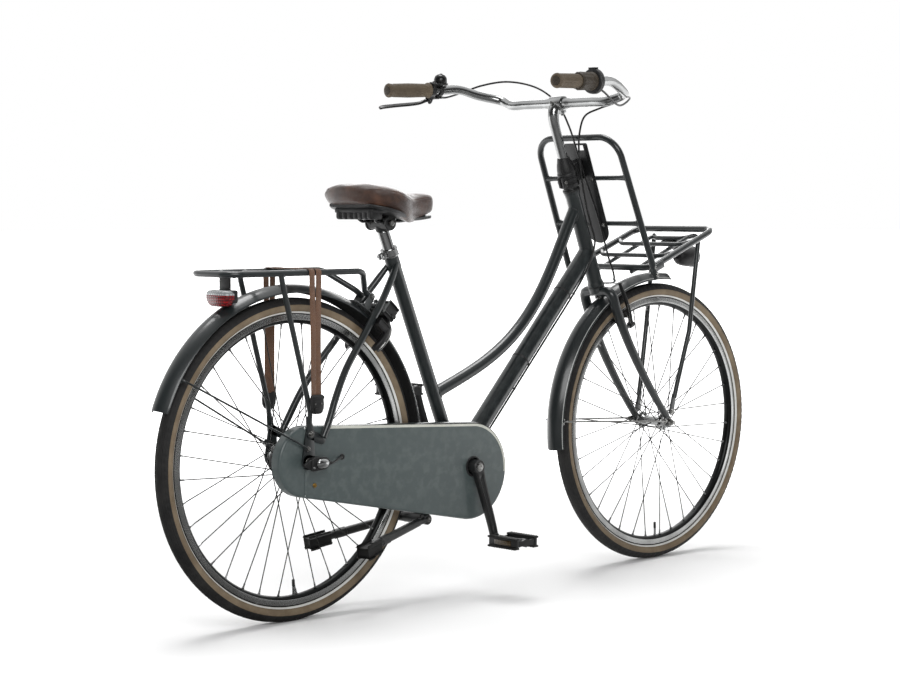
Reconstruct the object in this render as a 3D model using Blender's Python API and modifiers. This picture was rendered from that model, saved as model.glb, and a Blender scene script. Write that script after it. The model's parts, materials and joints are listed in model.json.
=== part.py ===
"""Step-through cargo bike with a front platform carrier and a rear carrier.

Metres, +X forward, +Y to the rider's left, +Z up. The origin lies on the ground, midway between the axles.
Every sub-part is one closed object. Moving pieces have their origin on their joint's axis.
"""
import math

import bmesh
import bpy
from mathutils import Matrix, Vector

# Wheels and tyres
WHEELBASE = 1.1955
TYRE_R = 0.351
TYRE_WIDTH = 0.040
TREAD_FLAT = 0.016
RIM_FLANGE_R = 0.3165
RIM_BED_R = 0.3115
RIM_INNER_R = 0.2945
RIM_WIDTH = 0.025
WHEEL_SIDES = 46
SPOKES_PER_SIDE = 18
SPOKE_R = 0.001
NIPPLE_R = 0.0019
SPOKE_LACING = math.radians(60)
SPOKE_LANE = 0.0012
REAR_FLANGE_R = 0.033
FRONT_FLANGE_R = 0.020
REAR_FLANGE_Y = 0.0315
FRONT_FLANGE_Y = 0.034
REAR_FLANGE_SHIFT = 0.002
FLANGE_THICKNESS = 0.003

# Axles and dropouts
AXLE_R = 0.005
FRONT_DROPOUT_Y = 0.050
REAR_DROPOUT_Y = 0.0605
DROPOUT_THICKNESS = 0.005

# Clearances
GAP = 0.0003
RUNNING_GAP = 0.0006

# Steering
HEAD_ANGLE = math.radians(68.9)
FORK_LENGTH = 0.4026
FORK_RAKE = 0.0767
HEAD_TUBE_LENGTH = 0.250
HEAD_TUBE_R = 0.0180
STEERER_R = 0.0143
STEM_R = 0.0118
STEM_HEIGHT = 0.464
STEM_REACH = 0.030
FORK_BLADE_R = 0.0125
FORK_TIP_R = 0.0085
FORK_CROWN_HALF = 0.045

# Main frame
BB_SETBACK = 0.496
BB_DROP = 0.0515
BB_SHELL_R = 0.020
BB_SHELL_HALF = 0.034
SEAT_ANGLE = math.radians(67.6)
SEAT_TUBE_LENGTH = 0.524
SEAT_BORE_DEPTH = 0.186
SEAT_TUBE_R = 0.0158
SEAT_POST_R = 0.0136
TOP_TUBE_R = 0.0143
TOP_TUBE_ON_SEAT = 0.180
TOP_TUBE_ON_HEAD = 0.209
TOP_TUBE_BOW = 0.0815
DOWN_TUBE_R = 0.0215
DOWN_TUBE_ON_HEAD = 0.090
CHAINSTAY_R = 0.0085
SEAT_STAY_R = 0.008
BRIDGE_R = 0.006
STAY_BRIDGE_SHARE = 0.205

# Drive
CHAIN_LINE = 0.0475
CHAIN_PITCH = 0.0127
RING_TEETH = 38
RING_WINDOWS = 5
RING_WINDOW_R = 0.015
RING_WINDOW_AT = 0.046
SPROCKET_TEETH = 19
CRANK_LENGTH = 0.170
CRANK_ANGLE = math.radians(-78)
CASE_OUTER_Y = REAR_DROPOUT_Y - GAP
CASE_WALL = 0.0015
CASE_DEPTH = 0.026
CASE_REAR_R = 0.077
CASE_FRONT_R = 0.112

# Mudguards
GUARD_R = 0.379
GUARD_HALF = 0.0275
GUARD_CROWN = 0.013
GUARD_WALL = 0.0012

# Handlebar
BAR_R = 0.0111
BAR_CLAMP_R = 0.0127
GRIP_R = 0.0165
GRIP_LENGTH = 0.125

# Rear carrier
REAR_RAIL_R = 0.006
REAR_RAIL_HALF = 0.070
REAR_RAIL_HEIGHT = 0.755
REAR_RAIL_TAIL = -0.210
REAR_RAIL_FRONT = 0.130

# Front carrier
FRONT_TUBE_R = 0.008
FRONT_HALF = 0.127
LOOP_HALF = 0.135
LOOP_AHEAD = 0.058
PLATFORM_REAR = 0.073
PLATFORM_LENGTH = 0.256
PLATFORM_RISE = 0.022

# Wheel phases
LOCK_ANGLE = 48.5
LOCK_SPOKE_PHASE = math.radians(LOCK_ANGLE + 5)

# Steerer and rim brake
STEERER_TOP = 0.312
BRAKE_BOSS_UP = -0.118
BRAKE_BOSS_AHEAD = 0.026
BRAKE_BOSS_Y = 0.0435
BRAKE_STUD = 0.012
BRAKE_ARM_LENGTH = 0.106
BRAKE_ARM_AHEAD = 0.0345
PAD_RISE = 0.021

# Handlebar bends as ahead, rise and side, and the controls along the grips
BAR_BENDS = [(0.0, 0.0, 0.0), (0.0, 0.0, 0.155), (0.010, 0.013, 0.200), (-0.040, 0.026, 0.235),
             (-0.090, 0.039, 0.250), (-0.150, 0.036, 0.262), (-0.302, 0.031, 0.278)]
TWIST_START = 0.080
TWIST_END = 0.132
SHIFTER_END = 0.150
LEVER_AT = 0.1345
LEVER_PIVOT_OFF = 0.026
LEVER_TIP_OFF = 0.046

# Cranks and pedals, as distances from the middle plane
CRANK_ROOT_Y = (0.0625, 0.0820)
CRANK_END_Y = (0.0880, 0.1010)
SPINDLE_R = 0.0085
PEDAL_HALF = 0.045
PEDAL_START_Y = 0.1085

# Mudguard stays and rear carrier feet
STAY_WIRE_R = 0.0022
CARRIER_FOOT_ANGLE = 57.5
CARRIER_FOOT_R = 0.410
CARRIER_EAR_Y = 0.0198
LEG_TOP_X = -0.078
LEG_FOOT = (0.004, 0.060)

# Tail lamp
LAMP_REAR_X = -0.199
LAMP_Z = 0.7040
LAMP_WIDTH = 0.076
LAMP_HEIGHT = 0.035

# Luggage straps
STRAP_X = 0.010
STRAP_WIDTH = 0.034
STRAP_LOW_Z = 0.487

# Saddle and seat post
SADDLE_Z = 0.9325
SADDLE_REAR = 0.170
SADDLE_LENGTH = 0.254
SADDLE_HALF = 0.108
POST_TOP = 0.588
SADDLE_THICKNESS = 0.050
SADDLE_STATIONS = 13

# Kickstand, with its pivot and foot as ahead of the rear axle, aside and height
STAND_PIVOT = (0.367, 0.187)
STAND_PIVOT_HALF = 0.046
STAND_LEG_R = 0.0085
STAND_FOOT = (0.150, 0.088, 0.151)
SPRING_PIN_R = 0.003
SPRING_R = 0.0050
SPRING_WIRE_R = 0.0008
SPRING_TURNS = 4
SPRING_POINTS = 8
SPRING_LEAD = 0.0045

# Ring lock
LOCK_R = 0.3405
LOCK_INNER = 0.0455
LOCK_OUTER = 0.0605
LOCK_THICKNESS = 0.012
LOCK_SPAN = 256
LOCK_BOW_R = 0.0042
LOCK_BOW_RING = 0.053
LOCK_BOW_SPAN = 120

# Front carrier rods
CROSS_BAR_R = 0.006

# Cables
CABLE_R = 0.0024
CABLE_HOLE_X = 0.098
CABLE_HOLE_Z = 0.3535

# Derived places
REAR_X = -WHEELBASE / 2
FRONT_X = WHEELBASE / 2
AXLE_Z = TYRE_R * math.cos(math.pi / WHEEL_SIDES)
REAR_AXLE = Vector((REAR_X, 0, AXLE_Z))
FRONT_AXLE = Vector((FRONT_X, 0, AXLE_Z))
STEER_UP = Vector((-math.cos(HEAD_ANGLE), 0, math.sin(HEAD_ANGLE)))
STEER_AHEAD = Vector((math.sin(HEAD_ANGLE), 0, math.cos(HEAD_ANGLE)))
STEER_BASE = FRONT_AXLE + FORK_LENGTH * STEER_UP - FORK_RAKE * STEER_AHEAD
BB = REAR_AXLE + Vector((BB_SETBACK, 0, -BB_DROP))
SEAT_UP = Vector((-math.cos(SEAT_ANGLE), 0, math.sin(SEAT_ANGLE)))
SEAT_AHEAD = Vector((math.sin(SEAT_ANGLE), 0, math.cos(SEAT_ANGLE)))
Y_AXIS = Vector((0, 1, 0))
CASE_FRONT = BB + Vector((-0.004, 0, -0.010))
WELD = 0.00001
FLAT_ANGLE = math.radians(0.2)

# Colours as linear red, green and blue, with roughness and metallic value
PAINT = ((0.030, 0.037, 0.040), 0.42, 0.3)
CASE_PAINT = ((0.065, 0.085, 0.088), 0.35, 0.2)
POLISHED = ((0.75, 0.75, 0.76), 0.18, 1.0)
STEEL = ((0.55, 0.55, 0.56), 0.3, 1.0)
BLACK_PLASTIC = ((0.012, 0.012, 0.013), 0.45, 0.0)
BLACK_METAL = ((0.015, 0.015, 0.016), 0.35, 0.6)
TYRE_RUBBER = ((0.02, 0.018, 0.016), 0.8, 0.0)
BROWN_LEATHER = ((0.12, 0.045, 0.022), 0.45, 0.0)
GRIP_RUBBER = ((0.075, 0.05, 0.03), 0.6, 0.0)
WEBBING = ((0.17, 0.07, 0.03), 0.8, 0.0)
RED_LENS = ((0.35, 0.0, 0.005), 0.15, 0.0)
CLEAR_LENS = ((0.8, 0.82, 0.85), 0.1, 0.0)


def remove_all_objects():
    """Empty the scene before modelling."""
    for obj in list(bpy.data.objects):
        bpy.data.objects.remove(obj, do_unlink=True)


def new_collection(name):
    """Return a new collection linked under the scene."""
    collection = bpy.data.collections.new(name)
    bpy.context.scene.collection.children.link(collection)
    return collection


remove_all_objects()
PARTS = new_collection("cargo_bike")
CUTTERS = new_collection("cutters")


def material_for(name, look):
    """Return a Principled material with the given colour, roughness and metallic value."""
    colour, roughness, metallic = look
    material = bpy.data.materials.new(name)
    material.use_nodes = True
    shader = material.node_tree.nodes["Principled BSDF"]
    shader.inputs["Base Color"].default_value = (*colour, 1.0)
    shader.inputs["Roughness"].default_value = roughness
    shader.inputs["Metallic"].default_value = metallic
    return material


def link(name, data):
    """Make an object from a mesh or a curve and put it among the parts."""
    obj = bpy.data.objects.new(name, data)
    PARTS.objects.link(obj)
    return obj


def mesh_object(name, build):
    """Make a mesh object whose geometry the function build adds to a bmesh."""
    bm = bmesh.new()
    build(bm)
    mesh = bpy.data.meshes.new(name)
    bm.to_mesh(mesh)
    bm.free()
    return link(name, mesh)


def as_mesh(obj):
    """Replace a curve, or an object with modifiers, by a plain welded mesh object."""
    bpy.context.view_layer.update()
    depsgraph = bpy.context.evaluated_depsgraph_get()
    mesh = bpy.data.meshes.new_from_object(obj.evaluated_get(depsgraph), depsgraph=depsgraph)
    matrix = obj.matrix_world.copy()
    name = obj.name
    bpy.data.objects.remove(obj, do_unlink=True)
    bm = bmesh.new()
    bm.from_mesh(mesh)
    bmesh.ops.remove_doubles(bm, verts=bm.verts, dist=WELD)
    bm.to_mesh(mesh)
    bm.free()
    solid = link(name, mesh)
    solid.matrix_world = matrix
    return solid


def combine(target, others, operation):
    """Unite others with target, or cut them from it, and return the new plain mesh object."""
    target = target if target.type == "MESH" and not target.modifiers else as_mesh(target)
    solids = []
    for other in others:
        solid = other if other.type == "MESH" and not other.modifiers else as_mesh(other)
        for collection in list(solid.users_collection):
            collection.objects.unlink(solid)
        CUTTERS.objects.link(solid)
        solid.hide_render = True
        solid.display_type = "WIRE"
        solids.append(solid)
    modifier = target.modifiers.new("join", "BOOLEAN")
    modifier.operation = operation
    modifier.operand_type = "COLLECTION"
    modifier.collection = CUTTERS
    modifier.solver = "EXACT"
    result = as_mesh(target)
    for solid in solids:
        bpy.data.objects.remove(solid, do_unlink=True)
    return result


def fuse(target, others):
    """Unite solids into one body."""
    return combine(target, others, "UNION")


def cut(target, cutters):
    """Cut solids away from a body."""
    return combine(target, cutters, "DIFFERENCE")


def finished(obj, name, look, pivot=None, smooth=35):
    """Name a piece, give it its material and smooth shading, and set its origin."""
    obj = obj if obj.type == "MESH" and not obj.modifiers else as_mesh(obj)
    obj.name = name
    obj.data.name = name
    mesh = obj.data
    bm = bmesh.new()
    bm.from_mesh(mesh)
    bmesh.ops.dissolve_limit(bm, angle_limit=FLAT_ANGLE, verts=bm.verts, edges=bm.edges)
    bm.to_mesh(mesh)
    bm.free()
    mesh.transform(obj.matrix_world)
    origin = Vector(pivot) if pivot is not None else Vector((0, 0, 0))
    mesh.transform(Matrix.Translation(-origin))
    obj.matrix_world = Matrix.Translation(origin)
    mesh.materials.clear()
    mesh.materials.append(material_for(name, look))
    mesh.shade_smooth()
    mesh.set_sharp_from_angle(angle=math.radians(smooth))
    return obj


def from_rear(ahead, side, height):
    """Point at a distance ahead of the rear axle, to the left, and above the ground."""
    return Vector((REAR_X + ahead, side, height))


def on_steering(up, ahead, side=0.0):
    """Point measured along the steering axis from the fork crown, ahead of the axis, and to the left."""
    return STEER_BASE + up * STEER_UP + ahead * STEER_AHEAD + side * Y_AXIS


def around(centre, radius, degrees, side=0.0):
    """Point on a circle about an axle, with the angle from straight ahead, rising."""
    angle = math.radians(degrees)
    return centre + Vector((radius * math.cos(angle), side, radius * math.sin(angle)))


def tube(name, points, radius, sides=8, radii=None):
    """Round tube along points, with its caps filled; radii holds one share of the radius per point."""
    curve = bpy.data.curves.new(name, "CURVE")
    curve.dimensions = "3D"
    curve.bevel_depth = radius
    curve.bevel_resolution = (sides - 4) // 2
    curve.use_fill_caps = True
    curve.resolution_u = 1
    spline = curve.splines.new("POLY")
    spline.points.add(len(points) - 1)
    for index, point in enumerate(points):
        spline.points[index].co = (*point, 1.0)
        spline.points[index].radius = radii[index] if radii else 1.0
    return link(name, curve)


def smooth_path(points, steps):
    """Points of a curve that runs evenly through all the given points."""
    path = [Vector(point) for point in points]
    padded = [2 * path[0] - path[1]] + path + [2 * path[-1] - path[-2]]
    result = []
    for index in range(1, len(padded) - 2):
        before, start, end, after = padded[index - 1:index + 3]
        for step in range(steps):
            t = step / steps
            result.append(0.5 * (2 * start + (end - before) * t
                                 + (2 * before - 5 * start + 4 * end - after) * t ** 2
                                 + (3 * start - before - 3 * end + after) * t ** 3))
    result.append(path[-1])
    return result


def bent(points, bend_radius, steps=3):
    """Path of straight runs whose corners are rounded to the bend radius."""
    path = [Vector(point) for point in points]
    result = [path[0]]
    for before, corner, after in zip(path, path[1:], path[2:]):
        to_before = (before - corner).normalized()
        to_after = (after - corner).normalized()
        half = to_before.angle(to_after) / 2
        longest = 0.48 * min((before - corner).length, (after - corner).length)
        reach = min(bend_radius / math.tan(half), longest)
        radius = reach * math.tan(half)
        centre = corner + (to_before + to_after).normalized() * radius / math.sin(half)
        start = corner + to_before * reach - centre
        end = corner + to_after * reach - centre
        sweep = start.angle(end)
        for step in range(steps + 1):
            t = step / steps
            result.append(centre
                          + (math.sin((1 - t) * sweep) * start
                             + math.sin(t * sweep) * end) / math.sin(sweep))
    result.append(path[-1])
    return result


def cylinder(name, start, end, radius, sides=12, end_radius=None):
    """Solid cylinder or cone between two points."""
    start = Vector(start)
    end = Vector(end)
    axis = end - start

    def build(bm):
        bmesh.ops.create_cone(bm, cap_ends=True, segments=sides, radius1=radius,
                              radius2=radius if end_radius is None else end_radius, depth=axis.length)

    obj = mesh_object(name, build)
    rotation = Vector((0, 0, 1)).rotation_difference(axis).to_matrix().to_4x4()
    obj.data.transform(Matrix.Translation((start + end) / 2) @ rotation)
    return obj


def box(name, centre, size, axes=None, bevel=0.0, segments=1):
    """Box with its own length, width and height directions, and optional rounded edges."""
    def build(bm):
        bmesh.ops.create_cube(bm, size=1.0)

    obj = mesh_object(name, build)
    obj.data.transform(Matrix.Diagonal((*size, 1.0)))
    if bevel:
        modifier = obj.modifiers.new("round", "BEVEL")
        modifier.width = bevel
        modifier.segments = segments
        modifier.limit_method = "ANGLE"
        obj = as_mesh(obj)
    rotation = Matrix.Identity(4)
    if axes:
        rotation = Matrix([axes[0], axes[1], axes[2]]).transposed().to_4x4()
    obj.data.transform(Matrix.Translation(centre) @ rotation)
    return obj


def turned(name, profile, centre, axis, sides, closed=True, sweep=360.0, start=0.0):
    """Turned shape: a profile of (radius, height) pairs that runs down its outer side."""
    def build(bm):
        verts = [bm.verts.new((radius, 0, height)) for radius, height in profile]
        for first, second in zip(verts, verts[1:]):
            bm.edges.new((first, second))
        if closed:
            bm.edges.new((verts[-1], verts[0]))

    obj = mesh_object(name, build)
    screw = obj.modifiers.new("turn", "SCREW")
    screw.angle = math.radians(sweep)
    screw.steps = sides
    screw.render_steps = sides
    screw.use_merge_vertices = True
    screw.merge_threshold = WELD
    rotation = Vector((0, 0, 1)).rotation_difference(Vector(axis)).to_matrix().to_4x4()
    obj.matrix_world = Matrix.Translation(centre) @ rotation @ Matrix.Rotation(math.radians(start), 4,
                                                                               "Z")
    return obj


def bore_for(shaft_radius, clearance, sides):
    """Radius of a faceted hole that clears a round shaft by the given clearance."""
    return (shaft_radius + clearance) / math.cos(math.pi / sides)


def outline_plate(name, outline, thickness, origin, across, up, holes=()):
    """Flat plate: an outline of (across, up) pairs, thickened about its middle plane."""
    curve = bpy.data.curves.new(name, "CURVE")
    curve.dimensions = "2D"
    curve.fill_mode = "BOTH"
    curve.extrude = thickness / 2
    for loop in (outline, *holes):
        spline = curve.splines.new("POLY")
        spline.points.add(len(loop) - 1)
        for index, (a, b) in enumerate(loop):
            spline.points[index].co = (a, b, 0, 1.0)
        spline.use_cyclic_u = True
    obj = link(name, curve)
    normal = Vector(across).cross(Vector(up))
    rotation = Matrix([Vector(across), Vector(up), normal]).transposed().to_4x4()
    obj.matrix_world = Matrix.Translation(origin) @ rotation
    return as_mesh(obj)


def circle_loop(radius, sides, centre=(0, 0), phase=0.0):
    """Points of a regular polygon about a centre."""
    return [(centre[0] + radius * math.cos(phase + 2 * math.pi * k / sides),
             centre[1] + radius * math.sin(phase + 2 * math.pi * k / sides)) for k in range(sides)]


def link_outline(start, end, start_radius, end_radius, steps=6):
    """Outline of a bar with round ends of two radii."""
    ax, ay = start
    bx, by = end
    length = math.hypot(bx - ax, by - ay)
    heading = math.atan2(by - ay, bx - ax)
    lean = math.acos((start_radius - end_radius) / length)
    points = []
    for k in range(steps + 1):
        angle = heading + lean + (2 * math.pi - 2 * lean) * k / steps
        points.append((ax + start_radius * math.cos(angle), ay + start_radius * math.sin(angle)))
    for k in range(steps + 1):
        angle = heading - lean + 2 * lean * k / steps
        points.append((bx + end_radius * math.cos(angle), by + end_radius * math.sin(angle)))
    return points


def bar_plate(name, start, end, start_radius, end_radius, thickness, side, steps=6, holes=()):
    """Upright plate shaped as a bar with round ends, between two points, at a distance to the left."""
    outline = link_outline((start.x, start.z), (end.x, end.z), start_radius, end_radius, steps)
    return outline_plate(name, outline, thickness, Vector((0, side, 0)), (1, 0, 0), (0, 0, 1), holes)


def mirrored(points):
    """Points reflected to the other side of the bike."""
    return [Vector((point[0], -point[1], point[2])) for point in points]


# Wheels

def tyre(name, centre):
    """Tyre with a flat tread band, resting on the rim's flanges."""
    flat = TREAD_FLAT / 2
    half = TYRE_WIDTH / 2
    seat = RIM_FLANGE_R + GAP
    widest = (TYRE_R + seat) / 2 - 0.003
    profile = [(TYRE_R, flat), (TYRE_R, -flat), (widest, -half), (seat, -0.6 * half), (seat, 0.6 * half),
               (widest, half)]
    obj = turned(name, profile, centre, Y_AXIS, WHEEL_SIDES)
    return finished(obj, name, TYRE_RUBBER, centre)


def rim(name, centre):
    """Hollow-backed rim with a bed between two flanges."""
    half = RIM_WIDTH / 2
    bed = 0.36 * RIM_WIDTH
    profile = [(RIM_FLANGE_R, half), (RIM_BED_R, bed), (RIM_BED_R, -bed), (RIM_FLANGE_R, -half),
               (RIM_INNER_R, -0.6 * half), (RIM_INNER_R, 0.6 * half)]
    obj = turned(name, profile, centre, Y_AXIS, WHEEL_SIDES)
    return finished(obj, name, POLISHED, centre)


def spoke(centre, index, flange_r, flange_y, phase):
    """One spoke from its flange hole to its nipple at the rim, on alternate sides and slants."""
    side = 1 if index % 2 == 0 else -1
    slant = 1 if (index // 2) % 2 == 0 else -1
    rim_angle = phase + 2 * math.pi * index / (2 * SPOKES_PER_SIDE)
    hub_angle = rim_angle + slant * SPOKE_LACING
    seat = (RIM_INNER_R * math.cos(math.pi / WHEEL_SIDES) - GAP)
    lane = slant * SPOKE_LANE
    head_y = side * flange_y[0 if side > 0 else 1] + lane
    head = Vector((flange_r * math.cos(hub_angle), head_y, flange_r * math.sin(hub_angle)))
    foot = Vector((seat * math.cos(rim_angle), side * 0.0015 + lane, seat * math.sin(rim_angle)))
    return tube("spoke", [centre + head, centre + foot], NIPPLE_R, 4, [SPOKE_R / NIPPLE_R, 1.0])


def hub(name, centre, profile, flange_r, flange_y, phase, look):
    """Hub shell with all its laced spokes."""
    shell = turned("shell", profile, centre, Y_AXIS, 15)
    spokes = [spoke(centre, index, flange_r - 0.004, flange_y, phase)
              for index in range(2 * SPOKES_PER_SIDE)]
    return finished(fuse(shell, spokes), name, look, centre)


def wheels():
    """Both wheels: tyres, rims, and hubs with their spokes."""
    rear_left = REAR_FLANGE_Y + REAR_FLANGE_SHIFT
    rear_right = REAR_FLANGE_Y - REAR_FLANGE_SHIFT
    lip = FLANGE_THICKNESS / 2
    bore = bore_for(AXLE_R, GAP, 14)
    rear_profile = [(bore, rear_left + 0.013), (0.024, rear_left + 0.013), (0.0285, rear_left + 0.004),
                    (REAR_FLANGE_R, rear_left + lip), (REAR_FLANGE_R, rear_left - lip),
                    (0.027, rear_left - 0.007), (0.027, -rear_right + 0.007),
                    (REAR_FLANGE_R, -rear_right + lip), (REAR_FLANGE_R, -rear_right - lip),
                    (0.020, -rear_right - 0.005), (bore, -rear_right - 0.005)]
    front_profile = [(bore, FRONT_FLANGE_Y + 0.011), (0.010, FRONT_FLANGE_Y + 0.011),
                     (0.013, FRONT_FLANGE_Y + 0.003), (FRONT_FLANGE_R, FRONT_FLANGE_Y + lip),
                     (FRONT_FLANGE_R, FRONT_FLANGE_Y - lip), (0.0125, FRONT_FLANGE_Y - 0.008),
                     (0.0125, -FRONT_FLANGE_Y + 0.008), (FRONT_FLANGE_R, -FRONT_FLANGE_Y + lip),
                     (FRONT_FLANGE_R, -FRONT_FLANGE_Y - lip), (0.013, -FRONT_FLANGE_Y - 0.003),
                     (0.010, -FRONT_FLANGE_Y - 0.011), (bore, -FRONT_FLANGE_Y - 0.011)]
    tyre("rear_tyre", REAR_AXLE)
    rim("rear_rim", REAR_AXLE)
    hub("rear_hub", REAR_AXLE, rear_profile, REAR_FLANGE_R, (rear_left, rear_right), LOCK_SPOKE_PHASE,
        STEEL)
    tyre("front_tyre", FRONT_AXLE)
    rim("front_rim", FRONT_AXLE)
    hub("front_hub", FRONT_AXLE, front_profile, FRONT_FLANGE_R, (FRONT_FLANGE_Y, FRONT_FLANGE_Y),
        math.radians(5), POLISHED)


# Main frame

def top_tube_path(count=9):
    """Bowed top tube from the seat tube up to the head tube."""
    start = BB + TOP_TUBE_ON_SEAT * SEAT_UP
    end = on_steering(TOP_TUBE_ON_HEAD, 0)
    chord = end - start
    below = Vector((chord.z, 0, -chord.x)).normalized()
    points = []
    for k in range(count + 1):
        t = k / count
        bow = TOP_TUBE_BOW * math.sin(math.pi * t ** 0.95) ** 1.15 if 0 < k < count else 0.0
        points.append(start + t * chord + bow * below)
    return points


def chainstay_path(sign):
    """Chainstay that runs beside the tyre, crosses the chain's plane and ends at the dropout."""
    stations = [(0.0, 0.026), (0.15, 0.0325), (0.40, 0.0335), (0.62, 0.0385), (0.80, 0.047),
                (0.90, 0.056), (0.955, REAR_DROPOUT_Y + 0.002)]
    return [BB.lerp(REAR_AXLE, share) + Vector((0, sign * side, 0)) for share, side in stations]


def seat_stay_path(sign):
    """Seat stay from the seat tube's head, past the mudguard, to the outside of the dropout."""
    top = BB + (SEAT_TUBE_LENGTH - 0.017) * SEAT_UP
    foot = REAR_AXLE + Vector((0.036, 0, 0.052))
    beside_guard = GUARD_HALF + SEAT_STAY_R + 0.002
    stations = [(0.0, 0.0, 0.012), (0.09, 0.0, 0.0215), (0.26, 0.004, beside_guard - 0.002),
                (0.33, 0.006, beside_guard), (0.47, 0.010, beside_guard + 0.005), (0.64, 0.016, 0.0505),
                (0.80, 0.012, 0.0610), (0.92, 0.004, 0.0680), (1.0, 0.0, REAR_DROPOUT_Y + 0.0095)]
    line = foot - top
    out = Vector((line.z, 0, -line.x)).normalized()
    return [top + share * line + bow * out + Vector((0, sign * side, 0)) for share, bow, side in stations]


def main_frame():
    """Welded frame: head tube, three main tubes, stays, bottom bracket shell and dropouts."""
    head = cylinder("head", on_steering(0.003, 0), on_steering(HEAD_TUBE_LENGTH, 0), HEAD_TUBE_R, 14)
    pieces = [cylinder("cup_low", on_steering(0.001, 0), on_steering(0.012, 0), HEAD_TUBE_R + 0.003,
                       14),
              cylinder("cup_high", on_steering(HEAD_TUBE_LENGTH - 0.006, 0),
                       on_steering(HEAD_TUBE_LENGTH + 0.010, 0), HEAD_TUBE_R + 0.003, 14),
              tube("top_tube", top_tube_path(), TOP_TUBE_R),
              cylinder("down_tube", BB, on_steering(DOWN_TUBE_ON_HEAD, 0), DOWN_TUBE_R, 10),
              cylinder("seat_tube", BB, BB + SEAT_TUBE_LENGTH * SEAT_UP, SEAT_TUBE_R, 10),
              cylinder("shell", BB - BB_SHELL_HALF * Y_AXIS, BB + BB_SHELL_HALF * Y_AXIS, BB_SHELL_R,
                       12)]
    for sign in (1, -1):
        pieces.append(tube("chainstay", chainstay_path(sign), CHAINSTAY_R, 6))
        pieces.append(tube("seat_stay", seat_stay_path(sign), SEAT_STAY_R, 6))
        middle = sign * (REAR_DROPOUT_Y + DROPOUT_THICKNESS / 2)
        ear = REAR_AXLE + Vector((0.004, 0, 0.060))
        low = REAR_AXLE + Vector((0.050, 0, -0.005))
        pieces.append(bar_plate("dropout", REAR_AXLE, ear, 0.017, 0.011, DROPOUT_THICKNESS, middle, 3))
        pieces.append(bar_plate("dropout", REAR_AXLE, low, 0.0165, 0.010, DROPOUT_THICKNESS, middle, 3))
        pieces.append(bar_plate("dropout", ear, REAR_AXLE + Vector((0.038, 0, 0.045)), 0.0112, 0.009,
                                DROPOUT_THICKNESS, middle, 3))
    high_bridge = [seat_stay_path(sign)[2] for sign in (1, -1)]
    low_bridge = [BB.lerp(REAR_AXLE, STAY_BRIDGE_SHARE) + Vector((0, sign * 0.030, 0))
                  for sign in (1, -1)]
    pieces.append(cylinder("bridge", *high_bridge, BRIDGE_R, 8))
    pieces.append(cylinder("bridge", *low_bridge, BRIDGE_R, 8))
    frame = fuse(head, pieces)
    axle_hole = bore_for(AXLE_R, GAP, 8)
    steerer_hole = bore_for(STEERER_R, GAP, 14)
    post_hole = bore_for(SEAT_POST_R, GAP, 10)
    shell_hole = 0.0175
    cutters = [cylinder("bore", on_steering(-0.02, 0), on_steering(HEAD_TUBE_LENGTH + 0.04, 0),
                        steerer_hole, 14),
               cylinder("bore", BB + (SEAT_TUBE_LENGTH - SEAT_BORE_DEPTH) * SEAT_UP,
                        BB + (SEAT_TUBE_LENGTH + 0.03) * SEAT_UP, post_hole, 10),
               cylinder("bore", BB - 0.06 * Y_AXIS, BB + 0.06 * Y_AXIS, shell_hole, 12),
               cylinder("bore", REAR_AXLE - 0.09 * Y_AXIS, REAR_AXLE + 0.09 * Y_AXIS, axle_hole, 8)]
    return finished(cut(frame, cutters), "main_frame", PAINT, smooth=40)


# Fork and steering

def blade_path(sign):
    """Fork blade from the crown's end down to its tip, leaning forward to the rake."""
    tip = FORK_LENGTH - 0.0196
    points = []
    for up, ahead, side in ((-0.014, 0.0, FORK_CROWN_HALF - 0.006), (-0.022, 0.0, FORK_CROWN_HALF),
                            (-0.042, 0.0, FORK_CROWN_HALF + 0.002)):
        points.append(on_steering(up, ahead, sign * side))
    steps = 7
    for k in range(1, steps + 1):
        share = k / steps
        up = -0.042 - (tip - 0.042) * share
        ahead = (FORK_RAKE - 0.0045) * share ** 1.7
        points.append(on_steering(up, ahead, sign * (FORK_CROWN_HALF + 0.002 + 0.0065 * share)))
    return points


def fork():
    """Unicrown fork: steerer, crown, tapering blades and dropouts, with the brake's bosses."""
    steerer = cylinder("steerer", on_steering(-0.012, 0), on_steering(STEERER_TOP, 0), STEERER_R, 14)
    crown_race = cylinder("race", on_steering(-0.010, 0), on_steering(0.0005, 0), HEAD_TUBE_R + 0.002, 14)
    pieces = [crown_race]
    path = blade_path(-1)[::-1] + [on_steering(-0.0125, 0, 0)] + blade_path(1)
    blade = blade_path(1)
    taper = [1.0] * 4 + [1.0 - (1 - FORK_TIP_R / FORK_BLADE_R) * ((k + 1) / 6) for k in range(6)]
    pieces.append(tube("blades", path, FORK_BLADE_R, 8, taper[::-1] + [1.0] + taper))
    for sign in (1, -1):
        middle = sign * (FRONT_DROPOUT_Y + DROPOUT_THICKNESS / 2)
        tip = blade[-1]
        pieces.append(bar_plate("dropout", FRONT_AXLE, Vector((tip.x, 0, tip.z)), 0.012, 0.0085,
                                DROPOUT_THICKNESS, middle, 3))
        boss = on_steering(BRAKE_BOSS_UP, BRAKE_BOSS_AHEAD, sign * BRAKE_BOSS_Y)
        pieces.append(cylinder("boss", boss - 0.022 * STEER_AHEAD, boss + BRAKE_STUD * STEER_AHEAD,
                               0.004, 6))
    body = fuse(steerer, pieces)
    cutters = [cylinder("bore", on_steering(STEERER_TOP - 0.13, 0), on_steering(STEERER_TOP + 0.02, 0),
                        bore_for(STEM_R, GAP, 10), 10),
               cylinder("bore", FRONT_AXLE - 0.09 * Y_AXIS, FRONT_AXLE + 0.09 * Y_AXIS,
                        bore_for(AXLE_R, GAP, 8), 8)]
    return finished(cut(body, cutters), "fork", PAINT, STEER_BASE, 40)


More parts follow.
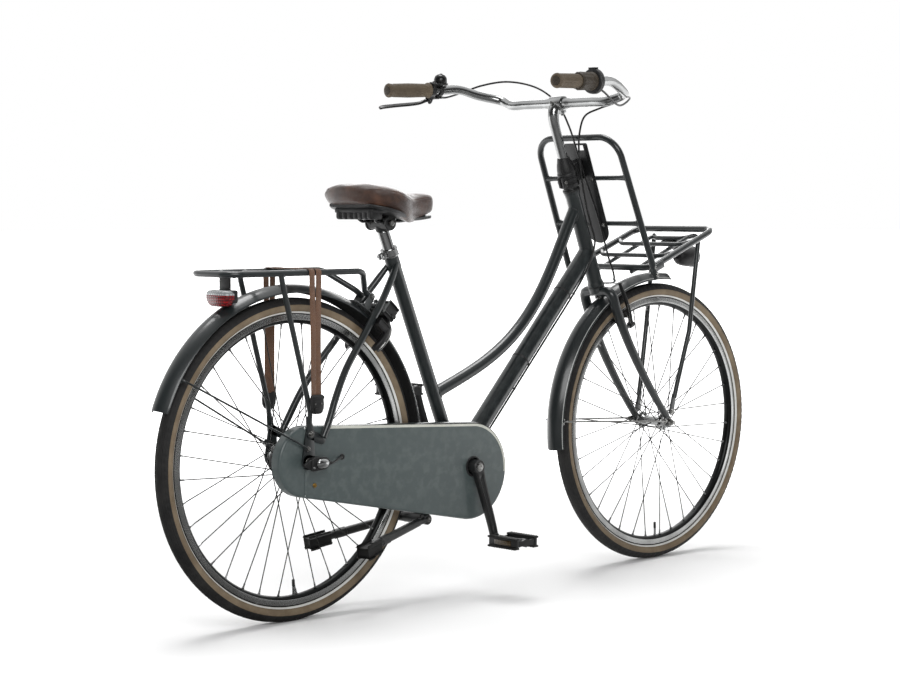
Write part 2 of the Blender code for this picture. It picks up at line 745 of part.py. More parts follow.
def stem():
    """Polished quill whose head curves forward into the handlebar clamp."""
    clamp = on_steering(STEM_HEIGHT, STEM_REACH)
    route = [on_steering(STEERER_TOP - 0.115, 0), on_steering(STEERER_TOP, 0),
             on_steering(STEM_HEIGHT - 0.045, 0), on_steering(STEM_HEIGHT - 0.024, 0.0025),
             on_steering(STEM_HEIGHT - 0.008, 0.012), on_steering(STEM_HEIGHT - 0.002, 0.024)]
    quill = tube("quill", route, STEM_R, 10)
    barrel = cylinder("barrel", clamp - 0.021 * Y_AXIS, clamp + 0.021 * Y_AXIS, 0.0175, 14)
    lug = box("lug", on_steering(STEM_HEIGHT - 0.019, STEM_REACH + 0.006), (0.012, 0.020, 0.016),
              (STEER_AHEAD, Y_AXIS, STEER_UP))
    body = fuse(quill, [barrel, lug])
    bore = cylinder("bore", clamp - 0.05 * Y_AXIS, clamp + 0.05 * Y_AXIS,
                    bore_for(BAR_CLAMP_R, GAP, 10), 10)
    return finished(cut(body, [bore]), "stem", POLISHED, smooth=40)


def bar_point(ahead, rise, side):
    """Point of the handlebar, from the middle of the stem's clamp."""
    return on_steering(STEM_HEIGHT, STEM_REACH) + Vector((ahead, side, rise))


def bar_path(sign):
    """Handlebar's centre line from its middle out to its straight end."""
    bends = [bar_point(ahead, rise, sign * side) for ahead, rise, side in BAR_BENDS]
    steps = 2
    path = smooth_path(bends[1:], steps)
    return path[:-steps] + [path[-1]]


def handlebar():
    """Swept-back handlebar with a thicker middle for the clamp."""
    left = bar_path(1)
    right = bar_path(-1)
    middle = [bar_point(0, 0, side) for side in (-0.045, -0.032, 0.032, 0.045)]
    points = right[::-1] + middle + left
    thick = BAR_CLAMP_R / BAR_R
    radii = [1.0] * (len(right) + 1) + [thick, thick] + [1.0] * (len(left) + 1)
    return finished(tube("handlebar", points, BAR_R, 8, radii), "handlebar", POLISHED, smooth=50)


def along_grip(sign, distance, offset=(0, 0, 0)):
    """Point on the handlebar's straight end, a distance in from its tip."""
    tip = bar_point(*BAR_BENDS[-1][:2], sign * BAR_BENDS[-1][2])
    inner = bar_point(*BAR_BENDS[-2][:2], sign * BAR_BENDS[-2][2])
    return tip + (inner - tip).normalized() * distance + Vector(offset)


def sleeve(name, sign, start, end, profile, look, bore_radius=None, sides=10):
    """Turned sleeve on the handlebar's end: profile of (share, radius) from start to end."""
    first = along_grip(sign, start)
    axis = along_grip(sign, end) - first
    bore = bore_radius or bore_for(BAR_R, GAP, sides)
    length = axis.length
    outer = [(radius, share * length) for share, radius in reversed(profile)]
    loop = outer + [(bore, 0.0), (bore, length)]
    obj = turned(name, loop, first, axis, sides)
    return finished(obj, name, look, along_grip(sign, (start + end) / 2), 40)


def grips():
    """Two brown grips: a full one on the left, and on the right a short one beside the twist grip."""
    full = [(0.0, 0.0160), (0.03, GRIP_R + 0.0015), (0.10, GRIP_R), (0.5, GRIP_R + 0.0012),
            (0.92, GRIP_R), (0.97, GRIP_R + 0.0035), (1.0, GRIP_R + 0.003)]
    short = [(0.0, 0.0160), (0.05, GRIP_R + 0.0015), (0.15, GRIP_R), (0.9, GRIP_R + 0.0006),
             (1.0, GRIP_R)]
    twist = [(0.0, 0.0185), (0.08, 0.0205), (0.80, 0.0195), (0.92, 0.0215), (1.0, 0.0215)]
    housing = [(0.0, 0.0245), (0.12, 0.0285), (0.75, 0.0290), (0.92, 0.0250), (1.0, 0.0180)]
    sleeve("grip_left", 1, 0.0, GRIP_LENGTH, full, GRIP_RUBBER)
    sleeve("grip_right", -1, 0.0, TWIST_START - GAP, short, GRIP_RUBBER)
    sleeve("twist_grip", -1, TWIST_START, TWIST_END, twist, GRIP_RUBBER)
    sleeve("shifter_housing", -1, TWIST_END + RUNNING_GAP, SHIFTER_END, housing, BLACK_PLASTIC)


# Wheel hardware

def axles():
    """Axles with their nuts: one through each hub, held in the dropouts."""
    for name, centre, dropout in (("rear_axle", REAR_AXLE, REAR_DROPOUT_Y),
                                  ("front_axle", FRONT_AXLE, FRONT_DROPOUT_Y)):
        outer = dropout + DROPOUT_THICKNESS + GAP
        end = outer + 0.016
        rod = cylinder("rod", centre - end * Y_AXIS, centre + end * Y_AXIS, AXLE_R, 8)
        pieces = []
        for sign in (1, -1):
            nut = [centre + sign * outer * Y_AXIS, centre + sign * (outer + 0.009) * Y_AXIS]
            cone = [centre + sign * (dropout - GAP) * Y_AXIS, centre + sign * (dropout - 0.0045) * Y_AXIS]
            pieces.append(cylinder("nut", *nut, 0.0087, 6))
            pieces.append(cylinder("locknut", *cone, 0.0095, 8))
        finished(fuse(rod, pieces), name, STEEL, centre, 30)


# Drive

def tooth_loop(teeth, addendum, root):
    """Outline of a sprocket with pointed teeth."""
    pitch_r = CHAIN_PITCH / (2 * math.sin(math.pi / teeth))
    points = []
    for k in range(teeth):
        base = 2 * math.pi * k / teeth
        step = 2 * math.pi / teeth
        for share, radius in ((-0.5, pitch_r - root), (0.0, pitch_r + addendum)):
            points.append((radius * math.cos(base + share * step),
                           radius * math.sin(base + share * step)))
    return points


def pitch_radius(teeth):
    """Radius on which a sprocket's rollers sit."""
    return CHAIN_PITCH / (2 * math.sin(math.pi / teeth))


def crank_end(sign):
    """Place of the pedal's axis: the right crank hangs at its angle, and the left one is opposite."""
    angle = CRANK_ANGLE if sign < 0 else CRANK_ANGLE + math.pi
    return BB + CRANK_LENGTH * Vector((math.cos(angle), 0, math.sin(angle)))


def crank(sign, name, extras=()):
    """Crank arm that leans outwards from its boss to the pedal's eye, with the pedal's spindle."""
    end = crank_end(sign)
    side = Vector((0, sign, 0))
    along = (end - BB).normalized()
    across = along.cross(Y_AXIS)
    boss = cylinder("boss", BB + CRANK_ROOT_Y[0] * side, BB + CRANK_ROOT_Y[1] * side, 0.0165, 12)

    def arm_shape(bm):
        rings = []
        stations = ((0.0, 0.0145, CRANK_ROOT_Y[0] + 0.004, CRANK_ROOT_Y[1] - 0.001),
                    (0.30, 0.0120, CRANK_ROOT_Y[0] + 0.011, CRANK_ROOT_Y[1] + 0.0035),
                    (1.0, 0.0095, CRANK_END_Y[0] + 0.0005, CRANK_END_Y[1] - 0.0005))
        for share, half, inner, outer in stations:
            middle = BB + share * CRANK_LENGTH * along
            chamfer = 0.003
            ring = []
            for a, y in ((-half, inner + chamfer), (-half + chamfer, inner), (half - chamfer, inner),
                         (half, inner + chamfer), (half, outer - chamfer), (half - chamfer, outer),
                         (-half + chamfer, outer), (-half, outer - chamfer)):
                ring.append(bm.verts.new(middle + a * across + y * side))
            rings.append(ring)
        for first, second in zip(rings, rings[1:]):
            for k in range(8):
                bm.faces.new((first[k], first[(k + 1) % 8], second[(k + 1) % 8], second[k]))
        bm.faces.new(rings[0])
        bm.faces.new(rings[-1])
        bmesh.ops.recalc_face_normals(bm, faces=bm.faces)

    arm = mesh_object("arm", arm_shape)
    eye = cylinder("eye", end + CRANK_END_Y[0] * side, end + CRANK_END_Y[1] * side, 0.0125, 10)
    pin = cylinder("pin", end + (CRANK_END_Y[1] - 0.003) * side,
                   end + (PEDAL_START_Y + 2 * PEDAL_HALF - 0.006) * side, 0.0045, 6)
    body = fuse(boss, [arm, eye, pin, *extras])
    bore = cylinder("bore", BB, BB + (CRANK_ROOT_Y[1] - 0.004) * side, bore_for(SPINDLE_R, GAP, 10), 10)
    return finished(cut(body, [bore]), name, BLACK_METAL, BB, 35)


def pedal(sign, name):
    """Platform pedal: a barrel between end plates, with ribbed treads in front and behind."""
    centre = crank_end(sign)
    side = Vector((0, sign, 0))
    start = PEDAL_START_Y
    end = PEDAL_START_Y + 2 * PEDAL_HALF
    middle = (start + end) / 2
    ahead = Vector((1, 0, 0))
    up = Vector((0, 0, 1))
    axes = (ahead, Y_AXIS, up)
    barrel = cylinder("barrel", centre + start * side, centre + end * side, 0.0095, 10)
    pieces = []
    for y in (start + 0.0045, end - 0.0045):
        pieces.append(box("cheek", centre + y * side, (0.060, 0.006, 0.016), axes))
    for front in (-1, 1):
        tread = centre + middle * side + front * 0.0295 * ahead
        pieces.append(box("tread", tread, (0.008, 2 * PEDAL_HALF, 0.020), axes))
        for level in (-1, 1):
            pieces.append(box("lip", tread + level * 0.0105 * up + front * 0.0015 * ahead,
                              (0.015, 2 * PEDAL_HALF - 0.0016, 0.005), axes))
    body = fuse(barrel, pieces)
    bore = cylinder("bore", centre, centre + (end + 0.02) * side, bore_for(0.0045, GAP, 6), 6)
    return finished(cut(body, [bore]), name, BLACK_PLASTIC, centre + middle * side, 35)


def drive():
    """Bottom bracket, spindle, chainring, cranks, pedals, rear sprocket and chain."""
    cartridge = turned("cartridge",
                       [(0.0172, 0.0355), (0.0172, -0.0355), (bore_for(SPINDLE_R, GAP, 12), -0.0355),
                        (bore_for(SPINDLE_R, GAP, 12), 0.0355)], BB, Y_AXIS, 12)
    finished(cartridge, "bottom_bracket", STEEL, BB)
    tip = CRANK_ROOT_Y[1] - 0.004 - GAP
    spindle = cylinder("spindle", BB - tip * Y_AXIS, BB + tip * Y_AXIS, SPINDLE_R, 10)
    finished(spindle, "crank_spindle", STEEL, BB)
    windows = []
    for k in range(RING_WINDOWS):
        angle = 2 * math.pi * k / RING_WINDOWS
        place = (RING_WINDOW_AT * math.cos(angle), RING_WINDOW_AT * math.sin(angle))
        windows.append(circle_loop(RING_WINDOW_R, 6, place, angle))
    ring_plate = outline_plate("ring", tooth_loop(RING_TEETH, 0.0035, 0.003), 0.0022,
                               BB - CHAIN_LINE * Y_AXIS, (1, 0, 0), (0, 0, 1), windows)
    sleeve_in = cylinder("sleeve", BB - (CHAIN_LINE - 0.003) * Y_AXIS,
                         BB - (CRANK_ROOT_Y[0] + 0.002) * Y_AXIS, 0.014, 10)
    crank(-1, "crank_right", (ring_plate, sleeve_in))
    crank(1, "crank_left")
    pedal(-1, "pedal_right")
    pedal(1, "pedal_left")
    right_end = REAR_FLANGE_Y - REAR_FLANGE_SHIFT + 0.005
    plate = outline_plate("sprocket", tooth_loop(SPROCKET_TEETH, 0.0035, 0.003), 0.0022,
                          REAR_AXLE - CHAIN_LINE * Y_AXIS, (1, 0, 0), (0, 0, 1))
    driver = cylinder("driver", REAR_AXLE - (right_end + GAP) * Y_AXIS,
                      REAR_AXLE - (REAR_DROPOUT_Y - 0.0055) * Y_AXIS, 0.016, 10)
    body = fuse(driver, [plate])
    bore = cylinder("bore", REAR_AXLE, REAR_AXLE - 0.09 * Y_AXIS, bore_for(AXLE_R, GAP, 10), 10)
    finished(cut(body, [bore]), "rear_sprocket", STEEL, REAR_AXLE)
    chain()


def belt_loop(centre_a, radius_a, centre_b, radius_b, steps_a, steps_b):
    """Closed outline round two circles, as (ahead, height) pairs: the first circle behind the second."""
    dx = centre_b.x - centre_a.x
    dz = centre_b.z - centre_a.z
    heading = math.atan2(dz, dx)
    lean = math.acos((radius_a - radius_b) / math.hypot(dx, dz))
    points = []
    for k in range(steps_a + 1):
        angle = heading + lean + (2 * math.pi - 2 * lean) * k / steps_a
        points.append((centre_a.x + radius_a * math.cos(angle), centre_a.z + radius_a * math.sin(angle)))
    for k in range(steps_b + 1):
        angle = heading - lean + 2 * lean * k / steps_b
        points.append((centre_b.x + radius_b * math.cos(angle), centre_b.z + radius_b * math.sin(angle)))
    return points


def chain():
    """Chain as one band round the two sprockets, its inner edge just clear of the teeth."""
    small = pitch_radius(SPROCKET_TEETH) + 0.0035
    large = pitch_radius(RING_TEETH) + 0.0035
    inner = belt_loop(REAR_AXLE, small + 0.0008, BB, large + 0.0010, 8, 16)
    outer = belt_loop(REAR_AXLE, small + 0.0062, BB, large + 0.0062, 8, 16)
    band = outline_plate("chain", outer, 0.0085, Vector((0, -CHAIN_LINE, 0)), (1, 0, 0), (0, 0, 1),
                         (inner,))
    finished(band, "chain", STEEL)


def chain_case():
    """Closed chain case, a dish open towards the wheel, and its separate rear cover."""
    def dish(name, shrink, depth, inset):
        loop = belt_loop(REAR_AXLE, CASE_REAR_R - shrink, CASE_FRONT, CASE_FRONT_R - shrink, 10, 15)
        middle = Vector((0, -(CASE_OUTER_Y - inset - depth / 2), 0))
        return outline_plate(name, loop, depth, middle, (1, 0, 0), (0, 0, 1))

    outer = dish("case", 0, CASE_DEPTH, 0)
    bevel = outer.modifiers.new("round", "BEVEL")
    bevel.width = 0.004
    bevel.segments = 1
    bevel.limit_method = "ANGLE"
    bevel.angle_limit = math.radians(60)
    outer = as_mesh(outer)
    hollow = dish("hollow", CASE_WALL, CASE_DEPTH, CASE_WALL)
    slot_z = BB.lerp(REAR_AXLE, 0.93).z
    across = (Vector((1, 0, 0)), Y_AXIS, Vector((0, 0, 1)))
    slot = box("slot", Vector((REAR_X + 0.046, -CASE_OUTER_Y, slot_z)), (0.112, 0.02, 0.0245), across,
               0.006)
    axle_hole = cylinder("hole", REAR_AXLE - 0.02 * Y_AXIS, REAR_AXLE - 0.09 * Y_AXIS, 0.0115, 14)
    crank_hole = cylinder("hole", BB - 0.045 * Y_AXIS, BB - 0.09 * Y_AXIS, 0.0215, 18)
    cable_hole = box("hole", Vector((REAR_X + CABLE_HOLE_X, -CASE_OUTER_Y, CABLE_HOLE_Z)),
                     (0.026, 0.02, 0.0075))
    shell = cut(outer, [hollow, slot, axle_hole, crank_hole, cable_hole])
    rear = shell.copy()
    rear.data = shell.data.copy()
    PARTS.objects.link(rear)
    seam = REAR_X - 0.006
    size = (1.2, 0.2, 0.6)
    ahead = box("ahead", Vector((seam + size[0] / 2, -0.05, AXLE_Z)), size)
    behind = box("behind", Vector((seam + GAP - size[0] / 2, -0.05, AXLE_Z)), size)
    finished(cut(shell, [behind]), "chain_case", CASE_PAINT, smooth=30)
    finished(cut(rear, [ahead]), "chain_case_rear_cover", CASE_PAINT, smooth=30)


# Mudguards

def mudguard(name, centre, start, end, steps, bridge=None, bridge_at=0.0):
    """Mudguard: an arched strip turned about the axle, with its own thickness."""
    profile = []
    count = 5
    for k in range(count + 1):
        t = 1 - 2 * k / count
        profile.append((GUARD_R - GUARD_CROWN * (1 - math.cos(t * math.pi / 2)) ** 1.1, t * GUARD_HALF))
    obj = turned(name, profile, centre, Y_AXIS, steps, closed=False, sweep=end - start, start=-end)
    shell = obj.modifiers.new("wall", "SOLIDIFY")
    shell.thickness = GUARD_WALL
    shell.offset = -1.0
    if bridge:
        top = bridge - GAP
        foot = GUARD_R - 0.0017
        middle = around(centre, (top + foot) / 2, bridge_at)
        out = (middle - centre).normalized()
        obj = fuse(obj,
                   [box("tab", middle, (0.016, 0.020, top - foot), (out.cross(Y_AXIS), Y_AXIS, out))])
    return finished(obj, name, PAINT, smooth=40)


# Mudguard stays: one wire each, from dropout to dropout over the guard's inside

def guard_stay(name, centre, degrees, dropout_y, end):
    """Wire stay bolted to both dropouts and hooked under the mudguard's edges."""
    edge = (GUARD_R - GUARD_CROWN) * math.cos(math.radians(4)) - STAY_WIRE_R - 3 * GAP
    side = dropout_y + DROPOUT_THICKNESS + 0.0042
    beside = GUARD_HALF + 0.008
    points = []
    for sign in (1, -1):
        foot = centre + Vector((end[0], sign * side, end[1]))
        turn = foot.lerp(around(centre, edge, degrees, sign * beside), 0.10)
        turn.y = sign * side
        high = around(centre, edge, degrees, sign * beside)
        points.append([foot, turn, high])
    left, right = points
    path = bent(left + right[::-1], 0.005, 1)
    wire = tube("wire", path, STAY_WIRE_R, 6)
    pieces = []
    for sign in (1, -1):
        foot = centre + Vector((end[0], 0, end[1]))
        middle = sign * (dropout_y + DROPOUT_THICKNESS + GAP + 0.001)
        away = (around(centre, 1, degrees) - centre).normalized()
        pieces.append(bar_plate("eye", foot - 0.001 * away, foot + 0.010 * away, 0.0065, 0.0045, 0.002,
                                middle, 3))
        pieces.append(cylinder("bolt", foot + Vector((0, middle, 0)),
                               foot + Vector((0, middle + sign * 0.006, 0)), 0.004, 6))
    return finished(fuse(wire, pieces), name, PAINT, smooth=40)


# Rear carrier

def rear_carrier():
    """Tubular luggage carrier: outer loop, two cross rods and two legs, welded together."""
    z = REAR_RAIL_HEIGHT
    foot = around(REAR_AXLE, CARRIER_FOOT_R, CARRIER_FOOT_ANGLE, CARRIER_EAR_Y - GAP - REAR_RAIL_R)
    bend = from_rear(REAR_RAIL_FRONT + 0.022, REAR_RAIL_HALF - 0.002, z)
    tail = from_rear(REAR_RAIL_TAIL, REAR_RAIL_HALF, z)
    toe = foot + 0.022 * (bend - foot).normalized()
    toe.y = foot.y
    half = [foot, toe, bend, tail]
    loop = bent(half + mirrored(half)[::-1], 0.034, 2)
    pieces = []
    for ahead in (-0.155, -0.090):
        rod = [from_rear(ahead + 0.030, REAR_RAIL_HALF, z), from_rear(ahead, REAR_RAIL_HALF - 0.030, z)]
        pieces.append(tube("rod", bent(rod + mirrored(rod)[::-1], 0.02, 1), 0.0045, 6))
    for sign in (1, -1):
        side = REAR_DROPOUT_Y + DROPOUT_THICKNESS + GAP + 0.0015
        end = REAR_AXLE + Vector((LEG_FOOT[0], 0, LEG_FOOT[1]))
        leg = [from_rear(LEG_TOP_X, sign * REAR_RAIL_HALF, z),
               from_rear(LEG_TOP_X + 0.004, sign * REAR_RAIL_HALF, z - 0.02),
               end + Vector((-0.004, sign * (side + 0.003), 0.022))]
        pieces.append(tube("leg", leg, 0.0055, 6))
        pieces.append(bar_plate("tab", end + Vector((-0.005, 0, 0.028)), end, 0.006, 0.010, 0.003,
                                sign * side, 3))
    return finished(fuse(tube("loop", loop, REAR_RAIL_R, 6), pieces), "rear_carrier", PAINT, smooth=40)


def carrier_bracket():
    """Folded plate over the mudguard with two ears that hold the carrier's feet."""
    angle = math.radians(CARRIER_FOOT_ANGLE)
    out = Vector((math.cos(angle), 0, math.sin(angle)))
    along = Vector((-math.sin(angle), 0, math.cos(angle)))
    base = REAR_AXLE + (GUARD_R + 0.0011) * out
    plate = box("base", base + 0.004 * along, (0.062, 2 * CARRIER_EAR_Y + 0.003, 0.0025),
                (along, Y_AXIS, out))
    foot = REAR_AXLE + CARRIER_FOOT_R * out
    pieces = []
    for sign in (1, -1):
        middle = sign * (CARRIER_EAR_Y + 0.00125)
        pieces.append(bar_plate("ear", base + 0.0095 * out, foot, 0.010, 0.008, 0.0025, middle, 3))
        bolt = foot + Vector((0, middle, 0))
        pieces.append(cylinder("bolt", bolt, bolt + Vector((0, sign * 0.006, 0)), 0.0055, 6))
    return finished(fuse(plate, pieces), "carrier_bracket", STEEL, smooth=30)


def tail_lamp():
    """Tail lamp: a black housing hung from the carrier by its plate, and a red lens behind it."""
    axes = (Vector((1, 0, 0)), Y_AXIS, Vector((0, 0, 1)))
    lens_depth = 0.020
    housing_depth = 0.016
    lens = box("lens", from_rear(LAMP_REAR_X + lens_depth / 2, 0, LAMP_Z),
               (lens_depth, LAMP_WIDTH, LAMP_HEIGHT), axes, 0.005, 2)
    finished(lens, "tail_lamp_lens", RED_LENS, smooth=30)
    start = LAMP_REAR_X + lens_depth + GAP
    housing = box("housing", from_rear(start + housing_depth / 2, 0, LAMP_Z + 0.0035),
                  (housing_depth, LAMP_WIDTH - 0.004, LAMP_HEIGHT - 0.009), axes, 0.004)
    top = REAR_RAIL_HEIGHT - 0.0045 - GAP
    low = LAMP_Z + LAMP_HEIGHT / 2 - 0.006
    plate = box("plate", from_rear(start + 0.008, 0, (top + low) / 2), (0.0025, 0.030, top - low), axes)
    flange = box("flange", from_rear(start + 0.020, 0, top - 0.001), (0.0265, 0.030, 0.002), axes)
    finished(fuse(housing, [plate, flange]), "tail_lamp_housing", BLACK_PLASTIC, smooth=30)


def luggage_straps():
    """Woven double strap laid over the carrier, with a moulded hook clip at each end."""
    inner = REAR_RAIL_HALF + REAR_RAIL_R + 0.0008
    top = REAR_RAIL_HEIGHT + REAR_RAIL_R + 0.0012
    thickness = 0.0032
    hug = (REAR_RAIL_R + 0.0003) / math.cos(math.radians(15))
    outline = []
    for sign in (1, -1):
        side = [(inner, STRAP_LOW_Z), (inner + thickness, STRAP_LOW_Z), (inner + thickness, top - 0.005),
                (inner + thickness - 0.006, top + thickness)]
        outline += [(sign * a, b) for a, b in (side if sign > 0 else side[::-1])]
    for sign in (-1, 1):
        under = []
        for degrees in (0, 30, 60, 90):
            a = math.radians(degrees)
            under.append((REAR_RAIL_HALF + hug * math.cos(a), REAR_RAIL_HEIGHT + hug * math.sin(a)))
        outline += [(sign * a, b) for a, b in (under if sign < 0 else under[::-1])]
    band = outline_plate("strap", outline, STRAP_WIDTH, from_rear(STRAP_X, 0, 0), (0, 1, 0), (0, 0, 1))
    clips = []
    for sign in (1, -1):
        clips.append(box("clip", from_rear(STRAP_X, sign * (inner + 0.0048), STRAP_LOW_Z - 0.014),
                         (0.038, 0.008, 0.040), None, 0.004))
    return finished(fuse(band, clips), "luggage_straps", WEBBING, smooth=30)


# Saddle and post

def saddle_half_width(share):
    """Half the saddle's width at a share of its length from the rear."""
    nose = 0.026
    flare = 0.5 + 0.5 * math.cos(math.pi * min(1.0, max(0.0, (share - 0.24) / 0.58)))
    return nose + (SADDLE_HALF - nose) * flare


def saddle_lift(share):
    """How far the saddle's middle line rises or dips at a share of its length."""
    return 0.010 * (1 - share) ** 2 - 0.018 * math.sin(math.pi * share) ** 2 * share - 0.020 * share


def saddle_fullness(share):
    """How far the saddle's section is filled near its two ends."""
    power = 6 if share < 0.5 else 4
    return max(math.sqrt(max(0.0, 1 - (2 * share - 1) ** power)), 0.30)


def saddle_under(share):
    """Height of the cushion's underside at a share of its length."""
    full = 0.6 + 0.4 * saddle_fullness(share)
    return SADDLE_Z + saddle_lift(share) - (0.40 + 0.46 * full) * SADDLE_THICKNESS


def lofted(name, rings):
    """Closed body through rings of points of equal count."""
    def build(bm):
        loops = [[bm.verts.new(point) for point in ring] for ring in rings]
        for first, second in zip(loops, loops[1:]):
            for j in range(len(first)):
                k = (j + 1) % len(first)
                bm.faces.new((first[j], first[k], second[k], second[j]))
        bm.faces.new(loops[0])
        bm.faces.new(loops[-1])
        bmesh.ops.recalc_face_normals(bm, faces=bm.faces)

    return mesh_object(name, build)


def saddle_cushion():
    """Crowned leather cushion, wide at the back, with a waist, a nose and drawn-in sides."""
    count = 20
    rings = []
    for i in range(SADDLE_STATIONS + 1):
        share = i / SADDLE_STATIONS
        full = saddle_fullness(share)
        half = saddle_half_width(share) * full
        ring = []
        for j in range(count):
            a = 2 * math.pi * j / count
            up = math.sin(a)
            y = half * math.copysign(abs(math.cos(a)) ** 0.85, math.cos(a))
            rise = 0.40 * up ** 0.9 if up > 0 else max(0.60 * up, -0.46)
            if up < 0:
                y *= 1 - 0.12 * abs(up)
            z = SADDLE_Z + saddle_lift(share) + SADDLE_THICKNESS * (rise * (0.6 + 0.4 * full) - 0.40)
            ring.append(from_rear(SADDLE_REAR + SADDLE_LENGTH * share, y, z))
        rings.append(ring)
    return finished(lofted("cushion", rings), "saddle_cushion", BROWN_LEATHER, smooth=60)


def saddle_hardware():
    """Seat post, saddle clamp, and the saddle's base with its rails."""
    low = BB + (SEAT_TUBE_LENGTH - 0.145) * SEAT_UP
    top = BB + POST_TOP * SEAT_UP
    post = cylinder("post", low, top, SEAT_POST_R, 10)
    neck = cylinder("neck", top - 0.001 * SEAT_UP, top + 0.024 * SEAT_UP, 0.011, 10)
    finished(fuse(post, [neck]), "seat_post", POLISHED, top)
    head = top + 0.0172 * SEAT_UP
    rail_z = head.z + 0.004
    drum = cylinder("drum", head - 0.030 * Y_AXIS, head + 0.030 * Y_AXIS, 0.0152, 10)
    bore = cylinder("bore", top - 0.03 * SEAT_UP, top + (0.024 + GAP) * SEAT_UP,
                    bore_for(0.011, GAP, 10), 10)
    grooves = []
    for sign in (1, -1):
        middle = head + Vector((0, sign * 0.022, 0.004))
        run = Vector((0.05, 0, 0))
        grooves.append(cylinder("groove", middle - run, middle + run, bore_for(0.0035, GAP, 6), 6))
    finished(cut(drum, [bore, *grooves]), "saddle_clamp", BLACK_METAL, smooth=30)
    rings = []
    for i in range(1, SADDLE_STATIONS):
        share = i / SADDLE_STATIONS
        half = saddle_half_width(share) * saddle_fullness(share) * 0.74
        x = SADDLE_REAR + SADDLE_LENGTH * share
        z = saddle_under(share) - GAP
        rings.append([from_rear(x, half, z), from_rear(x, -half, z), from_rear(x, -half, z - 0.005),
                      from_rear(x, half, z - 0.005)])
    tray = lofted("tray", rings)
    pieces = []
    rear_share = 0.13
    nose_share = 0.86
    rear = from_rear(SADDLE_REAR + SADDLE_LENGTH * rear_share, 0, saddle_under(rear_share) - 0.008)
    nose = from_rear(SADDLE_REAR + SADDLE_LENGTH * nose_share, 0, saddle_under(nose_share) - 0.008)
    for sign in (1, -1):
        rail = [rear + Vector((0, sign * 0.048, 0)), rear + Vector((0.016, sign * 0.038, -0.010)),
                Vector((head.x - 0.026, sign * 0.022, rail_z)),
                Vector((head.x + 0.030, sign * 0.022, rail_z)),
                nose + Vector((-0.020, sign * 0.014, -0.006)), nose + Vector((0, sign * 0.010, 0))]
        pieces.append(tube("rail", rail, 0.0035, 6))
    pieces.append(box("rear_block", rear + Vector((0, 0, -0.0035)), (0.026, 0.112, 0.014)))
    pieces.append(box("nose_block", nose + Vector((0, 0, -0.004)), (0.022, 0.026, 0.014)))
    finished(fuse(tray, pieces), "saddle_base", BLACK_PLASTIC, smooth=30)


def seat_clamp():
    """Polished band round the top of the seat tube, with its bolt lugs behind."""
    start = BB + (SEAT_TUBE_LENGTH + GAP) * SEAT_UP
    end = BB + (SEAT_TUBE_LENGTH + 0.020) * SEAT_UP
    band = cylinder("band", start, end, 0.0192, 10)
    lug = box("lug", (start + end) / 2 - 0.0215 * SEAT_AHEAD, (0.016, 0.018, 0.014),
              (SEAT_AHEAD, Y_AXIS, SEAT_UP))
    body = fuse(band, [lug])
    hole = cylinder("hole", start - 0.01 * SEAT_UP, end + 0.01 * SEAT_UP,
                    bore_for(SEAT_POST_R, GAP, 10), 10)
    slit = box("slit", (start + end) / 2 - 0.024 * SEAT_AHEAD, (0.026, 0.002, 0.05),
               (SEAT_AHEAD, Y_AXIS, SEAT_UP))
    return finished(cut(body, [hole, slit]), "seat_clamp", POLISHED, smooth=30)


# Kickstand and lock

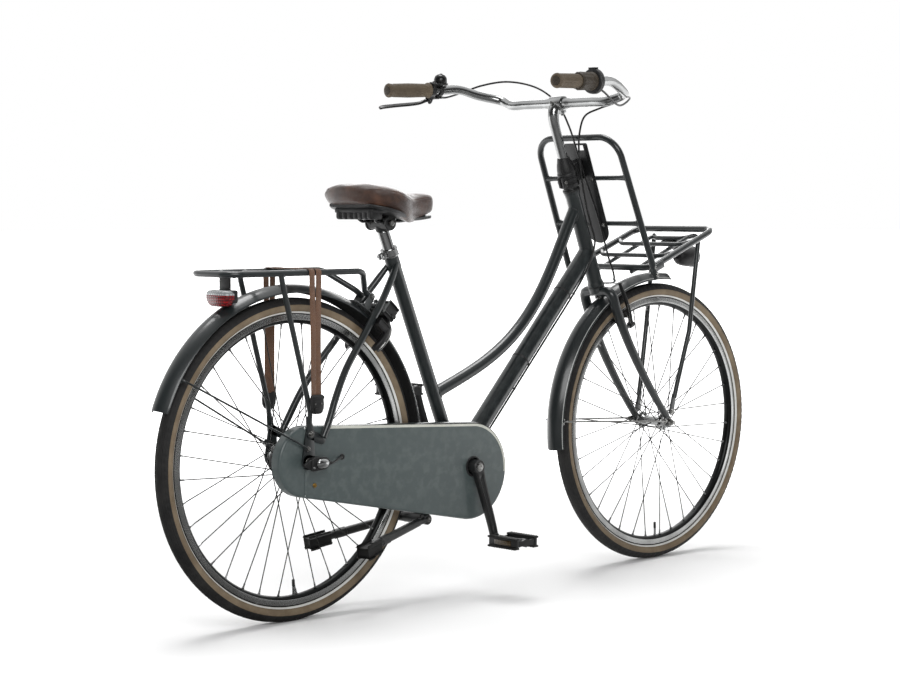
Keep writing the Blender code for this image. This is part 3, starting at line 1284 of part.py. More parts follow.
def kickstand():
    """Two-legged stand, folded back, on a bracket below the chainstays."""
    pivot = from_rear(STAND_PIVOT[0], 0, STAND_PIVOT[1])
    stay = BB.lerp(REAR_AXLE, STAY_BRIDGE_SHARE)
    lengthways = (BB - REAR_AXLE).normalized()
    below = lengthways.cross(Y_AXIS)
    below = below if below.z < 0 else -below
    top = stay.z - CHAINSTAY_R - GAP - 0.002
    plate = box("plate", stay + (CHAINSTAY_R + GAP + 0.003) * below, (0.052, 0.084, 0.006),
                (lengthways, Y_AXIS, below))
    spine = box("spine", Vector((pivot.x + 0.010, 0, (top + pivot.z) / 2 + 0.004)),
                (0.024, 0.022, top - pivot.z - 0.010))
    barrel = cylinder("barrel", pivot - (STAND_PIVOT_HALF - 0.016) * Y_AXIS,
                      pivot + (STAND_PIVOT_HALF - 0.016) * Y_AXIS, 0.0125, 10)
    bore = cylinder("bore", pivot - 0.06 * Y_AXIS, pivot + 0.06 * Y_AXIS, bore_for(0.005, GAP, 8), 8)
    post_box = box("gusset", Vector((stay.x - 0.006, 0, top - 0.022)), (0.030, 0.030, 0.042))
    spring_top, spring_end, spring_along = spring_line(pivot)
    seat = SPRING_PIN_R * math.cos(math.pi / 8) + GAP
    peg = spring_top - seat * spring_along
    peg_end = Vector((peg.x, peg.y + 0.004, peg.z))
    peg = cylinder("peg", Vector((peg.x, 0.009, peg.z)), peg_end, SPRING_PIN_R, 8)
    finished(cut(fuse(barrel, [plate, spine, post_box, peg]), [bore]), "kickstand_bracket", BLACK_METAL,
             smooth=30)
    pin = cylinder("pin", pivot - STAND_PIVOT_HALF * Y_AXIS, pivot + STAND_PIVOT_HALF * Y_AXIS, 0.005, 8)
    low = spring_end + seat * spring_along
    pieces = [cylinder("peg", Vector((low.x, low.y - 0.004, low.z)), Vector((low.x, 0.040, low.z)),
                       SPRING_PIN_R, 8)]
    for sign in (1, -1):
        foot = from_rear(STAND_FOOT[0], sign * STAND_FOOT[1], STAND_FOOT[2])
        cheek = pivot + sign * (STAND_PIVOT_HALF - 0.007) * Y_AXIS
        leg = bent([cheek, cheek + Vector((-0.030, sign * 0.006, -0.003)), foot], 0.02, 2)
        pieces.append(tube("leg", leg, STAND_LEG_R, 6))
        pieces.append(cylinder("cheek", pivot + sign * (STAND_PIVOT_HALF - 0.0155) * Y_AXIS,
                               pivot + sign * STAND_PIVOT_HALF * Y_AXIS, 0.012, 10))
        pieces.append(box("foot", foot + Vector((0.004, 0, -0.002)), (0.030, 0.022, 0.014), None, 0.003))
    finished(fuse(pin, pieces), "kickstand", BLACK_METAL, pivot, 35)


def lock_frame():
    """Axes of the ring lock: its middle on the tyre, outwards from the axle, and across the ring."""
    angle = math.radians(LOCK_ANGLE)
    out = Vector((math.cos(angle), 0, math.sin(angle)))
    along = Vector((-math.sin(angle), 0, math.cos(angle)))
    return REAR_AXLE + LOCK_R * out, out, along


def ring_lock():
    """Ring lock: a horseshoe round the tyre and guard, its key housing, and the lugs on the stays."""
    centre, out, along = lock_frame()
    outline = []
    count = 10
    first = 90 - LOCK_SPAN / 2
    for radius, turn in ((LOCK_OUTER, 1), (LOCK_INNER, -1)):
        for k in range(count + 1):
            a = math.radians(90 + turn * (first - 90) * (1 - 2 * k / count))
            outline.append((radius * math.cos(a), radius * math.sin(a)))
    body = outline_plate("ring", outline, LOCK_THICKNESS, centre, Y_AXIS, out)
    pieces = [box("housing", centre + 0.067 * out + 0.010 * along - 0.012 * Y_AXIS, (0.022, 0.052, 0.026),
                  (along, Y_AXIS, out), 0.003)]
    for sign in (1, -1):
        path = seat_stay_path(sign)
        best = min((point_between(path, t / 200) for t in range(201)),
                   key=lambda point: abs((point - REAR_AXLE - point.y * Y_AXIS).length - LOCK_R - 0.012))
        reach = (best - centre).dot(along) - SEAT_STAY_R - GAP
        low = LOCK_THICKNESS / 2 - 0.002
        height = (best - centre).dot(out)
        middle = centre + height * out + ((reach + low) / 2) * along + sign * 0.0460 * Y_AXIS
        pieces.append(box("lug", middle, (reach - low, 0.020, 0.014), (along, Y_AXIS, out)))
    return finished(fuse(body, pieces), "ring_lock", BLACK_PLASTIC, centre, 30)


def point_between(path, share):
    """Point at a share of a path's number of spans."""
    place = share * (len(path) - 1)
    index = min(int(place), len(path) - 2)
    return path[index].lerp(path[index + 1], place - index)


def lock_shackle():
    """Steel bow of the ring lock, drawn back into its open place; it turns about the ring's middle."""
    centre, out, along = lock_frame()
    middle = centre - (LOCK_THICKNESS / 2 + LOCK_BOW_R + 0.0005) * along
    path = []
    count = 9
    tip = 90 + LOCK_SPAN / 2 - 5
    for k in range(count + 1):
        a = math.radians(tip - LOCK_BOW_SPAN * k / count)
        path.append(middle + LOCK_BOW_RING * (math.cos(a) * Y_AXIS + math.sin(a) * out))
    bow = tube("bow", path, LOCK_BOW_R, 6)
    a = math.radians(tip - LOCK_BOW_SPAN + 4)
    radial = math.cos(a) * Y_AXIS + math.sin(a) * out
    knob = box("knob", middle + (LOCK_BOW_RING + 0.008) * radial - 0.003 * along, (0.010, 0.012, 0.020),
               (along, along.cross(radial), radial), 0.002)
    return finished(fuse(bow, [knob]), "lock_shackle", STEEL, middle, 35)


# Front carrier

def loop_point(up, side):
    """Point in the plane of the front carrier's back loop."""
    lean = (0.065 - LOOP_AHEAD) / 0.328
    return on_steering(up, 0.065 - lean * (up - 0.038), side)


def front_carrier():
    """Front carrier: back loop, platform frame, cross tubes and struts, welded together."""
    half = [loop_point(-0.004, LOOP_HALF + 0.0065), loop_point(0.366, LOOP_HALF - 0.004)]
    loop = tube("loop", bent(half + mirrored(half)[::-1], 0.055, 2), FRONT_TUBE_R, 6)
    pieces = []
    for up in (0.261, 0.142):
        pieces.append(cylinder("bar", loop_point(up, LOOP_HALF), loop_point(up, -LOOP_HALF),
                               CROSS_BAR_R, 6))
    rear = PLATFORM_REAR
    front = PLATFORM_REAR + PLATFORM_LENGTH
    rise = PLATFORM_RISE
    side = [on_steering(rise, rear, 0.045), on_steering(rise, rear, FRONT_HALF),
            on_steering(rise, front, FRONT_HALF)]
    pieces.append(tube("frame", bent(side + mirrored(side)[::-1], 0.028, 2), FRONT_TUBE_R, 6))
    pieces.append(cylinder("frame_rear", on_steering(rise, rear, 0.047), on_steering(rise, rear, -0.047),
                           FRONT_TUBE_R - 0.0002, 6))
    for sign in (1, -1):
        pieces.append(box("foot", on_steering(0.018, 0.085, sign * 0.1345), (0.052, 0.004, 0.018),
                          (STEER_AHEAD, Y_AXIS, STEER_UP)))
    for ahead in (0.150, 0.225):
        cross = [on_steering(rise, ahead + 0.030, FRONT_HALF),
                 on_steering(rise, ahead, FRONT_HALF - 0.030)]
        pieces.append(tube("cross", bent(cross + mirrored(cross)[::-1], 0.02, 1), CROSS_BAR_R - 0.0005,
                           6))
    for sign in (1, -1):
        runner = [on_steering(rise - 0.0115, rear - 0.004, sign * 0.060),
                  on_steering(rise - 0.0115, 0.302, sign * 0.060)]
        pieces.append(cylinder("runner", *runner, 0.005, 6))
        outer = FRONT_DROPOUT_Y + DROPOUT_THICKNESS + GAP + 0.0015
        foot = FRONT_AXLE + Vector((0.005, 0, 0.027))
        pieces.append(bar_plate("tab", on_steering(-0.345, 0.1145), foot, 0.007, 0.009, 0.003,
                                sign * outer, 3))
    strut = [on_steering(-0.350, 0.1110, outer + 0.0025), on_steering(-0.208, 0.210, 0.072),
             on_steering(rise - 0.013, 0.330, 0.074), on_steering(rise - 0.0135, 0.298, 0.050)]
    pieces.append(tube("strut", bent(strut + mirrored(strut)[::-1], 0.045, 3), CROSS_BAR_R, 6))
    return finished(fuse(loop, pieces), "front_carrier", PAINT, smooth=40)


def carrier_plate():
    """Sheet plate with a rounded foot and a plain slot, bolted behind the carrier's cross bars."""
    half = 0.0375
    top = 0.354
    bottom = 0.094
    outline = [(half, top), (half, bottom + half)]
    for degrees in (30, 60, 90, 120, 150):
        a = math.radians(degrees)
        outline.append((half * math.cos(a), bottom + half - half * math.sin(a)))
    outline += [(-half, bottom + half), (-half, top)]
    slot = [(-0.024, top - 0.018), (-0.002, top - 0.018), (-0.002, top - 0.005), (-0.024, top - 0.005)]
    back = loop_point(0.261, 0) - (CROSS_BAR_R + GAP + 0.001) * STEER_AHEAD
    origin = on_steering(0, 0) + (back - on_steering(0.261, 0))
    plate = outline_plate("plate", outline, 0.002, origin, Y_AXIS, STEER_UP, [slot])
    return finished(plate, "front_carrier_plate", PAINT, smooth=30)


def carrier_clamp():
    """Black clamp round the steerer that holds the front carrier, with a dome over the stem's foot."""
    profile = [(0.0215, 0.298), (0.0205, 0.312), (0.0165, 0.328), (0.0136, 0.337)]
    dome = turned("dome", [(0.0, 0.337)] + profile[::-1] + [(0.0, 0.298)], STEER_BASE, STEER_UP, 10)
    collar = cylinder("collar", on_steering(0.2645, 0), on_steering(0.3, 0), 0.0240, 10)
    front = 0.0518
    arm = box("arm", on_steering(0.290, (0.018 + front) / 2), (front - 0.018, 0.020, 0.044),
              (STEER_AHEAD, Y_AXIS, STEER_UP))
    lug = box("lug", on_steering(0.282, -0.022, -0.004), (0.016, 0.012, 0.026),
              (STEER_AHEAD, Y_AXIS, STEER_UP))
    body = fuse(dome, [collar, arm, lug])
    cutters = [cylinder("bore", on_steering(0.20, 0), on_steering(STEERER_TOP + GAP, 0),
                        bore_for(STEERER_R, GAP, 14), 14),
               cylinder("bore", on_steering(0.30, 0), on_steering(0.40, 0), bore_for(STEM_R, GAP, 10),
                        10)]
    return finished(cut(body, cutters), "carrier_clamp", BLACK_METAL, smooth=35)


def headlamp():
    """Headlamp under the platform: a tapering black body on a bracket, and a clear lens."""
    axis = Vector((1, 0, 0))
    centre = Vector((from_rear(1.285, 0, 0).x, 0, 0.7655))
    side = [(0.0, 0.0), (0.012, 0.0), (0.020, 0.010), (0.0255, 0.038), (0.0265, 0.060), (0.0, 0.060)]
    body = turned("body", side[::-1], centre, axis, 10)
    level = on_steering(PLATFORM_RISE - 0.0135, 0.298) - (CROSS_BAR_R + GAP + 0.0015) * STEER_UP
    stand = bar_plate("stand", centre + Vector((0.024, 0, 0.016)), level - 0.0072 * STEER_UP, 0.009,
                      0.007, 0.018, 0, 3)
    plate = box("plate", level - 0.006 * STEER_AHEAD, (0.050, 0.050, 0.003),
                (STEER_AHEAD, Y_AXIS, STEER_UP))
    finished(fuse(body, [plate, stand]), "headlamp_housing", BLACK_PLASTIC, smooth=40)
    front = centre + (0.060 + GAP) * axis
    lens = [(0.0, 0.0), (0.0255, 0.0), (0.0245, 0.005), (0.015, 0.0105), (0.0, 0.0125)]
    finished(turned("lens", lens[::-1], front, axis, 10), "headlamp_lens", CLEAR_LENS, smooth=40)


# Rim brake

def brake_arm(sign, name):
    """Upright brake arm on its fork boss, with the pad that meets the rim."""
    pivot = on_steering(BRAKE_BOSS_UP, BRAKE_ARM_AHEAD + 0.004, sign * BRAKE_BOSS_Y)
    drum = cylinder("drum", on_steering(BRAKE_BOSS_UP, BRAKE_ARM_AHEAD, sign * BRAKE_BOSS_Y),
                    on_steering(BRAKE_BOSS_UP, BRAKE_ARM_AHEAD + 0.012, sign * BRAKE_BOSS_Y), 0.0085, 10)
    top = BRAKE_BOSS_UP + BRAKE_ARM_LENGTH
    middle = BRAKE_ARM_AHEAD + 0.006
    arm = [on_steering(BRAKE_BOSS_UP, middle, sign * BRAKE_BOSS_Y),
           on_steering(BRAKE_BOSS_UP + 0.04, middle, sign * 0.049),
           on_steering(top, middle, sign * 0.0415)]
    pieces = [tube("arm", arm, 0.0055, 6)]
    pad_up = BRAKE_BOSS_UP + PAD_RISE
    to_axle = FRONT_AXLE - on_steering(pad_up, middle)
    to_axle.y = 0
    radial = to_axle.normalized()
    face = RIM_WIDTH / 2 + 0.0022
    pad = on_steering(pad_up, middle, 0) + radial * (to_axle.length - 0.0) - radial * 0.3075
    pad = Vector((pad.x, sign * (face + 0.005), pad.z))
    pieces.append(box("pad", pad, (0.050, 0.010, 0.0085), (radial.cross(Y_AXIS), Y_AXIS, radial)))
    pieces.append(cylinder("post", pad, Vector((pad.x, sign * 0.046, pad.z)), 0.0035, 6))
    bore = cylinder("bore", on_steering(BRAKE_BOSS_UP, BRAKE_ARM_AHEAD - 0.02, sign * BRAKE_BOSS_Y),
                    on_steering(BRAKE_BOSS_UP, BRAKE_BOSS_AHEAD + BRAKE_STUD + GAP, sign * BRAKE_BOSS_Y),
                    bore_for(0.004, GAP, 6), 6)
    return finished(cut(fuse(drum, pieces), [bore]), name, BLACK_METAL, pivot, 35)


def beside_bar(distance, off, ahead_off=0.0):
    """Point beside the left grip's line, outwards and down by an offset."""
    along, across = bar_frame()
    return along_grip(1, distance) + off * across + ahead_off * along


def bar_frame():
    """Direction along the left grip towards the stem, and the brake lever's side of it."""
    along = (along_grip(1, 0.12) - along_grip(1, 0.0)).normalized()
    across = Vector((0, 0.51, -0.86))
    across = (across - across.dot(along) * along).normalized()
    return along, across


def hand_brake():
    """Brake lever and the clamp that carries it on the left of the handlebar."""
    along, across = bar_frame()
    axle = along.cross(across)
    centre = beside_bar(LEVER_AT, 0)
    ring = cylinder("ring", centre - 0.006 * along, centre + 0.006 * along, 0.0150, 10)
    pivot = beside_bar(LEVER_AT, LEVER_PIVOT_OFF)
    body = box("body", beside_bar(LEVER_AT + 0.004, 0.0163), (0.018, 0.012, 0.012),
               (along, across, axle), 0.002)
    cheeks = []
    for sign in (1, -1):
        cheeks.append(box("cheek", beside_bar(LEVER_AT, 0.026) + sign * 0.0062 * axle,
                          (0.016, 0.018, 0.0025), (along, across, axle)))
    barrel = cylinder("barrel", beside_bar(LEVER_AT + 0.009, 0.0197),
                      beside_bar(LEVER_AT + 0.030, 0.0197), 0.0042, 6)
    pin = cylinder("pin", pivot - 0.0055 * axle, pivot + 0.0055 * axle, 0.0022, 6)
    clamp = fuse(ring, [body, barrel, pin, *cheeks])
    bore = cylinder("bore", centre - 0.05 * along, centre + 0.05 * along, bore_for(BAR_R, GAP, 10), 10)
    finished(cut(clamp, [bore]), "lever_clamp", BLACK_METAL, smooth=35)
    rings = []
    for distance, off, width, depth in ((LEVER_AT + 0.006, LEVER_PIVOT_OFF + 0.001, 0.0042, 0.0035),
                                        (LEVER_AT - 0.006, LEVER_PIVOT_OFF + 0.001, 0.0042, 0.0040),
                                        (0.110, 0.0345, 0.0045, 0.0035), (0.085, 0.038, 0.0065, 0.0028),
                                        (0.035, 0.042, 0.0070, 0.0028),
                                        (0.0, LEVER_TIP_OFF, 0.0065, 0.0028),
                                        (-0.007, LEVER_TIP_OFF + 0.003, 0.0035, 0.0024)):
        middle = beside_bar(distance, off)
        ring_points = []
        for k in range(8):
            a = math.pi * (2 * k + 1) / 8
            ring_points.append(middle + width * math.cos(a) * axle + depth * math.sin(a) * across)
        rings.append(ring_points)
    lever = lofted("lever", rings)
    hole = cylinder("hole", pivot - 0.02 * axle, pivot + 0.02 * axle, bore_for(0.0022, GAP, 6), 6)
    return finished(cut(lever, [hole]), "brake_lever", BLACK_METAL, pivot, 35)


def bell():
    """Bell on the left of the handlebar: strap, base and dome, with a thumb lever beside."""
    at = 0.1572
    along, across = bar_frame()
    centre = beside_bar(at, 0)
    up = Vector((0, -0.25, 0.97))
    up = (up - up.dot(along) * along).normalized()
    side = along.cross(up)
    strap = cylinder("strap", centre - 0.005 * along, centre + 0.005 * along, 0.0148, 10)
    foot = centre + 0.0158 * up
    dome = [(0.0, 0.0), (0.019, 0.0), (0.020, 0.004), (0.0165, 0.0055), (0.0155, 0.015), (0.012, 0.021),
            (0.006, 0.0245), (0.0, 0.0253)]
    shell = turned("shell", dome[::-1], foot, up, 10)
    bore = cylinder("bore", centre - 0.05 * along, centre + 0.05 * along, bore_for(BAR_R, 0.0012, 10), 10)
    neck = cylinder("neck", centre + 0.0125 * up, centre + 0.0165 * up, 0.0065, 8)
    finished(cut(fuse(strap, [shell, neck]), [bore]), "bell", POLISHED, smooth=45)
    pivot = foot + 0.0022 * up - 0.0262 * along
    eye = cylinder("eye", pivot - 0.002 * up, pivot + 0.002 * up, 0.0055, 8)
    blade = box("blade", pivot - 0.001 * along + 0.012 * side, (0.006, 0.024, 0.003), (along, side, up))
    return finished(fuse(eye, [blade]), "bell_lever", BLACK_METAL, pivot, 35)


# Cables

def cables():
    """Brake cable with its silver noodle, and the shift cable in its turning and its fixed part."""
    start = beside_bar(LEVER_AT + 0.030 + GAP, 0.0197)
    along = bar_frame()[0]
    arm_top = BRAKE_BOSS_UP + BRAKE_ARM_LENGTH
    route = [start, start + 0.020 * along, from_rear(0.785, 0.268, 1.178),
             from_rear(0.814, 0.236, 1.193), from_rear(0.842, 0.170, 1.201),
             from_rear(0.866, 0.090, 1.182), on_steering(0.452, 0.064, 0.035),
             on_steering(0.400, 0.052, 0.005), on_steering(0.345, 0.040, -0.012),
             on_steering(0.270, 0.040, -0.0165), on_steering(0.170, 0.0480, -0.018),
             on_steering(0.105, 0.0480, -0.019), on_steering(0.055, 0.045, -0.022),
             on_steering(0.020, 0.043, -0.027), on_steering(arm_top + 0.010, 0.0415, -0.026)]
    curve = smooth_path(route, 2)
    front = BRAKE_ARM_AHEAD + 0.0115 + CABLE_R + GAP
    tail = [on_steering(arm_top + 0.0035, front, -0.010), on_steering(arm_top, front, 0.012),
            on_steering(arm_top, front, 0.0425)]
    finished(tube("brake_cable", curve + tail, CABLE_R, 5), "brake_cable", BLACK_PLASTIC, smooth=50)
    ahead = (along_grip(-1, 0.12) - along_grip(-1, 0.0)).normalized()
    exit_point = along_grip(-1, SHIFTER_END + 0.0016) + Vector((0, 0, -0.0146))
    route = [exit_point, exit_point + 0.020 * ahead + Vector((0, 0, -0.006)),
             from_rear(0.800, -0.232, 1.128), from_rear(0.866, -0.205, 1.146),
             from_rear(0.888, -0.180, 1.153), from_rear(0.884, -0.145, 1.140),
             from_rear(0.878, -0.100, 1.128), on_steering(0.425, 0.046, -0.062),
             on_steering(0.390, 0.036, -0.042), on_steering(0.335, 0.026, -0.030),
             on_steering(0.270, 0.0150, -0.028), on_steering(0.2, 0.008, -0.028)]
    finished(tube("front_run", smooth_path(route, 2), CABLE_R, 5), "shift_cable_front", BLACK_PLASTIC,
             smooth=50)
    route = [on_steering(0.1988, 0.008, -0.028), on_steering(0.155, 0.010, -0.0260),
             on_steering(0.115, 0.008, -0.0262), from_rear(0.918, -0.0275, 0.722),
             from_rear(0.880, -0.024, 0.650)]
    lower = []
    for share, degrees in ((0.045, 84), (0.11, 62), (0.20, 42), (0.34, 32), (0.52, 28), (0.70, 28),
                           (0.86, 28)):
        lower.append(down_tube_under(share, degrees))
    stay = chainstay_path(-1)
    behind = []
    for ahead, drop, aside in ((0.30, 0.0118, 0.0), (0.20, 0.0100, 0.0065), (0.14, 0.0, 0.0123)):
        behind.append(along_path(stay, from_rear(ahead, 0, 0).x) + Vector((0, -aside, -drop)))
    hole = from_rear(CABLE_HOLE_X, -(CASE_OUTER_Y - CASE_WALL / 2), CABLE_HOLE_Z)
    route = route[:3] + lower + [BB + Vector((0.004, -0.016, -0.0275)),
                                 BB + Vector((-0.056, -0.030, -0.0200)),
                                 BB + Vector((-0.102, -0.035, -0.0105)), *behind,
                                 hole + Vector((0.012, 0.0062, 0.001)),
                                 hole + Vector((-0.012, -0.0062, -0.001)),
                                 shift_end() + Vector((0.020, 0, 0)), shift_end()]
    finished(tube("rear_run", smooth_path(route, 1), CABLE_R, 5), "shift_cable_rear", BLACK_PLASTIC,
             smooth=50)


def along_path(points, x):
    """Point of a path at a given distance ahead."""
    for first, second in zip(points, points[1:]):
        if min(first.x, second.x) <= x <= max(first.x, second.x):
            return first.lerp(second, (x - first.x) / (second.x - first.x))
    return points[-1].copy()


def down_tube_under(share, degrees):
    """Point beside the down tube at a share of its length, turned from below to the right."""
    top = on_steering(DOWN_TUBE_ON_HEAD, 0)
    middle = top.lerp(BB, share)
    along = (BB - top).normalized()
    below = along.cross(Y_AXIS)
    below = below if below.z < 0 else -below
    a = math.radians(degrees)
    reach = DOWN_TUBE_R + CABLE_R + 0.0012
    return middle + reach * (math.cos(a) * below - math.sin(a) * Y_AXIS)


def shift_end():
    """Where the shift cable meets the box at the rear hub."""
    return REAR_AXLE + Vector((0.034, -(REAR_DROPOUT_Y + DROPOUT_THICKNESS + 0.014), -0.004))


def shift_box():
    """Black gear box on the axle's right end, with a pointed tab behind and a chrome cap."""
    side = -(REAR_DROPOUT_Y + DROPOUT_THICKNESS + GAP + 0.016 + 0.0006)
    outer = REAR_AXLE + Vector((0, side, 0))
    body = box("body", outer + Vector((0.010, -0.0060, -0.002)), (0.048, 0.012, 0.030), None, 0.004)
    tab = bar_plate("tab", outer + Vector((-0.010, 0, -0.002)), outer + Vector((-0.030, 0, -0.003)),
                    0.012, 0.003, 0.008, side - 0.005, 3)
    sleeve_in = cylinder("sleeve", REAR_AXLE + Vector((0, side + 0.0062, 0)),
                         REAR_AXLE + Vector((0, side - 0.004, 0)), 0.0095, 8)
    bore = cylinder("bore", REAR_AXLE + Vector((0, side + 0.01, 0)),
                    REAR_AXLE + Vector((0, side + 0.0006 - GAP, 0)), bore_for(AXLE_R, GAP, 8), 8)
    nut = cylinder("cap", outer + Vector((0, -0.0118, 0)), outer + Vector((0, -0.0175, 0)), 0.0075, 10)
    holder = cylinder("holder", shift_end() + Vector((-0.006, 0, 0)),
                      shift_end() + Vector((-0.0006, 0, 0)), 0.0045, 6)
    return finished(cut(fuse(body, [tab, sleeve_in, nut, holder]), [bore]), "shift_box", BLACK_PLASTIC,
                    smooth=30)


def spring_line(pivot):
    """Both ends of the stand's spring and the direction between them."""
    top = pivot + Vector((0.012, 0.026, 0.072))
    end = pivot + Vector((-0.024, 0.026, 0.0))
    return top, end, (end - top).normalized()


def stand_spring():
    """Coiled spring between the stand's bracket and its left leg, drawn out straight at both ends."""
    pivot = from_rear(STAND_PIVOT[0], 0, STAND_PIVOT[1])
    top, end, along = spring_line(pivot)
    first = along.cross(Y_AXIS).normalized()
    second = along.cross(first)
    length = (end - top).length - 2 * SPRING_LEAD - 4 * SPRING_WIRE_R
    count = SPRING_TURNS * SPRING_POINTS
    path = [top, top + SPRING_LEAD * 0.5 * along]
    coils = []
    for k in range(count + 1):
        a = 2 * math.pi * k / SPRING_POINTS
        share = k / count
        ease = min(1.0, 6 * share, 6 * (1 - share))
        radius = SPRING_R * max(0.35, ease)
        coils.append(top + (SPRING_LEAD + 2 * SPRING_WIRE_R + length * share) * along
                     + radius * (math.cos(a) * first + math.sin(a) * second))
    path += coils + [end - SPRING_LEAD * 0.5 * along, end]
    pitch = length / SPRING_TURNS
    print("kickstand spring: gap between curls", round((pitch - 2 * SPRING_WIRE_R) * 1000, 2), "mm")
    return finished(tube("spring", path, SPRING_WIRE_R, 6), "kickstand_spring", STEEL, smooth=50)


def build_all():
    """Build every piece of the bike."""
    main_frame()
    wheels()
    fork()
    stem()
    handlebar()
    grips()
    axles()
    drive()
    chain_case()
    mudguard("rear_mudguard", REAR_AXLE, 1, 160, 14)
    mudguard("front_mudguard", FRONT_AXLE, 84, 187, 13, 0.3850, 122.6)
    guard_stay("rear_mudguard_stay", REAR_AXLE, 148, REAR_DROPOUT_Y, (-0.004, 0.029))
    guard_stay("front_mudguard_stay", FRONT_AXLE, 176, FRONT_DROPOUT_Y, (-0.019, 0.004))
    rear_carrier()
    carrier_bracket()
    tail_lamp()
    luggage_straps()
    saddle_cushion()
    saddle_hardware()
    seat_clamp()
    kickstand()
    ring_lock()
    lock_shackle()
    front_carrier()
    carrier_plate()
    carrier_clamp()
    headlamp()
    brake_arm(1, "brake_arm_left")
    brake_arm(-1, "brake_arm_right")
    hand_brake()
    bell()
    cables()
    shift_box()
    stand_spring()


build_all()
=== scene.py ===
"""Looks of a step-through transport bike: its finishes, fine shapes and a plain studio.

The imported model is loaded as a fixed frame. Each class below builds the pieces of one
sub-assembly round it, in metres, with x forward, y to the rider's left and z up.
"""

from __future__ import annotations

import json
import logging
import math
from collections.abc import Callable, Sequence
from dataclasses import dataclass, field
from enum import Enum

import bmesh
import bpy
import numpy as np
from mathutils import Matrix, Vector, noise

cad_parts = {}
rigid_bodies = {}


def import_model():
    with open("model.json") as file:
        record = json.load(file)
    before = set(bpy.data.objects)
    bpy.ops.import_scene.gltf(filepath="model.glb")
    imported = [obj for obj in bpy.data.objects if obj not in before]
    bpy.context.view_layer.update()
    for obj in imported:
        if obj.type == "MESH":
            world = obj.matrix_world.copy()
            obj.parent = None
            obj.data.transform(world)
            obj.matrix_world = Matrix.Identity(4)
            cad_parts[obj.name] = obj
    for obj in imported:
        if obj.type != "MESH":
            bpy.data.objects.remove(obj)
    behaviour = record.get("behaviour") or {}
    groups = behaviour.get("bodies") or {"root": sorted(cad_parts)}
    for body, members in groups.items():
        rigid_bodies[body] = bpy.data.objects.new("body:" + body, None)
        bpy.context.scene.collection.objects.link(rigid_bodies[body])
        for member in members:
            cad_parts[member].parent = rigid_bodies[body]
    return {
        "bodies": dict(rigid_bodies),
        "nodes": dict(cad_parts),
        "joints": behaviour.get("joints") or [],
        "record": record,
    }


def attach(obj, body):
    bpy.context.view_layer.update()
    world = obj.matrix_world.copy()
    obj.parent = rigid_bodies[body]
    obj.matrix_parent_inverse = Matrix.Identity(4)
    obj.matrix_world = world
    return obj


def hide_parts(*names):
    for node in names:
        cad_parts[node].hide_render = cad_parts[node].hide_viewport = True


log = logging.getLogger("cargo_bike")

X_AXIS = Vector((1.0, 0.0, 0.0))
Y_AXIS = Vector((0.0, 1.0, 0.0))
Z_AXIS = Vector((0.0, 0.0, 1.0))
Axes = tuple[Vector, Vector, Vector]


class Side(Enum):
    """Side of the bike, as the factor of its y values."""

    LEFT = 1
    RIGHT = -1


# Places that the sub-assemblies share


@dataclass(frozen=True)
class Layout:
    """Wheel centres, steering axis and seat tube of the bike."""

    wheelbase: float = 1.1955
    axle_height: float = 0.35018
    head_angle: float = math.radians(68.9)
    fork_length: float = 0.4026
    fork_rake: float = 0.0767
    bracket_ahead: float = 0.496
    bracket_drop: float = 0.0515
    seat_angle: float = math.radians(67.6)

    @property
    def rear_axle(self) -> Vector:
        """Centre of the rear wheel."""
        return Vector((-self.wheelbase / 2, 0.0, self.axle_height))

    @property
    def front_axle(self) -> Vector:
        """Centre of the front wheel."""
        return Vector((self.wheelbase / 2, 0.0, self.axle_height))

    @property
    def steer_up(self) -> Vector:
        """Direction of the steering axis, upwards."""
        return Vector((-math.cos(self.head_angle), 0.0, math.sin(self.head_angle)))

    @property
    def steer_ahead(self) -> Vector:
        """Direction square to the steering axis, forwards."""
        return Vector((math.sin(self.head_angle), 0.0, math.cos(self.head_angle)))

    @property
    def steer_base(self) -> Vector:
        """Foot of the head tube on the steering axis."""
        return self.front_axle + self.fork_length * self.steer_up - self.fork_rake * self.steer_ahead

    @property
    def bracket(self) -> Vector:
        """Centre of the bottom bracket."""
        return self.rear_axle + Vector((self.bracket_ahead, 0.0, -self.bracket_drop))

    @property
    def seat_up(self) -> Vector:
        """Direction of the seat tube, upwards."""
        return Vector((-math.cos(self.seat_angle), 0.0, math.sin(self.seat_angle)))

    @property
    def seat_ahead(self) -> Vector:
        """Direction square to the seat tube, forwards."""
        return Vector((math.sin(self.seat_angle), 0.0, math.cos(self.seat_angle)))

    @property
    def steer_axes(self) -> Axes:
        """Axes of a block set square on the steering."""
        return self.steer_ahead, Y_AXIS, self.steer_up

    def rear(self, ahead: float, side: float, height: float) -> Vector:
        """Point by its distance ahead of the rear axle, to the left, and above the ground."""
        return Vector((self.rear_axle.x + ahead, side, height))

    def steering(self, up: float, ahead: float, side: float = 0.0) -> Vector:
        """Point by its place along the steering axis, ahead of it, and to the left."""
        return self.steer_base + up * self.steer_up + ahead * self.steer_ahead + side * Y_AXIS

    def around(self, centre: Vector, radius: float, degrees: float, side: float = 0.0) -> Vector:
        """Point on a circle round an axle, by its angle above the forward direction."""
        a = math.radians(degrees)
        return centre + Vector((radius * math.cos(a), side, radius * math.sin(a)))


LAYOUT = Layout()


# Paths and meshes


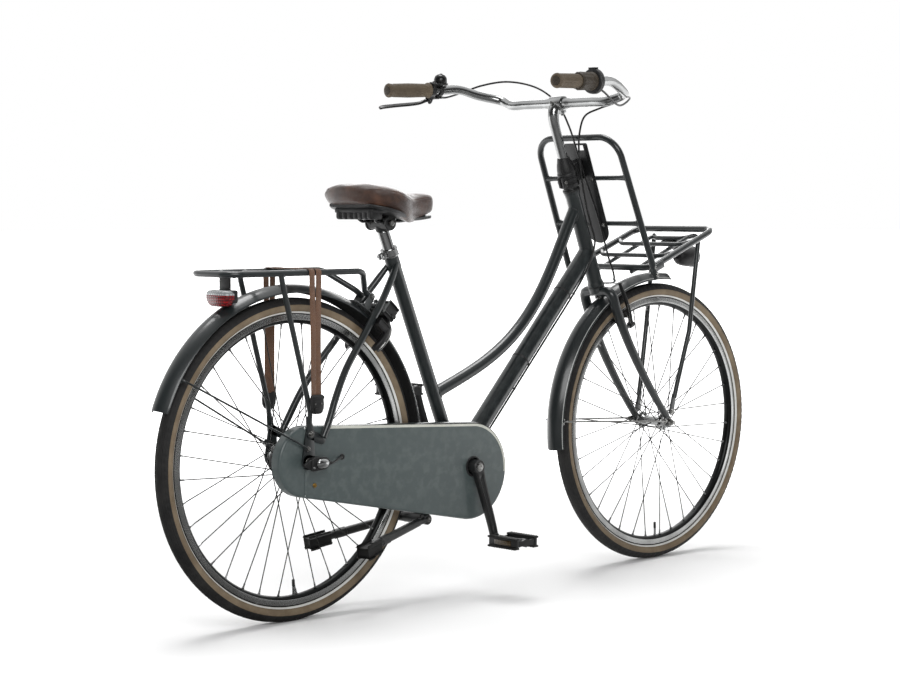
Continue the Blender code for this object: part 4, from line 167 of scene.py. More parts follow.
def curve_through(points: Sequence[Vector], steps: int = 6) -> list[Vector]:
    """Smooth path through points.

    Args:
        points: Places that the path passes.
        steps: Number of spans between two of them.

    Returns:
        Points along the path, both ends included.
    """
    path = [Vector(p) for p in points]
    padded = [2 * path[0] - path[1], *path, 2 * path[-1] - path[-2]]
    result = []
    for a, b, c, d in zip(padded, padded[1:], padded[2:], padded[3:]):
        knots = [0.0]
        for first, second in ((a, b), (b, c), (c, d)):
            knots.append(knots[-1] + max((second - first).length, 1e-6) ** 0.5)
        t0, t1, t2, t3 = knots
        for step in range(steps):
            t = t1 + (t2 - t1) * step / steps
            p = a.lerp(b, (t - t0) / (t1 - t0))
            q = b.lerp(c, (t - t1) / (t2 - t1))
            r = c.lerp(d, (t - t2) / (t3 - t2))
            s = p.lerp(q, (t - t0) / (t2 - t0))
            u = q.lerp(r, (t - t1) / (t3 - t1))
            result.append(s.lerp(u, (t - t1) / (t2 - t1)))
    result.append(path[-1])
    return result


def bent(points: Sequence[Vector], bend_radius: float, steps: int = 8) -> list[Vector]:
    """Path of straight runs with rounded corners.

    Args:
        points: Corners of the path.
        bend_radius: Radius of the bends, made smaller where a run is short.
        steps: Number of spans in a bend.

    Returns:
        Points along the path.
    """
    path = [Vector(p) for p in points]
    result = [path[0]]
    for before, corner, after in zip(path, path[1:], path[2:]):
        back = (before - corner).normalized()
        on = (after - corner).normalized()
        half = back.angle(on) / 2
        if half > math.pi / 2 - 1e-3:
            result.append(corner)
            continue
        reach = min(bend_radius / math.tan(half), 0.48 * min((before - corner).length, (after - corner).length))
        radius = reach * math.tan(half)
        centre = corner + (back + on).normalized() * radius / math.sin(half)
        start, end = corner + back * reach - centre, corner + on * reach - centre
        sweep = start.angle(end)
        for step in range(steps + 1):
            t = step / steps
            result.append(centre
                          + (math.sin((1 - t) * sweep) * start + math.sin(t * sweep) * end) / math.sin(sweep))
    result.append(path[-1])
    return result


def mirrored(points: Sequence[Vector]) -> list[Vector]:
    """The points on the bike's other side."""
    return [Vector((p.x, -p.y, p.z)) for p in points]


def both_sides(points: Sequence[Vector]) -> list[Vector]:
    """Path that runs along the points and back on the other side."""
    return list(points) + mirrored(points)[::-1]


def symmetric(half: Sequence[tuple[float, float]]) -> list[tuple[float, float]]:
    """Section of pairs, radius and height, whose second half mirrors the given one."""
    return [*half, *[(r, -h) for r, h in reversed(half)]]


def new_object(name: str, data: bpy.types.ID) -> bpy.types.Object:
    """Object of the given data, in the scene."""
    obj = bpy.data.objects.new(name, data)
    bpy.context.scene.collection.objects.link(obj)
    return obj


def mesh_of(name: str, verts: Sequence, faces: Sequence, smooth: float = 40.0) -> bpy.types.Object:
    """Object from corners and faces, with smooth shading below an angle.

    Args:
        name: Name of the piece.
        verts: Corners.
        faces: Lists of corner numbers.
        smooth: Edges sharper than this many degrees stay sharp.

    Returns:
        The new object.
    """
    mesh = bpy.data.meshes.new(name)
    mesh.from_pydata([tuple(v) for v in verts], [], [tuple(f) for f in faces])
    bm = bmesh.new()
    bm.from_mesh(mesh)
    bmesh.ops.recalc_face_normals(bm, faces=bm.faces)
    bm.to_mesh(mesh)
    bm.free()
    obj = new_object(name, mesh)
    soften(obj, smooth)
    return obj


def soften(obj: bpy.types.Object, degrees: float = 40.0) -> None:
    """Shade smooth below an edge angle."""
    mesh = obj.data
    mesh.shade_smooth()
    mesh.set_sharp_from_angle(angle=math.radians(degrees))


def rings_mesh(name: str, rings: Sequence[Sequence[Vector]], capped: bool = True, looped: bool = False,
               smooth: float = 40.0) -> bpy.types.Object:
    """Skin over rings of points.

    Args:
        name: Name of the piece.
        rings: Rings of equal count, in order.
        capped: Close both ends.
        looped: Join the last ring to the first.
        smooth: Edges sharper than this many degrees stay sharp.

    Returns:
        The new object.
    """
    count = len(rings[0])
    verts = [p for ring in rings for p in ring]
    faces = []
    last = len(rings) if looped else len(rings) - 1
    for i in range(last):
        for j in range(count):
            k = (j + 1) % count
            m = (i + 1) % len(rings)
            faces.append((i * count + j, i * count + k, m * count + k, m * count + j))
    if capped and not looped:
        faces.append(tuple(range(count)))
        faces.append(tuple((len(rings) - 1) * count + j for j in range(count)))
    return mesh_of(name, verts, faces, smooth)


def tube(name: str, points: Sequence[Vector], radius: float, sides: int = 20, shares: Sequence[float] | None = None,
         flat: Sequence[float] | None = None, up: Vector | None = None) -> bpy.types.Object:
    """Round or flattened tube along a path.

    Args:
        name: Name of the piece.
        points: Path.
        radius: Radius of the tube.
        sides: Number of sides of its section.
        shares: Share of the radius at each point.
        flat: Share of the section's height at each point, along the carried normal.
        up: First normal of the section.

    Returns:
        The new object.
    """
    path = [Vector(p) for p in points]
    tangents = []
    for i in range(len(path)):
        ahead = path[min(i + 1, len(path) - 1)] - path[max(i - 1, 0)]
        tangents.append(ahead.normalized())
    normal = up if up is not None else (Y_AXIS if abs(tangents[0].y) < 0.9 else Z_AXIS)
    rings = []
    for i, (place, along) in enumerate(zip(path, tangents)):
        normal = (normal - normal.dot(along) * along).normalized()
        other = along.cross(normal)
        r = radius * (shares[i] if shares else 1.0)
        squeeze = flat[i] if flat else 1.0
        ring = []
        for k in range(sides):
            a = 2 * math.pi * k / sides
            ring.append(place + r * (squeeze * math.cos(a) * normal + math.sin(a) * other))
        rings.append(ring)
    return rings_mesh(name, rings)


def rod(name: str, start: Vector, end: Vector, radius: float, sides: int = 20, end_radius: float | None = None,
        edge: float = 0.0) -> bpy.types.Object:
    """Round bar or cone with slightly broken edges.

    Args:
        name: Name of the piece.
        start: Centre of one end.
        end: Centre of the other end.
        radius: Radius at the start.
        sides: Number of sides.
        end_radius: Radius at the end, if another.
        edge: Size of the chamfer at both ends.

    Returns:
        The new object.
    """
    length = (end - start).length
    last = radius if end_radius is None else end_radius
    profile = [(radius, 0.0), (last, length)]
    if edge > 0:
        profile = [(radius - edge, 0.0), (radius, edge), (last, length - edge), (last - edge, length)]
    return lathe(name, profile, start, (end - start).normalized(), sides)


def lathe(name: str, profile: Sequence[tuple[float, float]], centre: Vector, axis: Vector, sides: int = 32,
          looped: bool = False, smooth: float = 35.0) -> bpy.types.Object:
    """Shape turned about an axis.

    Args:
        name: Name of the piece.
        profile: Pairs of radius and height along the axis.
        centre: Place of height zero.
        axis: Direction of the axis.
        sides: Number of sides.
        looped: The profile is a closed section, as of a ring.
        smooth: Edges sharper than this many degrees stay sharp.

    Returns:
        The new object.
    """
    along = axis.normalized()
    first = along.orthogonal().normalized() if abs(along.y) < 0.99 else X_AXIS.copy()
    second = along.cross(first)
    rings = []
    for radius, height in profile:
        ring = []
        for k in range(sides):
            a = 2 * math.pi * k / sides
            ring.append(centre + height * along + max(radius, 1e-5) * (math.cos(a) * first + math.sin(a) * second))
        rings.append(ring)
    return rings_mesh(name, rings, capped=not looped, looped=looped, smooth=smooth)


def block(name: str, centre: Vector, size: tuple[float, float, float], axes: Axes | None = None,
          edge: float = 0.001, segments: int = 3) -> bpy.types.Object:
    """Block with rounded edges.

    Args:
        name: Name of the piece.
        centre: Its middle.
        size: Its length along each of its axes.
        axes: Its axes, or the bike's.
        edge: Radius of its edges.
        segments: Steps in each rounded edge.

    Returns:
        The new object.
    """
    a, b, c = axes or (X_AXIS, Y_AXIS, Z_AXIS)
    bm = bmesh.new()
    bmesh.ops.create_cube(bm, size=1.0)
    turn = Matrix((a, b, c)).transposed()
    for vert in bm.verts:
        vert.co = centre + turn @ Vector([v * s for v, s in zip(vert.co, size)])
    if edge > 0:
        bmesh.ops.bevel(bm, geom=list(bm.edges), offset=edge, segments=segments, profile=0.5, affect="EDGES",
                        clamp_overlap=True)
    bmesh.ops.recalc_face_normals(bm, faces=bm.faces)
    mesh = bpy.data.meshes.new(name)
    bm.to_mesh(mesh)
    bm.free()
    obj = new_object(name, mesh)
    soften(obj, 30)
    return obj


def sheet_plate(name: str, outline: Sequence[tuple[float, float]], thickness: float, origin: Vector, across: Vector,
                up: Vector, holes: Sequence[Sequence[tuple[float, float]]] = (),
                edge: float = 0.0) -> bpy.types.Object:
    """Flat plate cut to an outline.

    Args:
        name: Name of the piece.
        outline: Corners as pairs across and up.
        thickness: Thickness, half to each side of the origin's plane.
        origin: Place of the pair (0, 0).
        across: First direction of the plane.
        up: Second direction of the plane.
        holes: Outlines cut out of the plate.
        edge: Radius of the rims.

    Returns:
        The new object.
    """
    curve = bpy.data.curves.new(name, "CURVE")
    curve.dimensions = "2D"
    curve.fill_mode = "BOTH"
    curve.extrude = max(thickness / 2 - edge, 1e-5)
    curve.bevel_depth = edge
    curve.bevel_resolution = 2 if edge > 0 else 0
    curve.offset = -edge
    for loop in (outline, *holes):
        spline = curve.splines.new("POLY")
        spline.points.add(len(loop) - 1)
        for index, (a, b) in enumerate(loop):
            spline.points[index].co = (a, b, 0, 1.0)
        spline.use_cyclic_u = True
    shape = new_object(name + "_outline", curve)
    turn = Matrix((across, up, across.cross(up))).transposed().to_4x4()
    bpy.context.view_layer.update()
    mesh = bpy.data.meshes.new_from_object(shape.evaluated_get(bpy.context.evaluated_depsgraph_get()))
    mesh.transform(Matrix.Translation(origin) @ turn)
    bpy.data.objects.remove(shape)
    bm = bmesh.new()
    bm.from_mesh(mesh)
    bmesh.ops.remove_doubles(bm, verts=bm.verts, dist=1e-6)
    bmesh.ops.recalc_face_normals(bm, faces=bm.faces)
    bm.to_mesh(mesh)
    bm.free()
    mesh.materials.clear()
    obj = new_object(name, mesh)
    soften(obj, 35)
    return obj


def bar_outline(start: tuple[float, float], end: tuple[float, float], start_radius: float, end_radius: float,
                steps: int = 14) -> list[tuple[float, float]]:
    """Outline of a bar with round ends, between two points of a plane."""
    dx, dy = end[0] - start[0], end[1] - start[1]
    angle = math.atan2(dy, dx)
    lean = math.acos(max(-1.0, min(1.0, (start_radius - end_radius) / math.hypot(dx, dy))))
    points = []
    for centre, radius, first, last in ((end, end_radius, angle - lean, angle + lean),
                                        (start, start_radius, angle + lean, angle - lean + 2 * math.pi)):
        for k in range(steps + 1):
            a = first + (last - first) * k / steps
            points.append((centre[0] + radius * math.cos(a), centre[1] + radius * math.sin(a)))
    return points


def upright_bar(name: str, start: Vector, end: Vector, start_radius: float, end_radius: float, thickness: float,
                side: float, edge: float = 0.0006) -> bpy.types.Object:
    """Upright plate shaped as a bar with round ends, at a distance to the left."""
    outline = bar_outline((start.x, start.z), (end.x, end.z), start_radius, end_radius)
    return sheet_plate(name, outline, thickness, Vector((0, side, 0)), X_AXIS, Z_AXIS, edge=edge)


def hex_bolt(name: str, place: Vector, axis: Vector, radius: float, height: float) -> bpy.types.Object:
    """Hexagon bolt head with a rounded crown, standing on a face."""
    along = axis.normalized()
    first = along.orthogonal().normalized()
    second = along.cross(first)
    rings = []
    for share, level in ((1.0, 0.0), (1.0, 0.72), (0.93, 0.9), (0.72, 1.0)):
        rings.append([place + level * height * along
                      + radius * share * (math.cos(a) * first + math.sin(a) * second)
                      for a in (2 * math.pi * k / 6 for k in range(6))])
    return rings_mesh(name, rings, smooth=20)


def socket_bolt(name: str, place: Vector, axis: Vector, radius: float, height: float) -> bpy.types.Object:
    """Round bolt head with a hexagon socket sunk in it."""
    along = axis.normalized()
    profile = [(radius, 0.0), (radius, height * 0.7), (radius * 0.86, height), (radius * 0.52, height),
               (radius * 0.5, height * 0.35)]
    return lathe(name, profile, place, along, 24, smooth=30)


def joined(name: str, objects: Sequence[bpy.types.Object]) -> bpy.types.Object:
    """One object of several shapes."""
    bm = bmesh.new()
    for obj in objects:
        bm.from_mesh(obj.data)
        bpy.data.objects.remove(obj)
    mesh = bpy.data.meshes.new(name)
    bm.to_mesh(mesh)
    bm.free()
    return new_object(name, mesh)


def turned_copy(obj: bpy.types.Object, centre: Vector, axis: Vector, degrees: float) -> bpy.types.Object:
    """Copy of a shape, turned about an axis."""
    copy = new_object(obj.name, obj.data.copy())
    turn = Matrix.Translation(centre) @ Matrix.Rotation(math.radians(degrees), 4,
                                                        axis) @ Matrix.Translation(-centre)
    copy.data.transform(turn)
    return copy


def weld(place: Vector, along: Vector, radius: float, trunk: Vector, trunk_along: Vector, trunk_radius: float,
         bead: float = 0.0022) -> bpy.types.Object:
    """Rippled weld where a tube meets a thicker one.

    Args:
        place: Point on the thinner tube's middle line, outside the thicker tube.
        along: Its direction towards the thicker tube.
        radius: Its radius.
        trunk: Point on the thicker tube's middle line.
        trunk_along: Direction of the thicker tube.
        trunk_radius: Its radius.
        bead: Radius of the weld.

    Returns:
        The weld as a closed ring.
    """
    along, trunk_along = along.normalized(), trunk_along.normalized()
    first = along.orthogonal().normalized()
    second = along.cross(first)
    count = 72
    middles = []
    for k in range(count):
        a = 2 * math.pi * k / count
        start = place + radius * (math.cos(a) * first + math.sin(a) * second)
        offset = start - trunk
        flat = offset - offset.dot(trunk_along) * trunk_along
        run = along - along.dot(trunk_along) * trunk_along
        qa, qb, qc = run.dot(run), 2 * flat.dot(run), flat.dot(flat) - trunk_radius ** 2
        root = max(qb * qb - 4 * qa * qc, 0.0)
        middles.append(start + along * ((-qb - math.sqrt(root)) / (2 * qa)))
    rings = []
    for k, middle in enumerate(middles):
        ahead = (middles[(k + 1) % count] - middles[k - 1]).normalized()
        out = along.cross(ahead).normalized()
        up = ahead.cross(out)
        size = bead * (0.9 + 0.14 * math.sin(k * 2 * math.pi / 4))
        rings.append([middle + size * (math.cos(b) * out + math.sin(b) * up)
                      for b in (2 * math.pi * j / 10 for j in range(10))])
    return rings_mesh("weld", rings, looped=True, smooth=80)


@dataclass
class Assembly:
    """Sub-assembly of the bike. Each kind adds its sizes and builds its pieces."""

    pieces: list[bpy.types.Object] = field(default_factory=list, kw_only=True)

    def build(self) -> list[bpy.types.Object]:
        """Make the pieces and return them."""
        raise NotImplementedError

    def add(self, shape: bpy.types.Object | Sequence[bpy.types.Object], name: str, finish: "Finish", body: str,
            *nodes: str) -> bpy.types.Object:
        """Dress a piece and let it move with a body.

        Args:
            shape: The piece, or the shapes that it is joined from.
            name: Its name.
            finish: Its finish.
            body: The body that it moves with.
            nodes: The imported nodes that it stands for.

        Returns:
            The piece.
        """
        obj = joined(name, [shape] if isinstance(shape, bpy.types.Object) else shape)
        finish.dress(obj)
        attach(obj, body)
        if nodes:
            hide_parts(*nodes)
        self.pieces.append(obj)
        return obj
# Finishes


Socket = bpy.types.NodeSocket
Shade = tuple[int, int, int]


def tone(shade: Shade) -> tuple[float, float, float, float]:
    """Linear colour of a shade given as it looks, each part from 0 to 255."""
    parts = [c / 255 for c in shade]
    return (*[c / 12.92 if c <= 0.04045 else ((c + 0.055) / 1.055) ** 2.4 for c in parts], 1.0)


class Recipe:
    """Node tree of one material, with short calls for the nodes that the finishes need."""

    def __init__(self, name: str) -> None:
        """Start a material of that name."""
        self.material = bpy.data.materials.new(name)
        self.material.use_nodes = True
        self.tree = self.material.node_tree
        self.shader = self.tree.nodes["Principled BSDF"]
        self.place = self.node("ShaderNodeTexCoord").outputs["Object"]

    def node(self, kind: str, feeds: dict | None = None, **settings: object) -> bpy.types.Node:
        """Node of a kind.

        Args:
            kind: Blender's name of the node type.
            feeds: Values or sockets for its inputs.
            settings: Its other settings.

        Returns:
            The new node.
        """
        made = self.tree.nodes.new(kind)
        for key, value in settings.items():
            setattr(made, key, value)
        for key, value in (feeds or {}).items():
            self.feed(made.inputs[key], value)
        return made

    def feed(self, entry: Socket, value: object) -> None:
        """Link a socket, or set a plain value."""
        if isinstance(value, bpy.types.NodeSocket):
            self.tree.links.new(value, entry)
        else:
            entry.default_value = value

    def stretched(self, x: float, y: float, z: float) -> Socket:
        """The place on the object, scaled along the bike's axes."""
        return self.node("ShaderNodeVectorMath", {0: self.place, 1: (x, y, z)}, operation="MULTIPLY").outputs[0]

    def noise(self, scale: float, detail: float = 3.0, rough: float = 0.5, place: Socket | None = None) -> Socket:
        """Cloudy pattern from 0 to 1."""
        feeds = {"Vector": place or self.place, "Scale": scale, "Detail": detail, "Roughness": rough}
        return self.node("ShaderNodeTexNoise", feeds).outputs["Fac"]

    def cells(self, scale: float, feature: str = "F1", place: Socket | None = None) -> Socket:
        """Distance in a pattern of cells."""
        return self.node("ShaderNodeTexVoronoi", {"Vector": place or self.place, "Scale": scale},
                         feature=feature).outputs["Distance"]

    def remap(self, value: Socket, low: float, high: float, to_low: float = 0.0, to_high: float = 1.0) -> Socket:
        """Value stretched from one range to another, held inside it."""
        return self.node("ShaderNodeMapRange", {"Value": value, "From Min": low, "From Max": high,
                                                "To Min": to_low, "To Max": to_high}).outputs["Result"]

    def calc(self, operation: str, first: object, second: object = 0.0) -> Socket:
        """Arithmetic on one or two values."""
        return self.node("ShaderNodeMath", {0: first, 1: second}, operation=operation).outputs[0]

    def mix(self, share: object, first: object, second: object) -> Socket:
        """Colour between two colours."""
        feeds = {0: share, 6: first, 7: second}
        return self.node("ShaderNodeMix", feeds, data_type="RGBA").outputs[2]

    def relief(self, height: Socket, distance: float, under: Socket | None = None) -> Socket:
        """Bump of a height in metres, on top of another."""
        feeds = {"Height": height, "Distance": distance, "Strength": 1.0}
        if under:
            feeds["Normal"] = under
        return self.node("ShaderNodeBump", feeds).outputs["Normal"]

    def edges(self, low: float = 0.52, high: float = 0.6) -> Socket:
        """Share that is 1 along outer edges."""
        return self.remap(self.node("ShaderNodeNewGeometry").outputs["Pointiness"], low, high)

    def split(self, place: Socket | None = None) -> tuple[Socket, Socket, Socket]:
        """The three parts of a place."""
        parts = self.node("ShaderNodeSeparateXYZ", {0: place or self.place}).outputs
        return parts[0], parts[1], parts[2]

    def put(self, **feeds: object) -> None:
        """Set the shader's inputs, named with underscores for spaces."""
        for key, value in feeds.items():
            self.feed(self.shader.inputs[key.replace("_", " ")], value)


@dataclass(frozen=True)
class Finish:
    """A surface finish. Each kind adds its own sizes and its node tree."""

    name: str
    slot: str

    def describe(self, recipe: Recipe) -> None:
        """Fill the material's node tree."""
        raise NotImplementedError

    def material(self) -> bpy.types.Material:
        """The finish's material, made at its first use."""
        known = bpy.data.materials.get("bike_" + self.name)
        if known is None:
            recipe = Recipe("bike_" + self.name)
            self.describe(recipe)
            known = recipe.material
        return known

    def dress(self, obj: bpy.types.Object) -> bpy.types.Object:
        """Give an object this finish all over."""
        obj.data.materials.clear()
        obj.data.materials.append(self.material())
        return obj


@dataclass(frozen=True)
class Paint(Finish):
    """Sprayed coat with a fine orange peel, faint clouding and thinner edges."""

    base: Shade = (25, 29, 30)
    pale: Shade = (29, 34, 35)
    edge: Shade = (60, 65, 65)
    gloss: float = 0.31
    coat: float = 0.45
    peel: float = 900.0
    depth: float = 0.00004

    def describe(self, recipe: Recipe) -> None:
        """Fill the material's node tree."""
        cloud = recipe.noise(7.0, 4.0)
        speck = recipe.noise(420.0, 2.0)
        colour = recipe.mix(recipe.remap(cloud, 0.3, 0.7), tone(self.base), tone(self.pale))
        colour = recipe.mix(recipe.remap(speck, 0.55, 0.8, 0.0, 0.1), colour, tone(self.edge))
        worn = recipe.calc("MULTIPLY", recipe.edges(0.53, 0.64),
                           recipe.remap(recipe.noise(60.0), 0.45, 0.65, 0.0, 0.6))
        colour = recipe.mix(worn, colour, tone(self.edge))
        rough = recipe.remap(recipe.noise(9.0, 4.0), 0.25, 0.75, self.gloss - 0.01, self.gloss + 0.015)
        recipe.put(Base_Color=colour, Roughness=rough,
                   Normal=recipe.relief(recipe.noise(self.peel, 1.0), self.depth))
        recipe.put(Coat_Weight=self.coat, Coat_Roughness=0.13)


@dataclass(frozen=True)
class Metal(Finish):
    """Bare metal, polished or drawn, with fine lines, a little dulling, and a painted dark reflection where the
    surface turns from the view.
    """

    base: Shade = (176, 177, 177)
    dull: Shade = (146, 147, 147)
    gloss: float = 0.16
    lines: tuple[float, float, float] = (90.0, 900.0, 900.0)
    depth: float = 0.000015
    # Share of the painted dark reflection, near black, where the surface turns from the view.
    rim: float = 0.85

    def describe(self, recipe: Recipe) -> None:
        """Fill the material's node tree."""
        drawn = recipe.noise(1.0, 3.0, 0.6, recipe.stretched(*self.lines))
        cloud = recipe.noise(18.0, 4.0)
        colour = recipe.mix(recipe.remap(cloud, 0.4, 0.75), tone(self.base), tone(self.dull))
        # Painted dark reflection: the colour is pulled towards near black where the surface turns away from the
        # view.
        turned = recipe.node("ShaderNodeLayerWeight", {"Blend": 0.5}).outputs["Facing"]
        colour = recipe.mix(recipe.remap(turned, 0.45, 0.92, 0.0, self.rim), colour, tone((18, 18, 19)))
        rough = recipe.calc("ADD", recipe.remap(drawn, 0.3, 0.7, self.gloss - 0.05, self.gloss + 0.06),
                            recipe.remap(cloud, 0.45, 0.8, 0.0, 0.09))
        recipe.put(Base_Color=colour, Roughness=rough, Metallic=1.0, Normal=recipe.relief(drawn, self.depth))


@dataclass(frozen=True)
class Moulded(Finish):
    """Moulded plastic or powder coat with a pebbled grain."""

    base: Shade = (15, 15, 16)
    pale: Shade = (25, 25, 26)
    gloss: float = 0.45
    grain: float = 1400.0
    depth: float = 0.00007

    def describe(self, recipe: Recipe) -> None:
        """Fill the material's node tree."""
        pebble = recipe.cells(self.grain)
        cloud = recipe.noise(30.0, 4.0)
        colour = recipe.mix(recipe.remap(cloud, 0.3, 0.75), tone(self.base), tone(self.pale))
        worn = recipe.calc("MULTIPLY", recipe.edges(0.53, 0.62), 0.35)
        colour = recipe.mix(worn, colour, tone(tuple(min(255, c + 32) for c in self.pale)))
        rough = recipe.remap(recipe.noise(55.0, 5.0), 0.25, 0.75, self.gloss - 0.06, self.gloss + 0.09)
        recipe.put(Base_Color=colour, Roughness=rough, Normal=recipe.relief(pebble, self.depth))


@dataclass(frozen=True)
class Rubber(Finish):
    """Tyre or grip rubber, dusty in places and scuffed by use."""

    base: Shade = (22, 22, 22)
    pale: Shade = (38, 37, 36)
    gloss: float = 0.68
    grain: float = 700.0
    depth: float = 0.0001

    def describe(self, recipe: Recipe) -> None:
        """Fill the material's node tree."""
        grain = recipe.noise(self.grain, 2.0, 0.6)
        cloud = recipe.noise(22.0, 6.0, 0.62)
        fine = recipe.noise(260.0, 3.0)
        colour = recipe.mix(recipe.remap(cloud, 0.35, 0.7), tone(self.base), tone(self.pale))
        colour = recipe.mix(recipe.remap(fine, 0.5, 0.8, 0.0, 0.3), colour, tone(self.pale))
        rough = recipe.remap(cloud, 0.3, 0.7, self.gloss - 0.08, self.gloss + 0.08)
        recipe.put(Base_Color=colour, Roughness=rough, Normal=recipe.relief(grain, self.depth))
        recipe.put(Specular_IOR_Level=0.35)


@dataclass(frozen=True)
class Leather(Finish):
    """Brown cover with a cell grain, fine creases and paler rubbed places."""

    base: Shade = (66, 43, 32)
    dark: Shade = (42, 27, 21)
    rubbed: Shade = (98, 66, 49)
    gloss: float = 0.32
    grain: float = 520.0
    depth: float = 0.00022

    def describe(self, recipe: Recipe) -> None:
        """Fill the material's node tree."""
        drift = recipe.node("ShaderNodeTexNoise", {"Scale": 160.0, "Vector": recipe.place}).outputs["Color"]
        drift = recipe.node("ShaderNodeVectorMath", {0: drift, 1: (0.0022, 0.0022, 0.0022)},
                            operation="MULTIPLY").outputs[0]
        warped = recipe.node("ShaderNodeVectorMath", {0: recipe.place, 1: drift}, operation="ADD").outputs[0]
        cells = recipe.cells(self.grain, "DISTANCE_TO_EDGE", warped)
        large = recipe.cells(self.grain * 0.36, "DISTANCE_TO_EDGE", warped)
        pits = recipe.calc("ADD", recipe.remap(cells, 0.0, 0.22), recipe.remap(large, 0.0, 0.08, 0.0, 0.6))
        cloud = recipe.noise(13.0, 5.0, 0.6)
        colour = recipe.mix(recipe.remap(cloud, 0.3, 0.7), tone(self.dark), tone(self.base))
        colour = recipe.mix(recipe.remap(recipe.noise(30.0, 4.0), 0.52, 0.72, 0.0, 0.55), colour, tone(self.rubbed))
        colour = recipe.mix(recipe.remap(cells, 0.0, 0.12, 0.45, 0.0), colour, tone(self.dark))
        rough = recipe.remap(cloud, 0.3, 0.75, self.gloss + 0.08, self.gloss - 0.06)
        creases = recipe.relief(recipe.noise(46.0, 4.0, 0.7), 0.0007)
        recipe.put(Base_Color=colour, Roughness=rough, Normal=recipe.relief(pits, self.depth, creases))
        recipe.put(Coat_Weight=0.18, Coat_Roughness=0.3)


@dataclass(frozen=True)
class Webbing(Finish):
    """Woven band: ribs across it and a twill of threads, laid out by the band's own map in metres."""

    base: Shade = (112, 71, 40)
    dark: Shade = (56, 35, 18)
    pale: Shade = (144, 99, 60)
    rib: float = 0.0016
    thread: float = 0.0011

    def describe(self, recipe: Recipe) -> None:
        """Fill the material's node tree."""
        across, along, _ = recipe.split(recipe.node("ShaderNodeUVMap").outputs[0])
        row = recipe.calc("MULTIPLY", along, 1 / self.rib)
        shift = recipe.calc("MULTIPLY", recipe.calc("FLOOR", row), 0.5)
        warp = recipe.calc("ADD", recipe.calc("MULTIPLY", across, 1 / self.thread), shift)
        waves = [recipe.calc("ABSOLUTE", recipe.calc("SINE", recipe.calc("MULTIPLY", v, math.pi)))
                 for v in (row, warp)]
        weave = recipe.calc("MULTIPLY", *waves)
        fuzz = recipe.noise(1800.0, 3.0, 0.7)
        colour = recipe.mix(recipe.remap(weave, 0.0, 0.7), tone(self.dark), tone(self.base))
        colour = recipe.mix(recipe.remap(fuzz, 0.5, 0.75, 0.0, 0.5), colour, tone(self.pale))
        colour = recipe.mix(recipe.remap(recipe.noise(40.0, 4.0), 0.45, 0.75, 0.0, 0.35), colour, tone(self.dark))
        height = recipe.relief(fuzz, 0.00008, recipe.relief(weave, 0.00045))
        recipe.put(Base_Color=colour, Roughness=recipe.remap(fuzz, 0.3, 0.7, 0.72, 0.88), Normal=height)
        recipe.put(Sheen_Weight=0.25, Sheen_Roughness=0.45)


@dataclass(frozen=True)
class Lens(Finish):
    """Tinted clear plastic with small prisms behind its face."""

    base: Shade = (132, 12, 18)
    deep: Shade = (62, 3, 7)
    clear: float = 0.06
    gloss: float = 0.1
    prism: float = 320.0
    depth: float = 0.0006

    def describe(self, recipe: Recipe) -> None:
        """Fill the material's node tree."""
        x, y, z = recipe.split()
        steps = [recipe.calc("PINGPONG", recipe.calc("MULTIPLY", v, self.prism), 1.0)
                 for v in (recipe.calc("ADD", x, y), z)]
        facets = recipe.calc("MULTIPLY", *steps)
        colour = recipe.mix(recipe.remap(facets, 0.0, 0.8), tone(self.deep), tone(self.base))
        colour = recipe.mix(recipe.remap(recipe.noise(70.0), 0.5, 0.8, 0.0, 0.3), colour, tone(self.deep))
        rough = recipe.remap(recipe.noise(90.0), 0.3, 0.7, self.gloss * 0.6, self.gloss * 1.6)
        recipe.put(Base_Color=colour, Roughness=rough, Normal=recipe.relief(facets, self.depth))
        recipe.put(Transmission_Weight=self.clear, IOR=1.49, Coat_Weight=0.6, Coat_Roughness=0.04)


FRAME_PAINT = Paint("frame_paint", "frame_paint")
CASE_PAINT = Paint("case_paint", "case_paint", (66, 75, 75), (69, 78, 78), (92, 101, 100), 0.34, 0.25, 800.0,
                   0.00002)
TRIM = Paint("cream_trim", "case_paint", (176, 178, 168), (190, 191, 182), (210, 210, 202), 0.3, 0.3)
EDGE_LINE = Paint("guard_line", "frame_paint", (150, 152, 150), (166, 168, 166), (190, 191, 188), 0.3, 0.2)
BLACK_METAL = Moulded("black_metal", "black_metal", (17, 17, 18), (26, 27, 27), 0.36, 2200.0, 0.00003)
GREY_METAL = Moulded("grey_metal", "steel", (58, 60, 60), (78, 80, 80), 0.34, 2200.0, 0.00002)
GLOSS_METAL = Moulded("gloss_metal", "black_metal", (14, 14, 15), (20, 21, 21), 0.24, 2600.0, 0.00001)
POLISHED = Metal("polished_alloy", "polished")
SILVER = Metal("silver_alloy", "polished", (162, 163, 163), (132, 133, 133), 0.26, (400.0, 400.0, 400.0), 0.00002)
STEEL = Metal("steel", "steel", (156, 156, 154), (112, 111, 109), 0.24, (500.0, 500.0, 500.0), 0.00002)
BRASS = Metal("brass", "steel", (196, 164, 98), (150, 118, 64), 0.28, (500.0, 500.0, 500.0), 0.00002)
BRAKE_TRACK = Metal("rim_track", "rim_metal", (178, 179, 178), (152, 153, 152), 0.25, (700.0, 90.0, 700.0), 0.00003)
RIM_METAL = Metal("rim_metal", "rim_metal", (44, 45, 45), (32, 33, 33), 0.34, (500.0, 120.0, 500.0), 0.00002)
SPOKE_METAL = Metal("spoke_metal", "steel", (66, 67, 66), (48, 49, 48), 0.34, (300.0, 300.0, 300.0), 0.00001)
BLACK_PLASTIC = Moulded("black_plastic", "black_plastic")
GLOSS_PLASTIC = Moulded("gloss_plastic", "black_plastic", (13, 13, 14), (20, 21, 21), 0.22, 2600.0, 0.00001)
GREY_PLASTIC = Moulded("grey_plastic", "black_plastic", (96, 98, 98), (116, 118, 118), 0.4)
